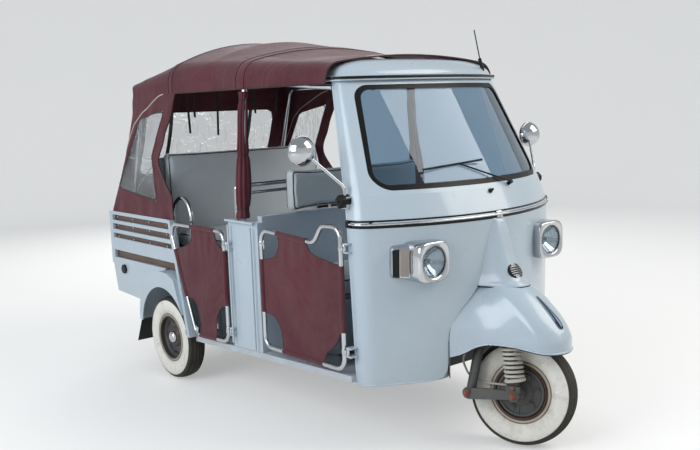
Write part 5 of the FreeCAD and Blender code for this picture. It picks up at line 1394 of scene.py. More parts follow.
@dataclass
class CanvasDoor:
    """A door of bent chromed tube with canvas stretched on it, in millimetres on the right side."""

    name: str
    body: str
    frame: tuple[tuple[float, float], ...]
    cloth: tuple[tuple[float, float], ...]
    sleeves: tuple[tuple[tuple[float, float], ...], ...]
    hinge_x: float
    hinge_z: tuple[float, ...]
    latch: tuple[float, float, float, float]  # x, z and the reach of its tongue
    y: float = -662.0
    tube: float = 11.0
    bend: float = 55.0
    phase: float = 0.0

    def waves(self, x: float, z: float) -> float:
        """How far the cloth stands off the door's middle plane, in millimetres."""
        xs = [p[0] for p in self.cloth]
        zs = [p[1] for p in self.cloth]
        u, v = (x - min(xs)) / (max(xs) - min(xs)), (z - min(zs)) / (max(zs) - min(zs))
        inner = smooth(4 * u) * smooth(4 * (1 - u)) * smooth(5 * v) * smooth(5 * (1 - v))
        belly = 3.0 * inner * math.sin(math.pi * u) * math.sin(math.pi * v)
        top = 1.3 * bump_at(v, 0.9, 0.16) * math.sin(u * 46 + self.phase)
        gather = 2.6 * bump_at(u, 0.86, 0.17) * bump_at(v, 0.34, 0.26) * math.sin(
            v * 58 - u * 24 + self.phase)
        drag = 1.7 * inner * math.sin(8 * (u + 0.8 * v) + self.phase) + 1.2 * inner * math.sin(
            11 * (u - 0.7 * v) + 2 + self.phase)
        return belly + (top + gather) * smooth(7 * u) * smooth(7 * (1 - u)) + drag

    def at(self, x: float, z: float, lift: float = 0.0) -> Vector:
        """A point of the cloth, raised outwards by so many millimetres."""
        return mm(x, self.y - self.waves(x, z) - lift, z)

    def panel(self) -> bpy.types.Object:
        """The cloth, cut to its outline from a waved sheet."""
        outline = rounded(self.cloth, 38, 6)
        xs, zs = [p[0] for p in outline], [p[1] for p in outline]
        low, wide = (min(xs) - 8, min(zs) - 8), (max(xs) - min(xs) + 16, max(zs) - min(zs) + 16)
        cloth = Bench.sheet(f"{self.name}_canvas_right", 96, 96, lambda u, v: self.at(
            low[0] + wide[0] * u, low[1] + wide[1] * v))
        Bench.apply(cloth, "SOLIDIFY", thickness=0.0022, offset=0)
        prism = Bench.slab("prism", [mm(x, self.y - 60, z) for x, z in outline], mm(0, 120, 0))
        Bench.apply(cloth, "BOOLEAN", object=prism, operation="INTERSECT", solver="EXACT")
        bpy.data.objects.remove(prism, do_unlink=True)
        return Bench.smooth(Bench.tidy(cloth), 50)

    def hems(self) -> bpy.types.Object:
        """A dark binding round the whole cut edge."""
        line = resampled(rounded(self.cloth, 38, 6), 150)
        return Bench.tube(f"{self.name}_hem_right", [self.at(x, z) for x, z in line], 0.0031, 0.01,
                          True, 4)

    def wraps(self) -> bpy.types.Object:
        """Sleeves where the cloth goes round the tube."""
        made = []
        for k, run in enumerate(self.sleeves):
            sleeve = Bench.tube(f"sleeve_{k}", [mm(x, self.y, z) for x, z in run], 0.0132, 0.06,
                                sides=7)
            Bench.apply(sleeve, "SUBSURF", levels=1, render_levels=1, subdivision_type="SIMPLE")
            made.append(Bench.ruffle(sleeve, 0.0009, 85.0))
        return Bench.joined(f"{self.name}_sleeves_right", made)

    def fittings(self) -> bpy.types.Object:
        """Hinge barrels with leaves, and the latch."""
        x0 = max(p[0] for p in self.frame)
        bits = []
        for z in self.hinge_z:
            barrel = Bench.rod("barrel", mm(self.hinge_x, self.y, z - 15.5),
                               mm(self.hinge_x, self.y, z + 15.5), 0.008, chamfer=0.15)
            leaf = Bench.block("leaf", mm(x0 - 4, self.y - 13, z - 13),
                               mm(self.hinge_x, self.y - 8.5, z + 13), 0.001)
            clip = Bench.rod("clip", mm(x0, self.y, z - 12), mm(x0, self.y, z + 12), 0.0128,
                             chamfer=0.1)
            bits += [barrel, leaf, clip]
        x, z, reach, drop = self.latch
        bits.append(Bench.rod("latch_collar", mm(x, self.y, z - 14), mm(x, self.y, z + 14), 0.0135,
                              chamfer=0.1))
        bits.append(Bench.block("latch_tongue", mm(min(x, x + reach), self.y - 4, z - 7),
                                mm(max(x, x + reach), self.y + 4, z + 7), 0.0015))
        bits.append(Bench.rod("latch_pin", mm(x + reach, self.y, z - drop),
                              mm(x + reach, self.y, z + 18), 0.0042))
        return Bench.joined(f"{self.name}_fittings_right", bits)

    def build(self) -> None:
        """Frame, cloth and fittings, on the right and mirrored on the left."""
        frame = Bench.tube(f"{self.name}_tube_right", [mm(x, self.y, z) for x, z in self.frame],
                           self.tube * MM, self.bend * MM, True, 8)
        cloth = self.panel()
        bodies = (f"{self.body}_right", f"{self.body}_left")
        nodes = (f"{self.name}_right", f"{self.name}_left")
        frames = Shop.both(frame, CHROME, bodies)
        fits = Shop.both(self.fittings(), CHROME, bodies)
        cloths = Shop.both(cloth, CANVAS, bodies)
        hems = Shop.both(self.hems(), HEM, bodies)
        wraps = Shop.both(self.wraps(), CANVAS, bodies)
        outline = rounded(self.cloth, 38, 6)
        for i in (0, 1):
            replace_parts(frames[i], nodes[i])


DRIVER_DOOR = CanvasDoor(
    name="driver_door", body="front_door",
    frame=((236, 975), (596, 955), (668, 950), (730, 1035), (865, 1040), (865, 392), (236, 384)),
    cloth=((376, 966), (598, 953), (618, 935), (630, 908), (668, 892), (740, 880), (806, 871),
           (864, 868),
           (864, 566), (836, 548), (815, 505), (770, 470), (738, 452), (722, 415), (708, 388),
           (392, 386), (391, 440), (384, 490), (360, 530), (320, 556), (238, 562),
           (238, 828), (300, 834), (352, 852), (380, 892), (386, 935)),
    sleeves=(((374, 967), (596, 955), (612, 954)), ((236, 828), (236, 562)),
             ((392, 386), (708, 390)), ((865, 868), (865, 566))),
    hinge_x=890, hinge_z=(480, 950), latch=(236, 905, 22, 24))

PASSENGER_DOOR = CanvasDoor(
    name="passenger_door", body="side_door",
    frame=((-119, 930), (-714, 930), (-466, 318), (-119, 337)),
    cloth=((-462, 928), (-212, 928), (-206, 890), (-190, 858), (-158, 838), (-120, 832),
           (-120, 536),
           (-176, 522), (-214, 488), (-236, 440), (-240, 334), (-420, 323), (-412, 380),
           (-416, 440),
           (-440, 492), (-484, 520), (-548, 520), (-618, 692), (-656, 786), (-560, 806),
           (-500, 826), (-466, 862)),
    sleeves=(((-462, 930), (-212, 930)), ((-119, 832), (-119, 536)), ((-420, 321), (-240, 331)),
             ((-549, 522), (-655, 784))),
    hinge_x=-94, hinge_z=(400, 860), latch=(-452, 350, -14, 20), phase=1.9)


# Seats


PAD_SKIN = 0.0006  # how far a blown cover stays inside its block, in metres


@dataclass
class Pad:
    """An upholstered block: its real size, its crown and its seams, in millimetres."""

    name: str
    node: str
    low: tuple[float, float, float]
    high: tuple[float, float, float]
    face: int  # the axis of the large outer face, 0 or 2
    slots: tuple[float, ...] = ()
    voxel: float = 9.0
    inset: float = 7.0
    corner: float = 26.0
    cap: float = 17.0
    pressure: float = 4.0

    def build(self) -> None:
        """Blow the block up as cloth, then sew the piping on."""
        low, high = Vector(self.low) * MM, Vector(self.high) * MM
        gap = Vector((self.inset,) * 3) * MM
        pad = Bench.block(f"{self.name}_pad", low + gap, high - gap, self.corner * MM, 4)
        Bench.hold(pad)
        Bench.apply(pad, "REMESH", mode="VOXEL", voxel_size=self.voxel * MM, adaptivity=0)
        Cloth.blow(pad, self.pressure, self.cap * MM)
        for vertex in pad.data.vertices:
            for axis in range(3):
                vertex.co[axis] = min(max(vertex.co[axis], low[axis] + PAD_SKIN),
                                      high[axis] - PAD_SKIN)
        flat = self.face
        self.sew(pad, flat, low, high)
        Bench.apply(pad, "SUBSURF", levels=1, render_levels=1)
        Shop.take(Bench.smooth(pad, 70), VINYL)
        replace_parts(pad, self.node)
        self.piping(pad, flat, low, high)

    def sew(self, pad: bpy.types.Object, flat: int, low: Vector, high: Vector) -> None:
        """Pull the cover in along the sewn channels on its large face."""
        for place in self.slots:
            y = place * MM
            for vertex in pad.data.vertices:
                near = bump_at(vertex.co.y, y, 0.010)
                if near > 0.02:
                    share = (vertex.co[flat] - low[flat]) / (high[flat] - low[flat])
                    pull = 0.011 * near * smooth((share - 0.5) * 2)
                    vertex.co[flat] -= pull

    def piping(self, pad: bpy.types.Object, flat: int, low: Vector, high: Vector) -> None:
        """A black cord round the edge of the large face, laid on the cover by ray casts."""
        others = [a for a in range(3) if a != flat]
        centre = (low + high) / 2
        half = (high - low) / 2
        cords = []
        for level in ((0.80, 0.22) if self.face == 2 else (0.86, 0.16)):
            line = []
            count = 90
            for k in range(count):
                turn = 2 * math.pi * k / count
                way = Vector((0, 0, 0))
                cosine, sine = math.cos(turn), math.sin(turn)
                power = 0.22
                way[others[0]] = math.copysign(abs(cosine) ** power, cosine) * half[others[0]]
                way[others[1]] = math.copysign(abs(sine) ** power, sine) * half[others[1]]
                start = centre.copy()
                start[flat] = low[flat] + (high[flat] - low[flat]) * level
                far = start + way * 1.6
                hit, spot, *_ = pad.ray_cast(far, (start - far).normalized())
                if hit:
                    line.append(spot)
            cords.append(Bench.tube("cord", line, 0.0034, 0.012, True, 4))
        for place in self.slots:
            line = []
            for k in range(25):
                spot = centre.copy()
                spot.y = place * MM
                spot[others[0] if others[0] != 1 else others[1]] = (
                    centre + (half * 0.96) * (k / 12 - 1))[others[0] if others[0] != 1
                                                           else others[1]]
                spot[flat] = high[flat] + 0.1
                down = Vector((0, 0, 0))
                down[flat] = -1
                hit, found, *_ = pad.ray_cast(spot, down)
                if hit:
                    line.append(found)
            if len(line) > 2:
                cords.append(Bench.tube("cord", line, 0.0022, 0.01, sides=3))
        piping = Bench.joined(f"{self.name}_piping", cords)
        Shop.take(piping, PIPING)


class Cloth:
    """Short cloth simulations whose result is kept in the mesh."""

    @staticmethod
    def blow(obj: bpy.types.Object, pressure: float, cap: float, frames: int = 20) -> None:
        """Swell a closed mesh under pressure without gravity.

        Args:
            obj: the closed mesh.
            pressure: the cloth's inner pressure.
            cap: how far a vertex may move, in metres.
            frames: how many steps the simulation takes.
        """
        start = [v.co.copy() for v in obj.data.vertices]
        twin = obj.copy()
        twin.data = obj.data.copy()
        bpy.context.collection.objects.link(twin)
        Bench.hold(twin)
        modifier = twin.modifiers.new("cloth", "CLOTH")
        settings = modifier.settings
        settings.use_pressure, settings.uniform_pressure_force = True, pressure
        settings.tension_stiffness = settings.compression_stiffness = 12
        settings.bending_stiffness, settings.quality = 0.6, 5
        settings.effector_weights.gravity = 0
        modifier.collision_settings.use_collision = False
        modifier.point_cache.frame_end = frames
        scene = bpy.context.scene
        scene.frame_start, scene.frame_end = 1, frames
        for frame in range(1, frames + 1):
            scene.frame_set(frame)
        shaped = twin.evaluated_get(bpy.context.evaluated_depsgraph_get())
        for vertex, before, after in zip(obj.data.vertices, start, shaped.data.vertices):
            way = after.co - before
            if way.length > cap:
                way *= cap / way.length
            vertex.co = before + way
        bpy.data.objects.remove(twin, do_unlink=True)
        scene.frame_set(1)
        obj.data.update()


PADS = (
    Pad("driver_seat", "driver_seat", (181, -460, 630.5), (600, 460, 749.5), 2, (-153, 153)),
    Pad("driver_back", "driver_backrest", (135, -459, 1030.5), (215, 459, 1261), 0,
        corner=26, cap=12),
    Pad("bench_seat", "passenger_seat", (-868, -554, 745.5), (-300, 554, 864.5), 2, (-185, 185),
        voxel=10),
    Pad("bench_back", "passenger_backrest", (-954, -574, 745.5), (-875.5, 574, 1334), 0,
        voxel=10, corner=20, cap=12),
)


# Cab front


@dataclass
class Cab:
    """The cab front: height, tip, rear edge, half width and corner, in millimetres."""

    rows: tuple[tuple[float, ...], ...] = (
        (330, 1180, 895, 620, 90), (1055, 1200, 895, 645, 90), (1175, 1145, 855, 622, 90),
        (1680, 855, 655, 512, 55))
    bulge: float = 1000.0

    def row(self, z: float) -> list[float]:
        """Tip, rear edge, half width and corner at a height."""
        z = min(max(z, self.rows[0][0]), self.rows[-1][0])
        for low, high in zip(self.rows, self.rows[1:]):
            if z <= high[0]:
                t = (z - low[0]) / (high[0] - low[0])
                return [a + (b - a) * t for a, b in zip(low[1:], high[1:])]
        return list(self.rows[-1][1:])

    @staticmethod
    def bow(tip: float, back: float, half: float, bulge: float, corner: float, s: float) -> Point:
        """A point of a bowed outline: straight sides, round corners and a wide front arc.

        Args:
            tip: front of the outline.
            back: where its sides end.
            half: half width.
            bulge: radius of the front arc.
            corner: radius of the corners.
            s: from -1 at the right rear end over 0 at the tip to 1 at the left.

        Returns:
            x and y, and the outward direction there.
        """
        reach = math.sqrt((bulge - corner) ** 2 - (half - corner) ** 2)
        centre_x = tip - bulge + reach
        turn = math.atan2(half - corner, reach)
        runs = (max(centre_x - back, 0.0), corner * (math.pi / 2 - turn), bulge * turn)
        along = (1 - abs(s)) * sum(runs)
        sign = -1.0 if s < 0 else 1.0
        if along < runs[0]:
            return back + along, sign * half, 0.0, sign
        if along < runs[0] + runs[1]:
            angle = math.pi / 2 - (along - runs[0]) / corner
            middle, radius = (centre_x, half - corner), corner
        else:
            angle = turn - (along - runs[0] - runs[1]) / bulge
            middle, radius = (tip - bulge, 0.0), bulge
        x, y = math.cos(angle), math.sin(angle)
        return middle[0] + radius * x, sign * (middle[1] + radius * y), x, sign * y

    def point(self, z: float, s: float, lift: float = 0.0) -> Vector:
        """A point of the outer face, raised by so many millimetres."""
        tip, back, half, corner = self.row(z)
        x, y, out_x, out_y = self.bow(tip, back, half, self.bulge, corner, s)
        return mm(x + out_x * lift, y + out_y * lift, z)

    def front(self, y: float, z: float, lift: float = 0.0) -> Vector:
        """The front face at a distance from the centreline."""
        tip, _, half, corner = self.row(z)
        start = (half - corner) * self.bulge / (self.bulge - corner)
        if abs(y) < start:
            way = Vector((math.sqrt(self.bulge ** 2 - y ** 2), y))
            x = tip - self.bulge + way.x
        else:
            side = min(abs(y), half - 0.5) - (half - corner)
            way = Vector((math.sqrt(corner ** 2 - side ** 2), math.copysign(side, y)))
            x = tip - self.bulge + math.sqrt((self.bulge - corner) ** 2
                                             - (half - corner) ** 2) + way.x
        way.normalize()
        return mm(x + way.x * lift, y + way.y * lift, z)

    def band(self, name: str, z: float, lift: float, radius: float,
             trim: float = 0.0) -> bpy.types.Object:
        """A round strip all the way round the front."""
        line = [self.point(z, (1 - trim) * (k / 60 - 1), lift) for k in range(121)]
        return Bench.tube(name, line, radius * MM, 0.02, sides=4)

    def belt(self) -> None:
        """Chrome strip between two black ones, with its clip and end caps."""
        chrome = self.band("belt_chrome_strip", 1055, 1.5, 5.4, 0.004)
        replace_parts(Shop.take(chrome, CHROME), "front_trim")
        for name, z in (("upper", 1066), ("lower", 1044)):
            Shop.take(self.band(f"belt_black_{name}", z, 0.5, 6.6), GLOSS_BLACK)
        clip = Bench.slab("belt_clip", [self.front(y, 1055 + z, 9) for y, z in rounded(
            [(-19, -15), (19, -15), (19, 15), (-19, 15)], 3)], mm(-10, 0, 0), 0.0012)
        Shop.take(clip, CHROME)
        caps = []
        for sign in (-1, 1):
            spot = self.point(1055, sign * 0.994, 2)
            caps.append(Bench.block("cap", spot - mm(8, 9, 15), spot + mm(10, 9, 15), 0.003))
        Shop.take(Bench.joined("belt_end_caps", caps), GLOSS_BLACK)

    def roof(self) -> None:
        """The metal roof cap with its black gutter."""
        table = ((1680, 14, 14, 55), (1700, 14, 14, 55), (1704, -3, -5, 55), (1722, -14, -14, 56),
                 (1742, -40, -34, 58), (1762, -84, -76, 70), (1776, -132, -134, 80),
                 (1784, -196, -230, 84))
        rows = [(r[0], 855 + r[1], 512 + r[2], r[3]) for r in table]
        heights = [1680, 1690, 1700, 1702, 1704, *range(1708, 1785, 4), 1784]

        def place(u: float, v: float) -> Vector:
            """A ring of the cap, or the shallow crown that closes it."""
            k = v * (len(heights) + 5)
            if k <= len(heights) - 1:
                i = min(int(k), len(heights) - 2)
                z = heights[i] + (heights[i + 1] - heights[i]) * (k - i)
                tip, half, corner = between(rows, z)
                x, y, *_ = self.bow(tip, 545, half, self.bulge, corner, 2 * u - 1)
                return mm(x, y, z)
            t = min(1.0, (k - len(heights) + 1) / 6)
            tip, half, corner = between(rows, 1784)
            x, y, *_ = self.bow(tip, 545, half, self.bulge, corner, 2 * u - 1)
            return mm(x + (600 - x) * t * (0.3 + 0.7 * abs(math.cos(math.pi * (u - 0.5)))) * 0.98,
                      y * (1 - t), 1784 + 1.6 * math.sin(t * math.pi / 2))

        cap = Bench.sheet("roof_cap", 120, len(heights) + 5, place)
        Bench.apply(cap, "SOLIDIFY", thickness=0.0022, offset=-1)
        Bench.tidy(cap)
        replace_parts(Shop.take(Bench.smooth(cap, 32), PAINT), "cab_roof")
        line = []
        for k in range(121):
            x, y, out_x, out_y = self.bow(869, 560, 526, self.bulge, 60, k / 60 - 1)
            line.append(mm(x + out_x, y + out_y, 1693))
        Shop.take(Bench.tube("roof_gutter_seal", line, 0.0062, 0.02, sides=4), GLOSS_BLACK)
        line = [p - mm(0, 0, 11) for p in line]
        Shop.take(Bench.tube("roof_gutter_lip", line, 0.0036, 0.02, sides=3), PAINT)

    def details(self) -> None:
        """Washer nozzle, door-edge strips and the fold along the lower edge."""
        nozzle = self.front(-4, 1159, 0)
        way = Vector((0.92, 0.0, 0.39))
        bits = [Bench.rod("nozzle_foot", nozzle, nozzle + way * 0.006, 0.011),
                Bench.rod("nozzle_stem", nozzle, nozzle + way * 0.014, 0.006),
                Bench.rod("nozzle_head", nozzle + way * 0.008 + mm(0, -9, -3),
                          nozzle + way * 0.014 + mm(0, 8, 3), 0.0055)]
        Shop.take(Bench.joined("washer_nozzle", bits), GLOSS_BLACK)
        for name, lift, inset, radius, finish in (("door_edge_bead", -3.0, 2, 6.5, PAINT),
                                                  ("door_edge_seal", -13.0, -5, 4.5, RUBBER)):
            line = []
            for z in (346, 500, 700, 900, 1055, 1115, 1175, 1300, 1420, 1540, 1655):
                _, back, half, _ = self.row(z)
                line.append(mm(back + inset, -(half + lift), z))
            Shop.both(Bench.tube(f"{name}_right", line, radius * MM, 0.03, sides=4), finish)
        line = [self.point(333, 1.0 - k / 80, 0.6) for k in range(161)]
        gap = [p for p in line if abs(p.y) > 0.353]
        for name, side in (("right", -1), ("left", 1)):
            run = [p for p in gap if p.y * side > 0]
            Shop.take(Bench.tube(f"cab_lower_fold_{name}", run, 0.0042, 0.02, sides=4), PAINT)

    def build(self) -> None:
        """Belt, roof cap and small things."""
        self.belt()
        self.roof()
        self.details()


@dataclass
class Mudguard:
    """The front mudguard: height, tip, nose radius and half width at the cab, in millimetres."""

    face: float = 1149.0
    rows: tuple[tuple[float, ...], ...] = (
        (330, 1574, 116, 284), (480, 1574, 116, 284), (520, 1574, 118, 283), (557, 1561, 118, 276),
        (600, 1529, 120, 256), (640, 1486, 122, 229), (690, 1424, 120, 182), (728, 1370, 108, 142),
        (752, 1325, 86, 104), (766, 1284, 56, 62), (772, 1240, 24, 24), (774, 1200, 4, 4))
    skirt: tuple[tuple[float, float], ...] = (
        (1100, 430), (1149, 434), (1170, 440), (1196, 453), (1220, 470), (1246, 484), (1280, 493),
        (1330, 496), (1400, 494), (1481, 486), (1540, 480), (1591, 478))
    thick: float = 3.2

    def outline(self, z: float, s: float) -> Point:
        """x and y of the outline at a height; s runs from -1 at the cab over 0 at the nose to 1."""
        tip, nose, wide = between(self.rows, z)
        centre = tip - nose
        bend = math.radians(78)
        start = Vector((centre + nose * math.cos(bend), nose * math.sin(bend)))
        end = Vector((self.face, wide))
        gap = (end - start).length
        a = start + Vector((-math.sin(bend), math.cos(bend))) * gap * 0.42
        b = end + Vector((0.62, -0.78)) * gap * 0.30
        arc, flare = nose * bend, gap * 1.02
        along = abs(s) * (arc + flare)
        sign = -1.0 if s < 0 else 1.0
        if along <= arc:
            angle = along / nose
            return centre + nose * math.cos(angle), sign * nose * math.sin(angle)
        t = min(1.0, (along - arc) / flare)
        p = (start * (1 - t) ** 3 + a * 3 * t * (1 - t) ** 2 + b * 3 * t * t * (1 - t) + end
             * t ** 3)
        return p.x, sign * p.y

    def point(self, s: float, v: float) -> Vector:
        """A point of the shell: v is 0 at the lower edge and 1 at the ridge."""
        low = 480.0
        for _ in range(3):
            low = between(self.skirt, self.outline(low, s)[0])[0]
        z = low + (774 - low) * (1 - (1 - v) ** 1.25)
        x, y = self.outline(z, s)
        return mm(x, y, z)

    def build(self) -> None:
        """Shell, rolled edge, wheel housing, crest and head tube."""
        shell = Bench.sheet("mudguard_shell", 150, 64, lambda u, v: self.point(2 * u - 1, v))
        Bench.apply(shell, "SOLIDIFY", thickness=self.thick * MM, offset=-1)
        Bench.tidy(shell)
        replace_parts(Shop.take(Bench.smooth(shell, 60), GUARD), "front_mudguard")
        edge = [self.point(k / 60 - 1, 0) for k in range(121)]
        Shop.take(Bench.tube("mudguard_rolled_edge", edge, 0.0042, 0.02, sides=5), GUARD)
        inner = [Vector((p.x * 0.994 + 0.0066, p.y * 0.972, p.z - 0.004)) for p in edge]
        Shop.take(Bench.tube("mudguard_edge_rubber", inner, 0.0046, 0.02, sides=4), RUBBER)

        def housing(u: float, v: float) -> Vector:
            """The wheel housing behind the cab's front."""
            z = 332 + 440 * v
            wide = between(self.rows, z)[2]
            narrow = min(214.0, wide)
            path = [(1149, -wide), (1100, -(wide + narrow) / 2), (1030, -narrow),
                    (1017, -narrow + 12),
                    (1016, 0), (1017, narrow - 12), (1030, narrow), (1100, (wide + narrow) / 2),
                    (1149, wide)]
            k = u * (len(path) - 1)
            i = min(int(k), len(path) - 2)
            a, b = path[i], path[i + 1]
            return mm(a[0] + (b[0] - a[0]) * (k - i), a[1] + (b[1] - a[1]) * (k - i), z)

        box = Bench.sheet("wheel_housing", 64, 40, housing)
        Bench.apply(box, "SOLIDIFY", thickness=0.0022, offset=0)
        Shop.take(Bench.smooth(Bench.tidy(box), 50), UNDER)
        foot, head = Vector((1.1435, 0, 0.634)), Vector((1.0690, 0, 0.8385))
        long = (head - foot).length
        tube = Bench.turned("head_tube",
                            [(0.0232, 0), (0.0315, 0), (0.0315, long), (0.0232, long), (0.0232, 0)],
                            foot, head - foot, 40)
        Shop.take(tube, UNDER)
        self.crest()

    def crest(self) -> None:
        """A chromed teardrop on the ridge, tinted as a painted dark reflection."""
        def place(u: float, v: float) -> Vector:
            """Half of a drop on the shell; v runs from its thin rear end to its round front."""
            z = 700 - 124 * v
            half = 18.0 * (v ** 0.8) * math.sqrt(max(0.0, 1 - v ** 7)) + 0.6
            side = (2 * u - 1)
            x, _ = self.outline(z, 0)
            y = half * side
            drop = (y * y) / (2 * between(self.rows, z)[1])
            rise = 9.0 * (1 - side * side) ** 0.6 * (v ** 0.5) * math.sqrt(max(0.0, 1 - v ** 6))
            return mm(x - drop + rise * 0.75 + 2.2, y, z + rise * 0.62 + 1.6)

        drop = Bench.sheet("mudguard_crest", 16, 44, place)
        Bench.apply(drop, "SOLIDIFY", thickness=0.002, offset=-1)
        Shop.take(Bench.smooth(Bench.tidy(drop), 60), CREST)


@dataclass
class NoseCone:
    """The ridge between the mudguard and the belt, with the horn."""

    rows: tuple[tuple[float, ...], ...] = (  # height, reach of the ridge, half width, fullness
        (720, 1358, 132, 2.4), (744, 1350, 128, 2.4), (764, 1325, 119, 2.4), (802, 1294, 106, 2.5),
        (860, 1269, 90, 2.6), (925, 1247, 74, 2.8), (990, 1228, 58, 3.0), (1034, 1213, 42, 3.2))

    def point(self, z: float, s: float) -> Vector:
        """A point of the ridge's surface; s from -1 to 1 across it."""
        reach, half, full = between(self.rows, z)
        y = half * s
        base = CAB.front(y, z, -1.0)
        bell = (1 - abs(s) ** full) * (1 - 0.25 * smooth((abs(s) - 0.55) / 0.45))
        ahead = reach - CAB.front(0, z).x / MM
        return base + mm(ahead * bell + 1.0, 0, 0)

    def build(self) -> None:
        """The ridge, the bead at its foot with a black line under it painted as the seam's shadow,
        and the horn.
        """
        def place(u: float, v: float) -> Vector:
            """Rows from the mudguard up, with a rounded top under the belt."""
            z = 740 + 300 * v
            lift = self.point(min(z, 1034), 2 * u - 1)
            if z > 1022:
                t = (z - 1022) / 18
                base = CAB.front(lift.y / MM, z, -1.0)
                lift = base.lerp(lift, math.sqrt(max(0.0, 1 - t * t)))
            return Vector((lift.x, lift.y, z * MM))

        cone = Bench.sheet("nose_ridge", 64, 72, place)
        Bench.apply(cone, "SOLIDIFY", thickness=0.002, offset=-1)
        Bench.tidy(cone)
        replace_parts(Shop.take(Bench.smooth(cone, 60), PAINT), "nose_cone")
        # The black rubber line under the bead is painted shade in the seam at the ridge's foot.
        for name, z, radius, finish in (("nose_foot_bead", 742, 4.2, PAINT),
                                        ("nose_foot_shadow_line", 736, 3.4, RUBBER)):
            line = [self.point(z, k / 30 - 1) for k in range(61)]
            Shop.take(Bench.tube(name, line, radius * MM, 0.01, sides=4), finish)
        self.horn()

    def horn(self) -> None:
        """A black bowl with a slotted grille."""
        z = 802.0
        spot = self.point(z, 0)
        up = (self.point(z + 20, 0) - self.point(z - 20, 0)).normalized()
        out = Vector((up.z, 0, -up.x)).normalized()
        bits = [Bench.turned("horn_dish",
                             [(0.0, 0.001), (0.031, 0.0015), (0.0365, 0.0035), (0.0395, 0.002),
                                           (0.0415, -0.004), (0.0415, -0.016), (0.0, -0.016)], spot,
                                           out, 44)]
        bars = []
        for k in range(-3, 4):
            centre = spot + up * k * 0.0100 + out * 0.0035
            half = math.sqrt(max(0.0, 0.0350 ** 2 - (k * 0.0100) ** 2))
            bars.append(Bench.rod("bar", centre - Vector((0, half, 0)),
                                  centre + Vector((0, half, 0)), 0.0026, sides=10))
        Shop.take(Bench.joined("horn_dish", bits), GLOSS_BLACK)
        Shop.take(Bench.joined("horn_grille", bars), DULL_CHROME)


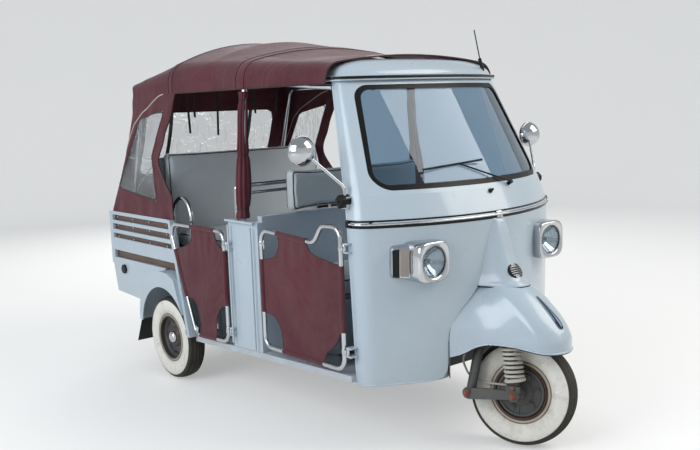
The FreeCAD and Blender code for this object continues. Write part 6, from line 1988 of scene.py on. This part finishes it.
@dataclass
class Headlamp:
    """A headlamp: squarish bezel, fluted glass, side lens and dark end, in millimetres."""

    y: float = -399.0
    z: float = 886.0
    face: float = 1188.0
    half: float = 91.0
    glass: float = 70.0

    def square(self, turn: float, size: float, power: float = 4.6) -> tuple[float, float]:
        """A rounded square's point at an angle."""
        c, s = math.cos(turn), math.sin(turn)
        return (size * math.copysign(abs(c) ** (2 / power), c),
                size * math.copysign(abs(s) ** (2 / power), s))

    def bezel(self) -> bpy.types.Object:
        """The chromed case round the glass."""
        steps = (  # share of the square, reach from the face
            (1.0, None), (1.0, -34), (0.995, -16), (0.93, -7), (0.82, -2), (0.66, 0), (0.4, -1),
            (0.1, -4), (0.0, -8), (0.0, -16))

        def place(u: float, v: float) -> Vector:
            """A ring of the case."""
            turn = 2 * math.pi * u
            k = v * (len(steps) - 1)
            i = min(int(k), len(steps) - 2)
            t = k - i
            (w0, r0), (w1, r1) = steps[i], steps[i + 1]
            share = w0 + (w1 - w0) * t
            a = self.square(turn, self.half)
            b = (self.glass * math.cos(turn), self.glass * math.sin(turn))
            y = self.y + a[0] * share + b[0] * (1 - share)
            z = self.z + a[1] * share + b[1] * (1 - share)
            foot = CAB.front(y, z, -5.0).x / MM
            x0 = foot if r0 is None else max(self.face + r0, foot)
            x1 = max(self.face + r1, foot)
            return mm(x0 + (x1 - x0) * t, y, z)

        case = Bench.sheet("headlamp_bezel_right", 88, 27, place)
        Bench.tidy(case)
        return Bench.smooth(case, 40)

    def wing(self) -> bpy.types.Object:
        """The case's tail that follows the cab's corner."""
        return self.skin("headlamp_wing_right", -440, -536, 0.0, 1.0, True)

    def skin(self, name: str, start: float, end: float, lift: float, tall: float,
             closed: bool) -> bpy.types.Object:
        """A patch of the tail between two distances from the centreline."""
        def place(u: float, v: float) -> Vector:
            """Proud of the cab, thinning outwards."""
            y = start + (end - start) * u
            t = (y + 440) / -96
            high = (84 - 12 * t) * tall
            w = 2 * v - 1
            edge = (1 - abs(w) ** 7) ** 0.5 if closed else 1.0
            tail = math.sqrt(max(0.0, 1 - max(0.0, (t - 0.86) / 0.14) ** 2)) if closed else 1.0
            proud = (54 - 16 * t) * edge * tail + lift
            return CAB.front(y, self.z + high * w * (tail ** 0.35 if closed else 1.0), proud - 3)

        skin = Bench.sheet(name, 48, 36, place)
        if not closed:
            Bench.apply(skin, "SOLIDIFY", thickness=0.003, offset=-1)
        return Bench.smooth(Bench.tidy(skin), 50)

    def lens(self) -> bpy.types.Object:
        """Domed glass with vertical flutes."""
        def place(u: float, v: float) -> Vector:
            """A polar dome."""
            turn, r = 2 * math.pi * u, self.glass * v
            dome = 13 * (1 - v * v) - 10
            flute = 0.5 * abs(math.sin(r * math.cos(turn) * 0.42)) * (1 - v ** 6)
            return mm(self.face + dome - flute - 4, self.y + r * math.cos(turn),
                      self.z + r * math.sin(turn))

        dome = Bench.sheet("headlamp_glass_right", 96, 30, place)
        Bench.tidy(dome)
        Bench.apply(dome, "SOLIDIFY", thickness=0.0025, offset=-1)
        return Bench.smooth(dome, 60)

    def bowl(self) -> bpy.types.Object:
        """The reflector and its bulb cap."""
        face = self.face - 17
        profile = [(r * MM, (-(38 - 38 * (r / 62) ** 2)) * MM) for r in range(0, 69, 6)]
        bowl = Bench.turned("reflector", profile, mm(face, self.y, self.z), (1, 0, 0), 48)
        cap = Bench.rod("bulb_cap", mm(face - 38, self.y, self.z), mm(face - 8, self.y, self.z),
                        0.011, 0.009)
        return Bench.joined("headlamp_reflector_right", [bowl, cap])

    def build(self) -> None:
        """Both headlamps."""
        cases = Shop.both(self.bezel(), CHROME)
        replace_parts(cases[0], "headlights")
        Shop.both(self.wing(), CHROME)
        Shop.both(self.bowl(), CHROME)
        Shop.both(self.lens(), LENS)
        Shop.both(Bench.torus("headlamp_ring_right", mm(self.face - 7, self.y, self.z), (1, 0, 0),
                              (self.glass + 1) * MM, 0.0032, 72, 10), DULL_CHROME)
        ribs = self.skin("side_lens_right", -470, -501, 2.2, 0.74, False)
        for vertex in ribs.data.vertices:
            vertex.co.x += 0.0009 * math.sin(vertex.co.z * 900)
        Shop.both(ribs, SMOKE)
        Shop.both(self.skin("headlamp_end_right", -504, -529, 1.6, 0.82, False), GLOSS_BLACK)


@dataclass
class Front:
    """The mirrors' glass, rims and brackets."""

    mirror: tuple[float, float, float] = (752, -768, 1378)

    def build(self) -> None:
        """Mirror glass faces back; brackets sit on the pillars."""
        centre = mm(*self.mirror)
        glass = Bench.turned("mirror_glass_right",
                             [(0, -0.0012), (0.059, -0.0012), (0.0615, 0.001), (0, 0.001)],
                             centre - mm(3, 0, 0), (-1, 0, 0), 56)
        Shop.both(glass, MIRROR)
        rim = Bench.torus("mirror_rim_right", centre, (1, 0, 0), 0.0642, 0.0032, 64, 10)
        Shop.both(rim, CHROME)
        foot = mm(883, -644, 1155)
        hexagon = [mm(883 + 25 * math.cos(a), -681, 1155 + 31 * math.sin(a)) for a in
                   [math.radians(d) for d in (20, 90, 160, 200, 270, 340)]]
        plate = Bench.slab("mirror_bracket_right", hexagon, mm(0, 56, 0), 0.003)
        screw = Bench.rod("screw", foot + mm(0, -30, 0), foot + mm(0, -41, 0), 0.007)
        Shop.both(Bench.joined("mirror_bracket_right", [plate, screw]), RUBBER)


@dataclass
class Hangers:
    """Ties that hang from the rear bow, and the bright tubes by the seats, in millimetres."""

    bow: float = -1103.0
    ties: tuple[tuple[float, float, float], ...] = (  # across, height of the free end, swing
        (-345, 1575, 3), (-302, 1427, 24), (-226, 1526, -14), (-66, 1407, -14), (214, 1536, 2),
        (394, 1542, -14))

    def tie(self, name: str, y: float, low: float, swing: float) -> None:
        """One strap, looped over the bow."""
        top = HOOD.height(self.bow, y) - 8
        long = top - low

        def place(u: float, v: float) -> Vector:
            """Hangs from the bow's front, curling a little."""
            drop = v * long
            sway = swing * smooth(v) + 2.0 * math.sin(v * 7 + y)
            return mm(self.bow + 13.5 + 5 * math.sin(v * 5 + y) * v, y + (u - 0.5) * 15 + sway,
                      top - drop)

        strap = Bench.sheet(name, 3, 34, place)
        Bench.apply(strap, "SOLIDIFY", thickness=0.0018, offset=0)
        Shop.take(Bench.smooth(strap), STRAP)

    def armrest(self) -> None:
        """A chromed hoop beside the bench."""
        hoop = [mm(-800, -584, 752)]
        for k in range(25):
            turn = math.pi * (1 - k / 24)
            hoop.append(mm(-694 + 106 * math.cos(turn), -584, 930 + 140 * math.sin(turn) ** 0.9))
        hoop += [mm(-592, -584, 860), mm(-606, -584, 800), mm(-618, -584, 752)]
        hoops = Shop.both(Bench.tube("armrest_hoop_right", hoop, 0.0125, 0.01), CHROME)
        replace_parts(hoops[0], "armrests")

    def post(self) -> None:
        """The upright that carries the grab rails."""
        line = [mm(-9, -640, 1000), mm(-9, -640, 1180), mm(24, -601, 1180)]
        Shop.both(Bench.tube("grab_rail_post_right", line, 0.011, 0.022), CHROME)

    def build(self) -> None:
        """Ties, hoops and posts."""
        for k, (y, low, swing) in enumerate(self.ties):
            self.tie(f"roof_tie_{k}", y, low, swing)
        self.armrest()
        self.post()


HOOD = Hood()
CAB = Cab()


# Running gear


RAKE, REST_TURN = math.radians(20), math.radians(24)  # of the steering axis, of the wheel at rest
STEER_FOOT = mm(1285, 0, 245)
STEER_AXIS = Vector((-math.sin(RAKE), 0, math.cos(RAKE)))
REST = (Matrix.Translation(STEER_FOOT - mm(0, 0, 0.012)) @ Matrix.Rotation(REST_TURN, 4, STEER_AXIS)
        @ Matrix.Translation(-STEER_FOOT))


def steered(obj: bpy.types.Object) -> bpy.types.Object:
    """Turn a straight-ahead piece to the way the front wheel stands."""
    obj.data.transform(REST)
    return obj


@dataclass
class Wheel:
    """A pressed wheel with its tyre, the axle along y; sizes in millimetres."""

    name: str
    body: str
    place: Matrix
    face: float
    white: float
    radius: float = 245.0
    blocks: int = 60

    def section(self) -> list[tuple[float, float]]:
        """Across and radius round the tyre's section, closed through the inside."""
        side = [(42.5, 128), (43, 138.5), (44.2, 139.5), (46.4, 141), (50.5, 153), (54.8, 168),
                (57.6, 184),
                (58, 196), (57, 208), (54.4, 219.5), (52.6, 221.5), (50.5, 227), (46.5, 234),
                (42.6, 238)]
        tread = [(-42 + 2 * k, self.radius - 7 * ((-42 + 2 * k) / 42) ** 2) for k in range(43)]
        inside = [(28, 128), (33, 150), (36, 190), (24, 222), (-24, 222), (-36, 190), (-33, 150),
                  (-28, 128)]
        return [(-a, r) for a, r in side] + tread + side[::-1] + inside

    def cut(self, turn: float, across: float) -> float:
        """Depth of the tread's grooves at a place."""
        zigzag = 2.6 * (4 * abs(turn * self.blocks / 2 % 1 - 0.5) - 1)
        deep = 0.0
        for middle in (-28, -10, 10, 28):
            deep = max(deep, 5.5 * bump_at(across - zigzag, middle, 3.2))
        if 31 < abs(across) <= 42 and (turn * self.blocks + (0.5 if across > 0 else 0)) % 1 < 0.3:
            deep = max(deep, 4.5 * smooth((abs(across) - 31) / 3))
        return deep

    def tyre(self) -> None:
        """Rubber with a cut tread."""
        section = self.section()
        count = len(section)

        def place(u: float, v: float) -> Vector:
            """Round the axle by u, round the section by v."""
            k = v * count
            i = min(int(k + 1e-6), count - 1)
            a, b = section[i], section[(i + 1) % count]
            t = k - i
            across, r = a[0] + (b[0] - a[0]) * t, a[1] + (b[1] - a[1]) * t
            if r > 237.5:
                r -= self.cut(u, across)
            turn = 2 * math.pi * u
            return mm(r * math.cos(turn), across, r * math.sin(turn))

        tyre = Bench.sheet(f"{self.name}_tyre_rubber", 360, count, place)
        Bench.tidy(tyre)
        tyre.data.transform(self.place)
        Bench.smooth(tyre, 48)
        finish = TyreFinish(f"{self.name}_rubber", Slot.TYRE, "242322", "2d2a27", rough=0.8,
                            dust=0.3, dust_colour="6f675c", ripple=0.0003, ripple_scale=160.0,
                            centre=tuple(self.place.translation), turn=tuple(self.place.to_euler()),
                            side=self.white)
        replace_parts(Shop.take(tyre, finish, self.body), f"{self.name.replace('wheel', 'tyre')}")

    def spin(self, name: str, profile: Sequence[Point], finish: Finish, bevel: float = 0.0,
             swap: str = "") -> None:
        """A turned piece of the wheel: (radius, across) with across towards the face."""
        rows = [(r * MM, a * MM) for r, a in profile]
        made = Bench.turned(f"{self.name}_{name}", rows, (0, 0, 0), (0, self.face, 0), 96)
        if bevel:
            Bench.apply(made, "BEVEL", width=bevel * MM, segments=2, limit_method="ANGLE",
                        angle_limit=math.radians(32))
        made.data.transform(self.place)
        Shop.take(Bench.smooth(made, 35), finish, self.body)
        if swap:
            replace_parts(made, swap)

    def nuts(self) -> None:
        """Wheel nuts on their studs."""
        bits = []
        for k in range(5):
            turn = 2 * math.pi * k / 5 + 0.3
            spot = Vector((0.052 * math.cos(turn), 0.0, 0.052 * math.sin(turn)))
            for low, high, size, sides in ((8, 21, 9.5, 6), (8, 12.5, 13, 24), (18, 26, 4.6, 12)):
                bits.append(Bench.rod("nut", spot + mm(0, self.face * low, 0),
                                      spot + mm(0, self.face * high, 0), size * MM, sides=sides))
        nuts = Bench.joined(f"{self.name}_nuts", bits)
        nuts.data.transform(self.place)
        Shop.take(nuts, RUST, self.body)

    def build(self) -> None:
        """Tyre, rim, flange edge, nuts, and slots painted as dark patches of shade instead of holes.
        """
        self.tyre()
        rim = [(139, -47), (139, -43), (127, -43), (127, -21), (113, -11), (113, 11), (127, 21),
               (127, 43),
               (139, 43), (139, 47), (122, 47), (122, 23), (107, 13), (101, 15), (84, 18), (70, 14),
               (60, 14),
               (48, 26), (15, 26), (15, -16), (48, -16), (60, 6), (70, 6), (84, 10), (101, 7),
               (107, -13), (122, -23), (122, -47), (139, -47)]
        self.spin("rim_pressing", rim, WHEEL, 1.6, self.name.replace("wheel", "rim"))
        for sign, tag in ((1, "outer"), (-1, "inner")):
            bead = [(140.4 + 3.4 * math.cos(a), sign * (46.2 + 3.4 * math.sin(a)))
                    for a in [2 * math.pi * k / 12 for k in range(13)]]
            self.spin(f"rim_edge_{tag}", bead, WHEEL_EDGE)
            band = [(129, sign * 47.2), (137.6, sign * 47.2), (137.6, sign * 48.2),
                    (129, sign * 48.2), (129, sign * 47.2)]
            self.spin(f"rim_band_{tag}", band, BRIGHT_EDGE)
        self.nuts()
        # The slots are not cut through: dark patches on the disc paint the shade seen through them.
        slots = []
        for k in range(8):
            turn = 2 * math.pi * k / 8
            spot = Vector((0.0905 * math.cos(turn), self.face * 0.0163, 0.0905 * math.sin(turn)))
            way = Vector((-math.sin(turn), 0, math.cos(turn)))
            bits = [spot + way * s * 0.010 for s in (-1, 1)]
            slots += [Bench.rod("slot", p, p + mm(0, self.face * 2.4, 0), 0.0062, sides=24)
                      for p in bits]
            out = Vector((way.z, 0, -way.x)) * 0.0062
            corners = [bits[0] - out, bits[0] + out, bits[1] + out, bits[1] - out]
            slots.append(Bench.slab("slot", corners, mm(0, self.face * 2.4, 0)))
        dark = Bench.joined(f"{self.name}_slots", slots)
        dark.data.transform(self.place)
        Shop.take(dark, SLOT_SHADE, self.body)
        if self.name != "front_wheel":
            cap = [(0, 49), (10, 48.4), (22, 45), (30, 39.5), (34, 32), (35.5, 26.2), (37.5, 26.2),
                   (36, 34), (31, 42.5), (22.6, 48), (10, 51.4), (0, 52)]
            self.spin("hub_cap", cap, CHROME)


@dataclass
class FrontLeg:
    """Coil spring, damper, bolts, brake plate and grips, in the straight-ahead frame."""

    foot: tuple[float, float, float] = (1320, -120, 307)
    head: tuple[float, float, float] = (1283, -120, 477)
    turns: float = 8.0

    def spring(self) -> None:
        """A wound coil between two cups."""
        foot, head = mm(*self.foot), mm(*self.head)
        way = (head - foot).normalized()
        side = Vector((0, 1, 0))
        front = side.cross(way)
        long = (head - foot).length

        def place(u: float, v: float) -> Vector:
            """Along the wire by u, round it by v; the ends lie flat."""
            turn = 2 * math.pi * (self.turns + 1.2) * u
            t = min(max(((self.turns + 1.2) * u - 0.6) / self.turns, 0.0), 1.0)
            out = side * math.cos(turn) + front * math.sin(turn)
            ring = 2 * math.pi * v
            return (foot + way * (0.007 + (long - 0.014) * t) + out * 0.0388
                    + (out * math.cos(ring) + way * math.sin(ring)) * 0.0066)

        coil = Bench.sheet("front_coil", 290, 12, place)
        Bench.tidy(coil)
        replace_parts(Shop.take(steered(Bench.smooth(coil, 70)), SPRING, "steering"), "front_spring")
        bits = []
        for spot, sign in ((foot, 1.0), (head, -1.0)):
            bits.append(Bench.turned("cup",
                                     [(0.013, 0), (0.045, 0), (0.0475, 0.003), (0.048, 0.012),
                                             (0.046, 0.012), (0.0455, 0.004), (0.013, 0.002),
                                             (0.013, 0)],
                                     spot - way * sign * 0.002, way * sign, 48))
        cups = Bench.joined("spring_cups", bits)
        Shop.take(steered(cups), SPRING, "steering")
        damper = Bench.joined("front_damper", [
            Bench.rod("body", foot - way * 0.010, foot + way * long * 0.62, 0.0205, sides=32),
            Bench.rod("rod", foot + way * long * 0.6, head + way * 0.024, 0.011, sides=24),
            Bench.rod("eye", foot + mm(0, -20, -12), foot + mm(0, 20, -12), 0.017, sides=32)])
        Shop.take(steered(damper), STEEL, "steering")

    def bolts(self) -> None:
        """Pivot bolt, axle nut and washers, rusted."""
        bits = []
        for x, z, size in ((1106, 225, 12.5), (1325, 245, 12.5)):
            face = -163 if x > 1200 else -157
            bits += [Bench.rod("washer", mm(x, face + 1, z), mm(x, face - 3, z), size * 1.32 * MM,
                               sides=36),
                     Bench.rod("nut", mm(x, face - 3, z), mm(x, face - 13, z), size * MM, sides=6,
                               chamfer=0.0015),
                     Bench.rod("end", mm(x, face - 12, z), mm(x, face - 18, z), size * 0.52 * MM,
                               sides=20)]
        bits.append(Bench.rod("nut", mm(1320, -157, 281), mm(1320, -165, 281), 0.0095, sides=6))
        Shop.take(steered(Bench.joined("front_bolts", bits)), BOLT_RUST, "steering")

    def plate(self) -> None:
        """The cast brake plate's ribs, bosses and lever."""
        axle = mm(1325, -46, 245)
        bits = [Bench.turned("dish",
                             [(0.112, 0.012), (0.112, -0.001), (0.108, -0.0045), (0.099, -0.005),
                                      (0.094, -0.001), (0.060, -0.0035), (0.052, -0.012),
                                      (0.040, -0.016),
                                      (0.030, -0.016), (0.030, 0.0), (0.10, 0.002), (0.112, 0.012)],
                             axle, (0, 1, 0), 96)]
        for k in range(7):
            turn = 2 * math.pi * k / 7 + 0.2
            way = Vector((math.cos(turn), 0, math.sin(turn)))
            across = Vector((-way.z, 0, way.x)) * 0.0035
            ends = [axle + way * 0.045 - across, axle + way * 0.097 - across,
                    axle + way * 0.097 + across, axle + way * 0.045 + across]
            bits.append(Bench.slab("rib", [p + mm(0, 1, 0) for p in ends], mm(0, -8, 0), 0.0012))
        for turn, away, size, high in ((1.15, 78, 16, 13), (4.3, 76, 14, 11), (2.6, 70, 19, 9),
                                       (5.6, 74, 12, 13), (3.5, 82, 9, 12), (0.25, 82, 9, 12)):
            spot = axle + Vector((math.cos(turn), 0, math.sin(turn))) * away * MM
            bits.append(Bench.rod("boss", spot, spot - mm(0, high, 0), size * MM, size * 0.9 * MM,
                                  sides=32, chamfer=0.002))
            bits.append(Bench.rod("bolt", spot, spot - mm(0, high + 4, 0), size * 0.42 * MM,
                                  sides=6))
        plate = Bench.joined("brake_plate_ribs", bits)
        Shop.take(steered(plate), STEEL, "steering")
        inner = Bench.turned("drum_edge",
                             [(0.1165, -0.006), (0.1205, -0.006), (0.1205, 0.012), (0.1165, 0.012),
                                           (0.1165, -0.006)], axle, (0, 1, 0), 96)
        Shop.take(steered(inner), RUST, "front_wheel")

    def grips(self) -> None:
        """Rubber grips with their collars and levers on the handlebar."""
        for sign, tag in ((-1, "right"), (1, "left")):
            end, knee = mm(788, sign * 300, 1080), mm(928, sign * 180, 1110)
            way = (knee - end).normalized()
            rows = [(0.0, -0.006), (0.012, -0.006), (0.0165, -0.002)]
            for k in range(11):
                rows += [(0.0165, 0.004 + 0.010 * k), (0.0150, 0.007 + 0.010 * k)]
            rows += [(0.0165, 0.116), (0.021, 0.119), (0.021, 0.123), (0.0, 0.123)]
            Shop.take(steered(Bench.turned(f"grip_{tag}", rows, end, way, 40)), RUBBER, "steering")
            lever = [end + way * 0.118 + mm(26, 0, -10), end + way * 0.100 + mm(44, 0, -14),
                     end + way * 0.010 + mm(42, 0, -18)]
            Shop.take(steered(Bench.tube(f"lever_{tag}", lever, 0.0055, 0.02)), CHROME, "steering")
            Shop.take(steered(Bench.rod(f"lever_clamp_{tag}", end + way * 0.124, end + way * 0.152,
                                        0.0185, sides=32, chamfer=0.002)), GLOSS_BLACK, "steering")

    def build(self) -> None:
        """All of it."""
        self.spring()
        self.bolts()
        self.plate()
        self.grips()


@dataclass
class Fittings:
    """Ribs, screws, lamps, louvres and controls that the CAD leaves out."""

    def posts(self) -> None:
        """Pressed ribs on the panels between the doors."""
        bits = []
        for x in (-66, 146):
            bits.append(Bench.tube("rib", [mm(x, -667, 345), mm(x, -667, 975)], 0.0055, 0.01,
                                   sides=4))
        bits.append(Bench.tube("rib", [mm(-92, -664, 998), mm(172, -664, 998)], 0.0065, 0.01,
                               sides=4))
        Shop.both(Bench.joined("post_ribs_right", bits), PAINT)
        walls = []
        for z in (560, 800):
            walls.append(Bench.tube("line", [mm(152, -615.5, z), mm(568, -615.5, z)], 0.0045, 0.01,
                                    sides=3))
        Shop.both(Bench.joined("wall_ribs_right", walls), INSIDE)

    def rails(self) -> None:
        """Screws through the planks into their posts."""
        bits = []
        for x in (-1480, -1260, -1040, -820, -690):
            for z in (634, 706, 778, 850, 905):
                bits.append(Bench.rod("screw", mm(x, -626, z), mm(x, -629.5, z), 0.0062, 0.0045,
                                      sides=16))
        Shop.both(Bench.joined("plank_screws_right", bits), CHROME)

    def rear(self) -> None:
        """Tail-lamp lenses and rims, and the lid's louvres, latch and pressed edge."""
        lamp = [mm(-1594.5, y, z)
                for y, z in rounded([(-545, 595), (-455, 595), (-455, 685), (-545, 685)], 12)]
        frame = Bench.tube("tail_rim_right", lamp, 0.0038, 0.004, closed=True)
        Shop.both(frame, CHROME)
        fresnel = []
        for k in range(7):
            z = 604 + 12 * k
            fresnel.append(Bench.rod("rib", mm(-1594.6, -541, z), mm(-1594.6, -459, z), 0.0024,
                                     sides=10))
        Shop.both(Bench.joined("tail_lens_right", fresnel), RED)
        slats = []
        for k in range(7):
            z = 500 + 24 * k
            for y in (-190, 190):
                slat = Bench.tube("slat", [mm(-1589, y - 105, z), mm(-1589, y + 105, z)], 0.0062,
                                  0.01, sides=4)
                slats.append(slat)
        Shop.take(Bench.joined("lid_louvres", slats), PAINT, "engine_lid")
        latch = [Bench.rod("boss", mm(-1589, 0, 500), mm(-1595, 0, 500), 0.02, sides=36,
                           chamfer=0.0015),
                 Bench.slab("handle", [mm(-1594, -6, 488), mm(-1594, 6, 488), mm(-1594, 7, 560),
                                       mm(-1594, -7, 560)], mm(-7, 0, 0), 0.002)]
        Shop.take(Bench.joined("lid_latch", latch), CHROME, "engine_lid")
        lip = [mm(-1590.5, y, z)
               for y, z in rounded([(-322, 468), (322, 468), (322, 722), (-322, 722)], 18)]
        Shop.take(Bench.tube("lid_pressed_edge", lip, 0.0032, 0.01, closed=True, sides=4), PAINT,
                  "engine_lid")

    def inside(self) -> None:
        """Floor mat ribs, pedal, speedometer and switches."""
        ribs = []
        for k in range(15):
            y = -490 + 70 * k
            ribs.append(Bench.slab("rib",
                                   [mm(600, y - 9, 375), mm(985, y - 9, 376), mm(985, y + 9, 376),
                                           mm(600, y + 9, 375)], mm(0, 0, 3.5), 0.001))
        mat = Bench.joined("floor_mat_ribs", ribs)
        Shop.take(mat, FLOOR)
        pedal = [Bench.tube("arm", [mm(1000, -150, 385), mm(985, -150, 440), mm(930, -150, 470)],
                            0.007, 0.02),
                 Bench.block("pad", mm(905, -185, 462), mm(950, -115, 478), 0.005)]
        Shop.take(Bench.joined("brake_pedal", pedal), RUBBER)
        centre = mm(1062, 0, 1050)
        dial = [Bench.turned("ring",
                             [(0.052, 0.0), (0.056, -0.006), (0.058, -0.014), (0.052, -0.016),
                                      (0.049, -0.004), (0.052, 0.0)], centre, (-1, 0, 0), 56)]
        Shop.take(Bench.joined("speedometer_ring", dial), CHROME)
        face = [Bench.rod("face", centre + mm(4, 0, 0), centre + mm(-4, 0, 0), 0.0495, sides=56)]
        Shop.take(Bench.joined("speedometer_face", face), GLOSS_BLACK)
        marks = []
        for k in range(13):
            turn = math.radians(-30 + 20 * k)
            way = Vector((0, math.cos(turn), math.sin(turn)))
            marks.append(Bench.rod("mark", centre + mm(-4.4, 0, 0) + way * 0.036,
                                   centre + mm(-4.4, 0, 0)
                                   + way * 0.045, 0.0011, sides=6))
        marks.append(Bench.rod("needle", centre + mm(-5, 0, 0), centre + mm(-5, 24, 24), 0.0012,
                               sides=6))
        Shop.take(Bench.joined("speedometer_marks", marks), SPRING)
        knobs = []
        for y in (-330, -270, 270, 330):
            knobs.append(Bench.rod("knob", mm(1064, y, 1045), mm(1044, y, 1045), 0.012, 0.010,
                                   sides=28, chamfer=0.002))
        Shop.take(Bench.joined("dash_knobs", knobs), GLOSS_BLACK)

    def build(self) -> None:
        """Everything in turn."""
        self.posts()
        self.rails()
        self.rear()
        self.inside()


WHEELS = (
    Wheel("front_wheel", "front_wheel", REST @ Matrix.Translation(mm(1325, 0, 245)), 1.0, -1.0),
    Wheel("rear_wheel_right", "rear_wheel_right", Matrix.Translation(mm(-765, -625, 245)), -1.0,
          -1.0),
    Wheel("rear_wheel_left", "rear_wheel_left", Matrix.Translation(mm(-765, 625, 245)), 1.0, 1.0),
)


def dress_frame(frame: dict) -> None:
    """Give every CAD node that stays the finish of its real part."""
    Shop.dress(frame, PAINT, "cab_front", "cab_roof", "front_mudguard", "nose_cone", "side_posts",
               "side_panels", "rear_fenders", "rear_panel", "rear_lid")
    Shop.dress(frame, INSIDE, "dashboard", "seat_box", "bench_box")
    Shop.dress(frame, SILL, "floor_pan")
    Shop.dress(frame, STEEL, "chassis_frame", "rear_arms", "engine_block", "steering_fork",
               "front_link", "brake_plate", "exhaust")
    Shop.dress(frame, WHEEL, "front_rim", "rear_rim_right", "rear_rim_left")
    Shop.dress(frame, SPRING, "front_spring", "brake_cable")
    Shop.dress(frame, RUBBER, "windscreen_gasket", "wiper", "mud_flaps", "aerial", "filler_cap",
               "handlebar")
    Shop.dress(frame, CHROME, "headlights", "mirrors", "canopy_frame", "grab_rails", "armrests",
               "front_trim", "driver_door_right", "driver_door_left", "passenger_door_right",
               "passenger_door_left")
    Shop.dress(frame, VINYL, "driver_seat", "driver_backrest", "passenger_seat",
               "passenger_backrest")
    Shop.dress(frame, CANVAS, "canopy_top", "rear_curtain", "rolled_curtains")
    Shop.dress(frame, WOOD, "wood_planks")
    Shop.dress(frame, GLASS, "windscreen_glass")
    Shop.dress(frame, SHEET, "hood_windows")
    Shop.dress(frame, RED, "tail_lamps")


def main() -> None:
    """Build every assembly and report on it."""
    logging.basicConfig(level=logging.INFO, format="%(name)s %(message)s")
    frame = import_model()
    Library.effects = Effects()
    dress_frame(frame)
    HOOD.build()
    Curtain().build()
    Roll().build()
    for piece in (CAB, Mudguard(), NoseCone(), Headlamp(), Front(), Hangers(), *WHEELS, FrontLeg(),
                  Fittings()):
        piece.build()
    for door in (DRIVER_DOOR, PASSENGER_DOOR):
        door.build()
    for pad in PADS:
        pad.build()
    Studio().build()
    log.info("%d pieces", Shop.count)


if __name__ == "__main__":
    main()
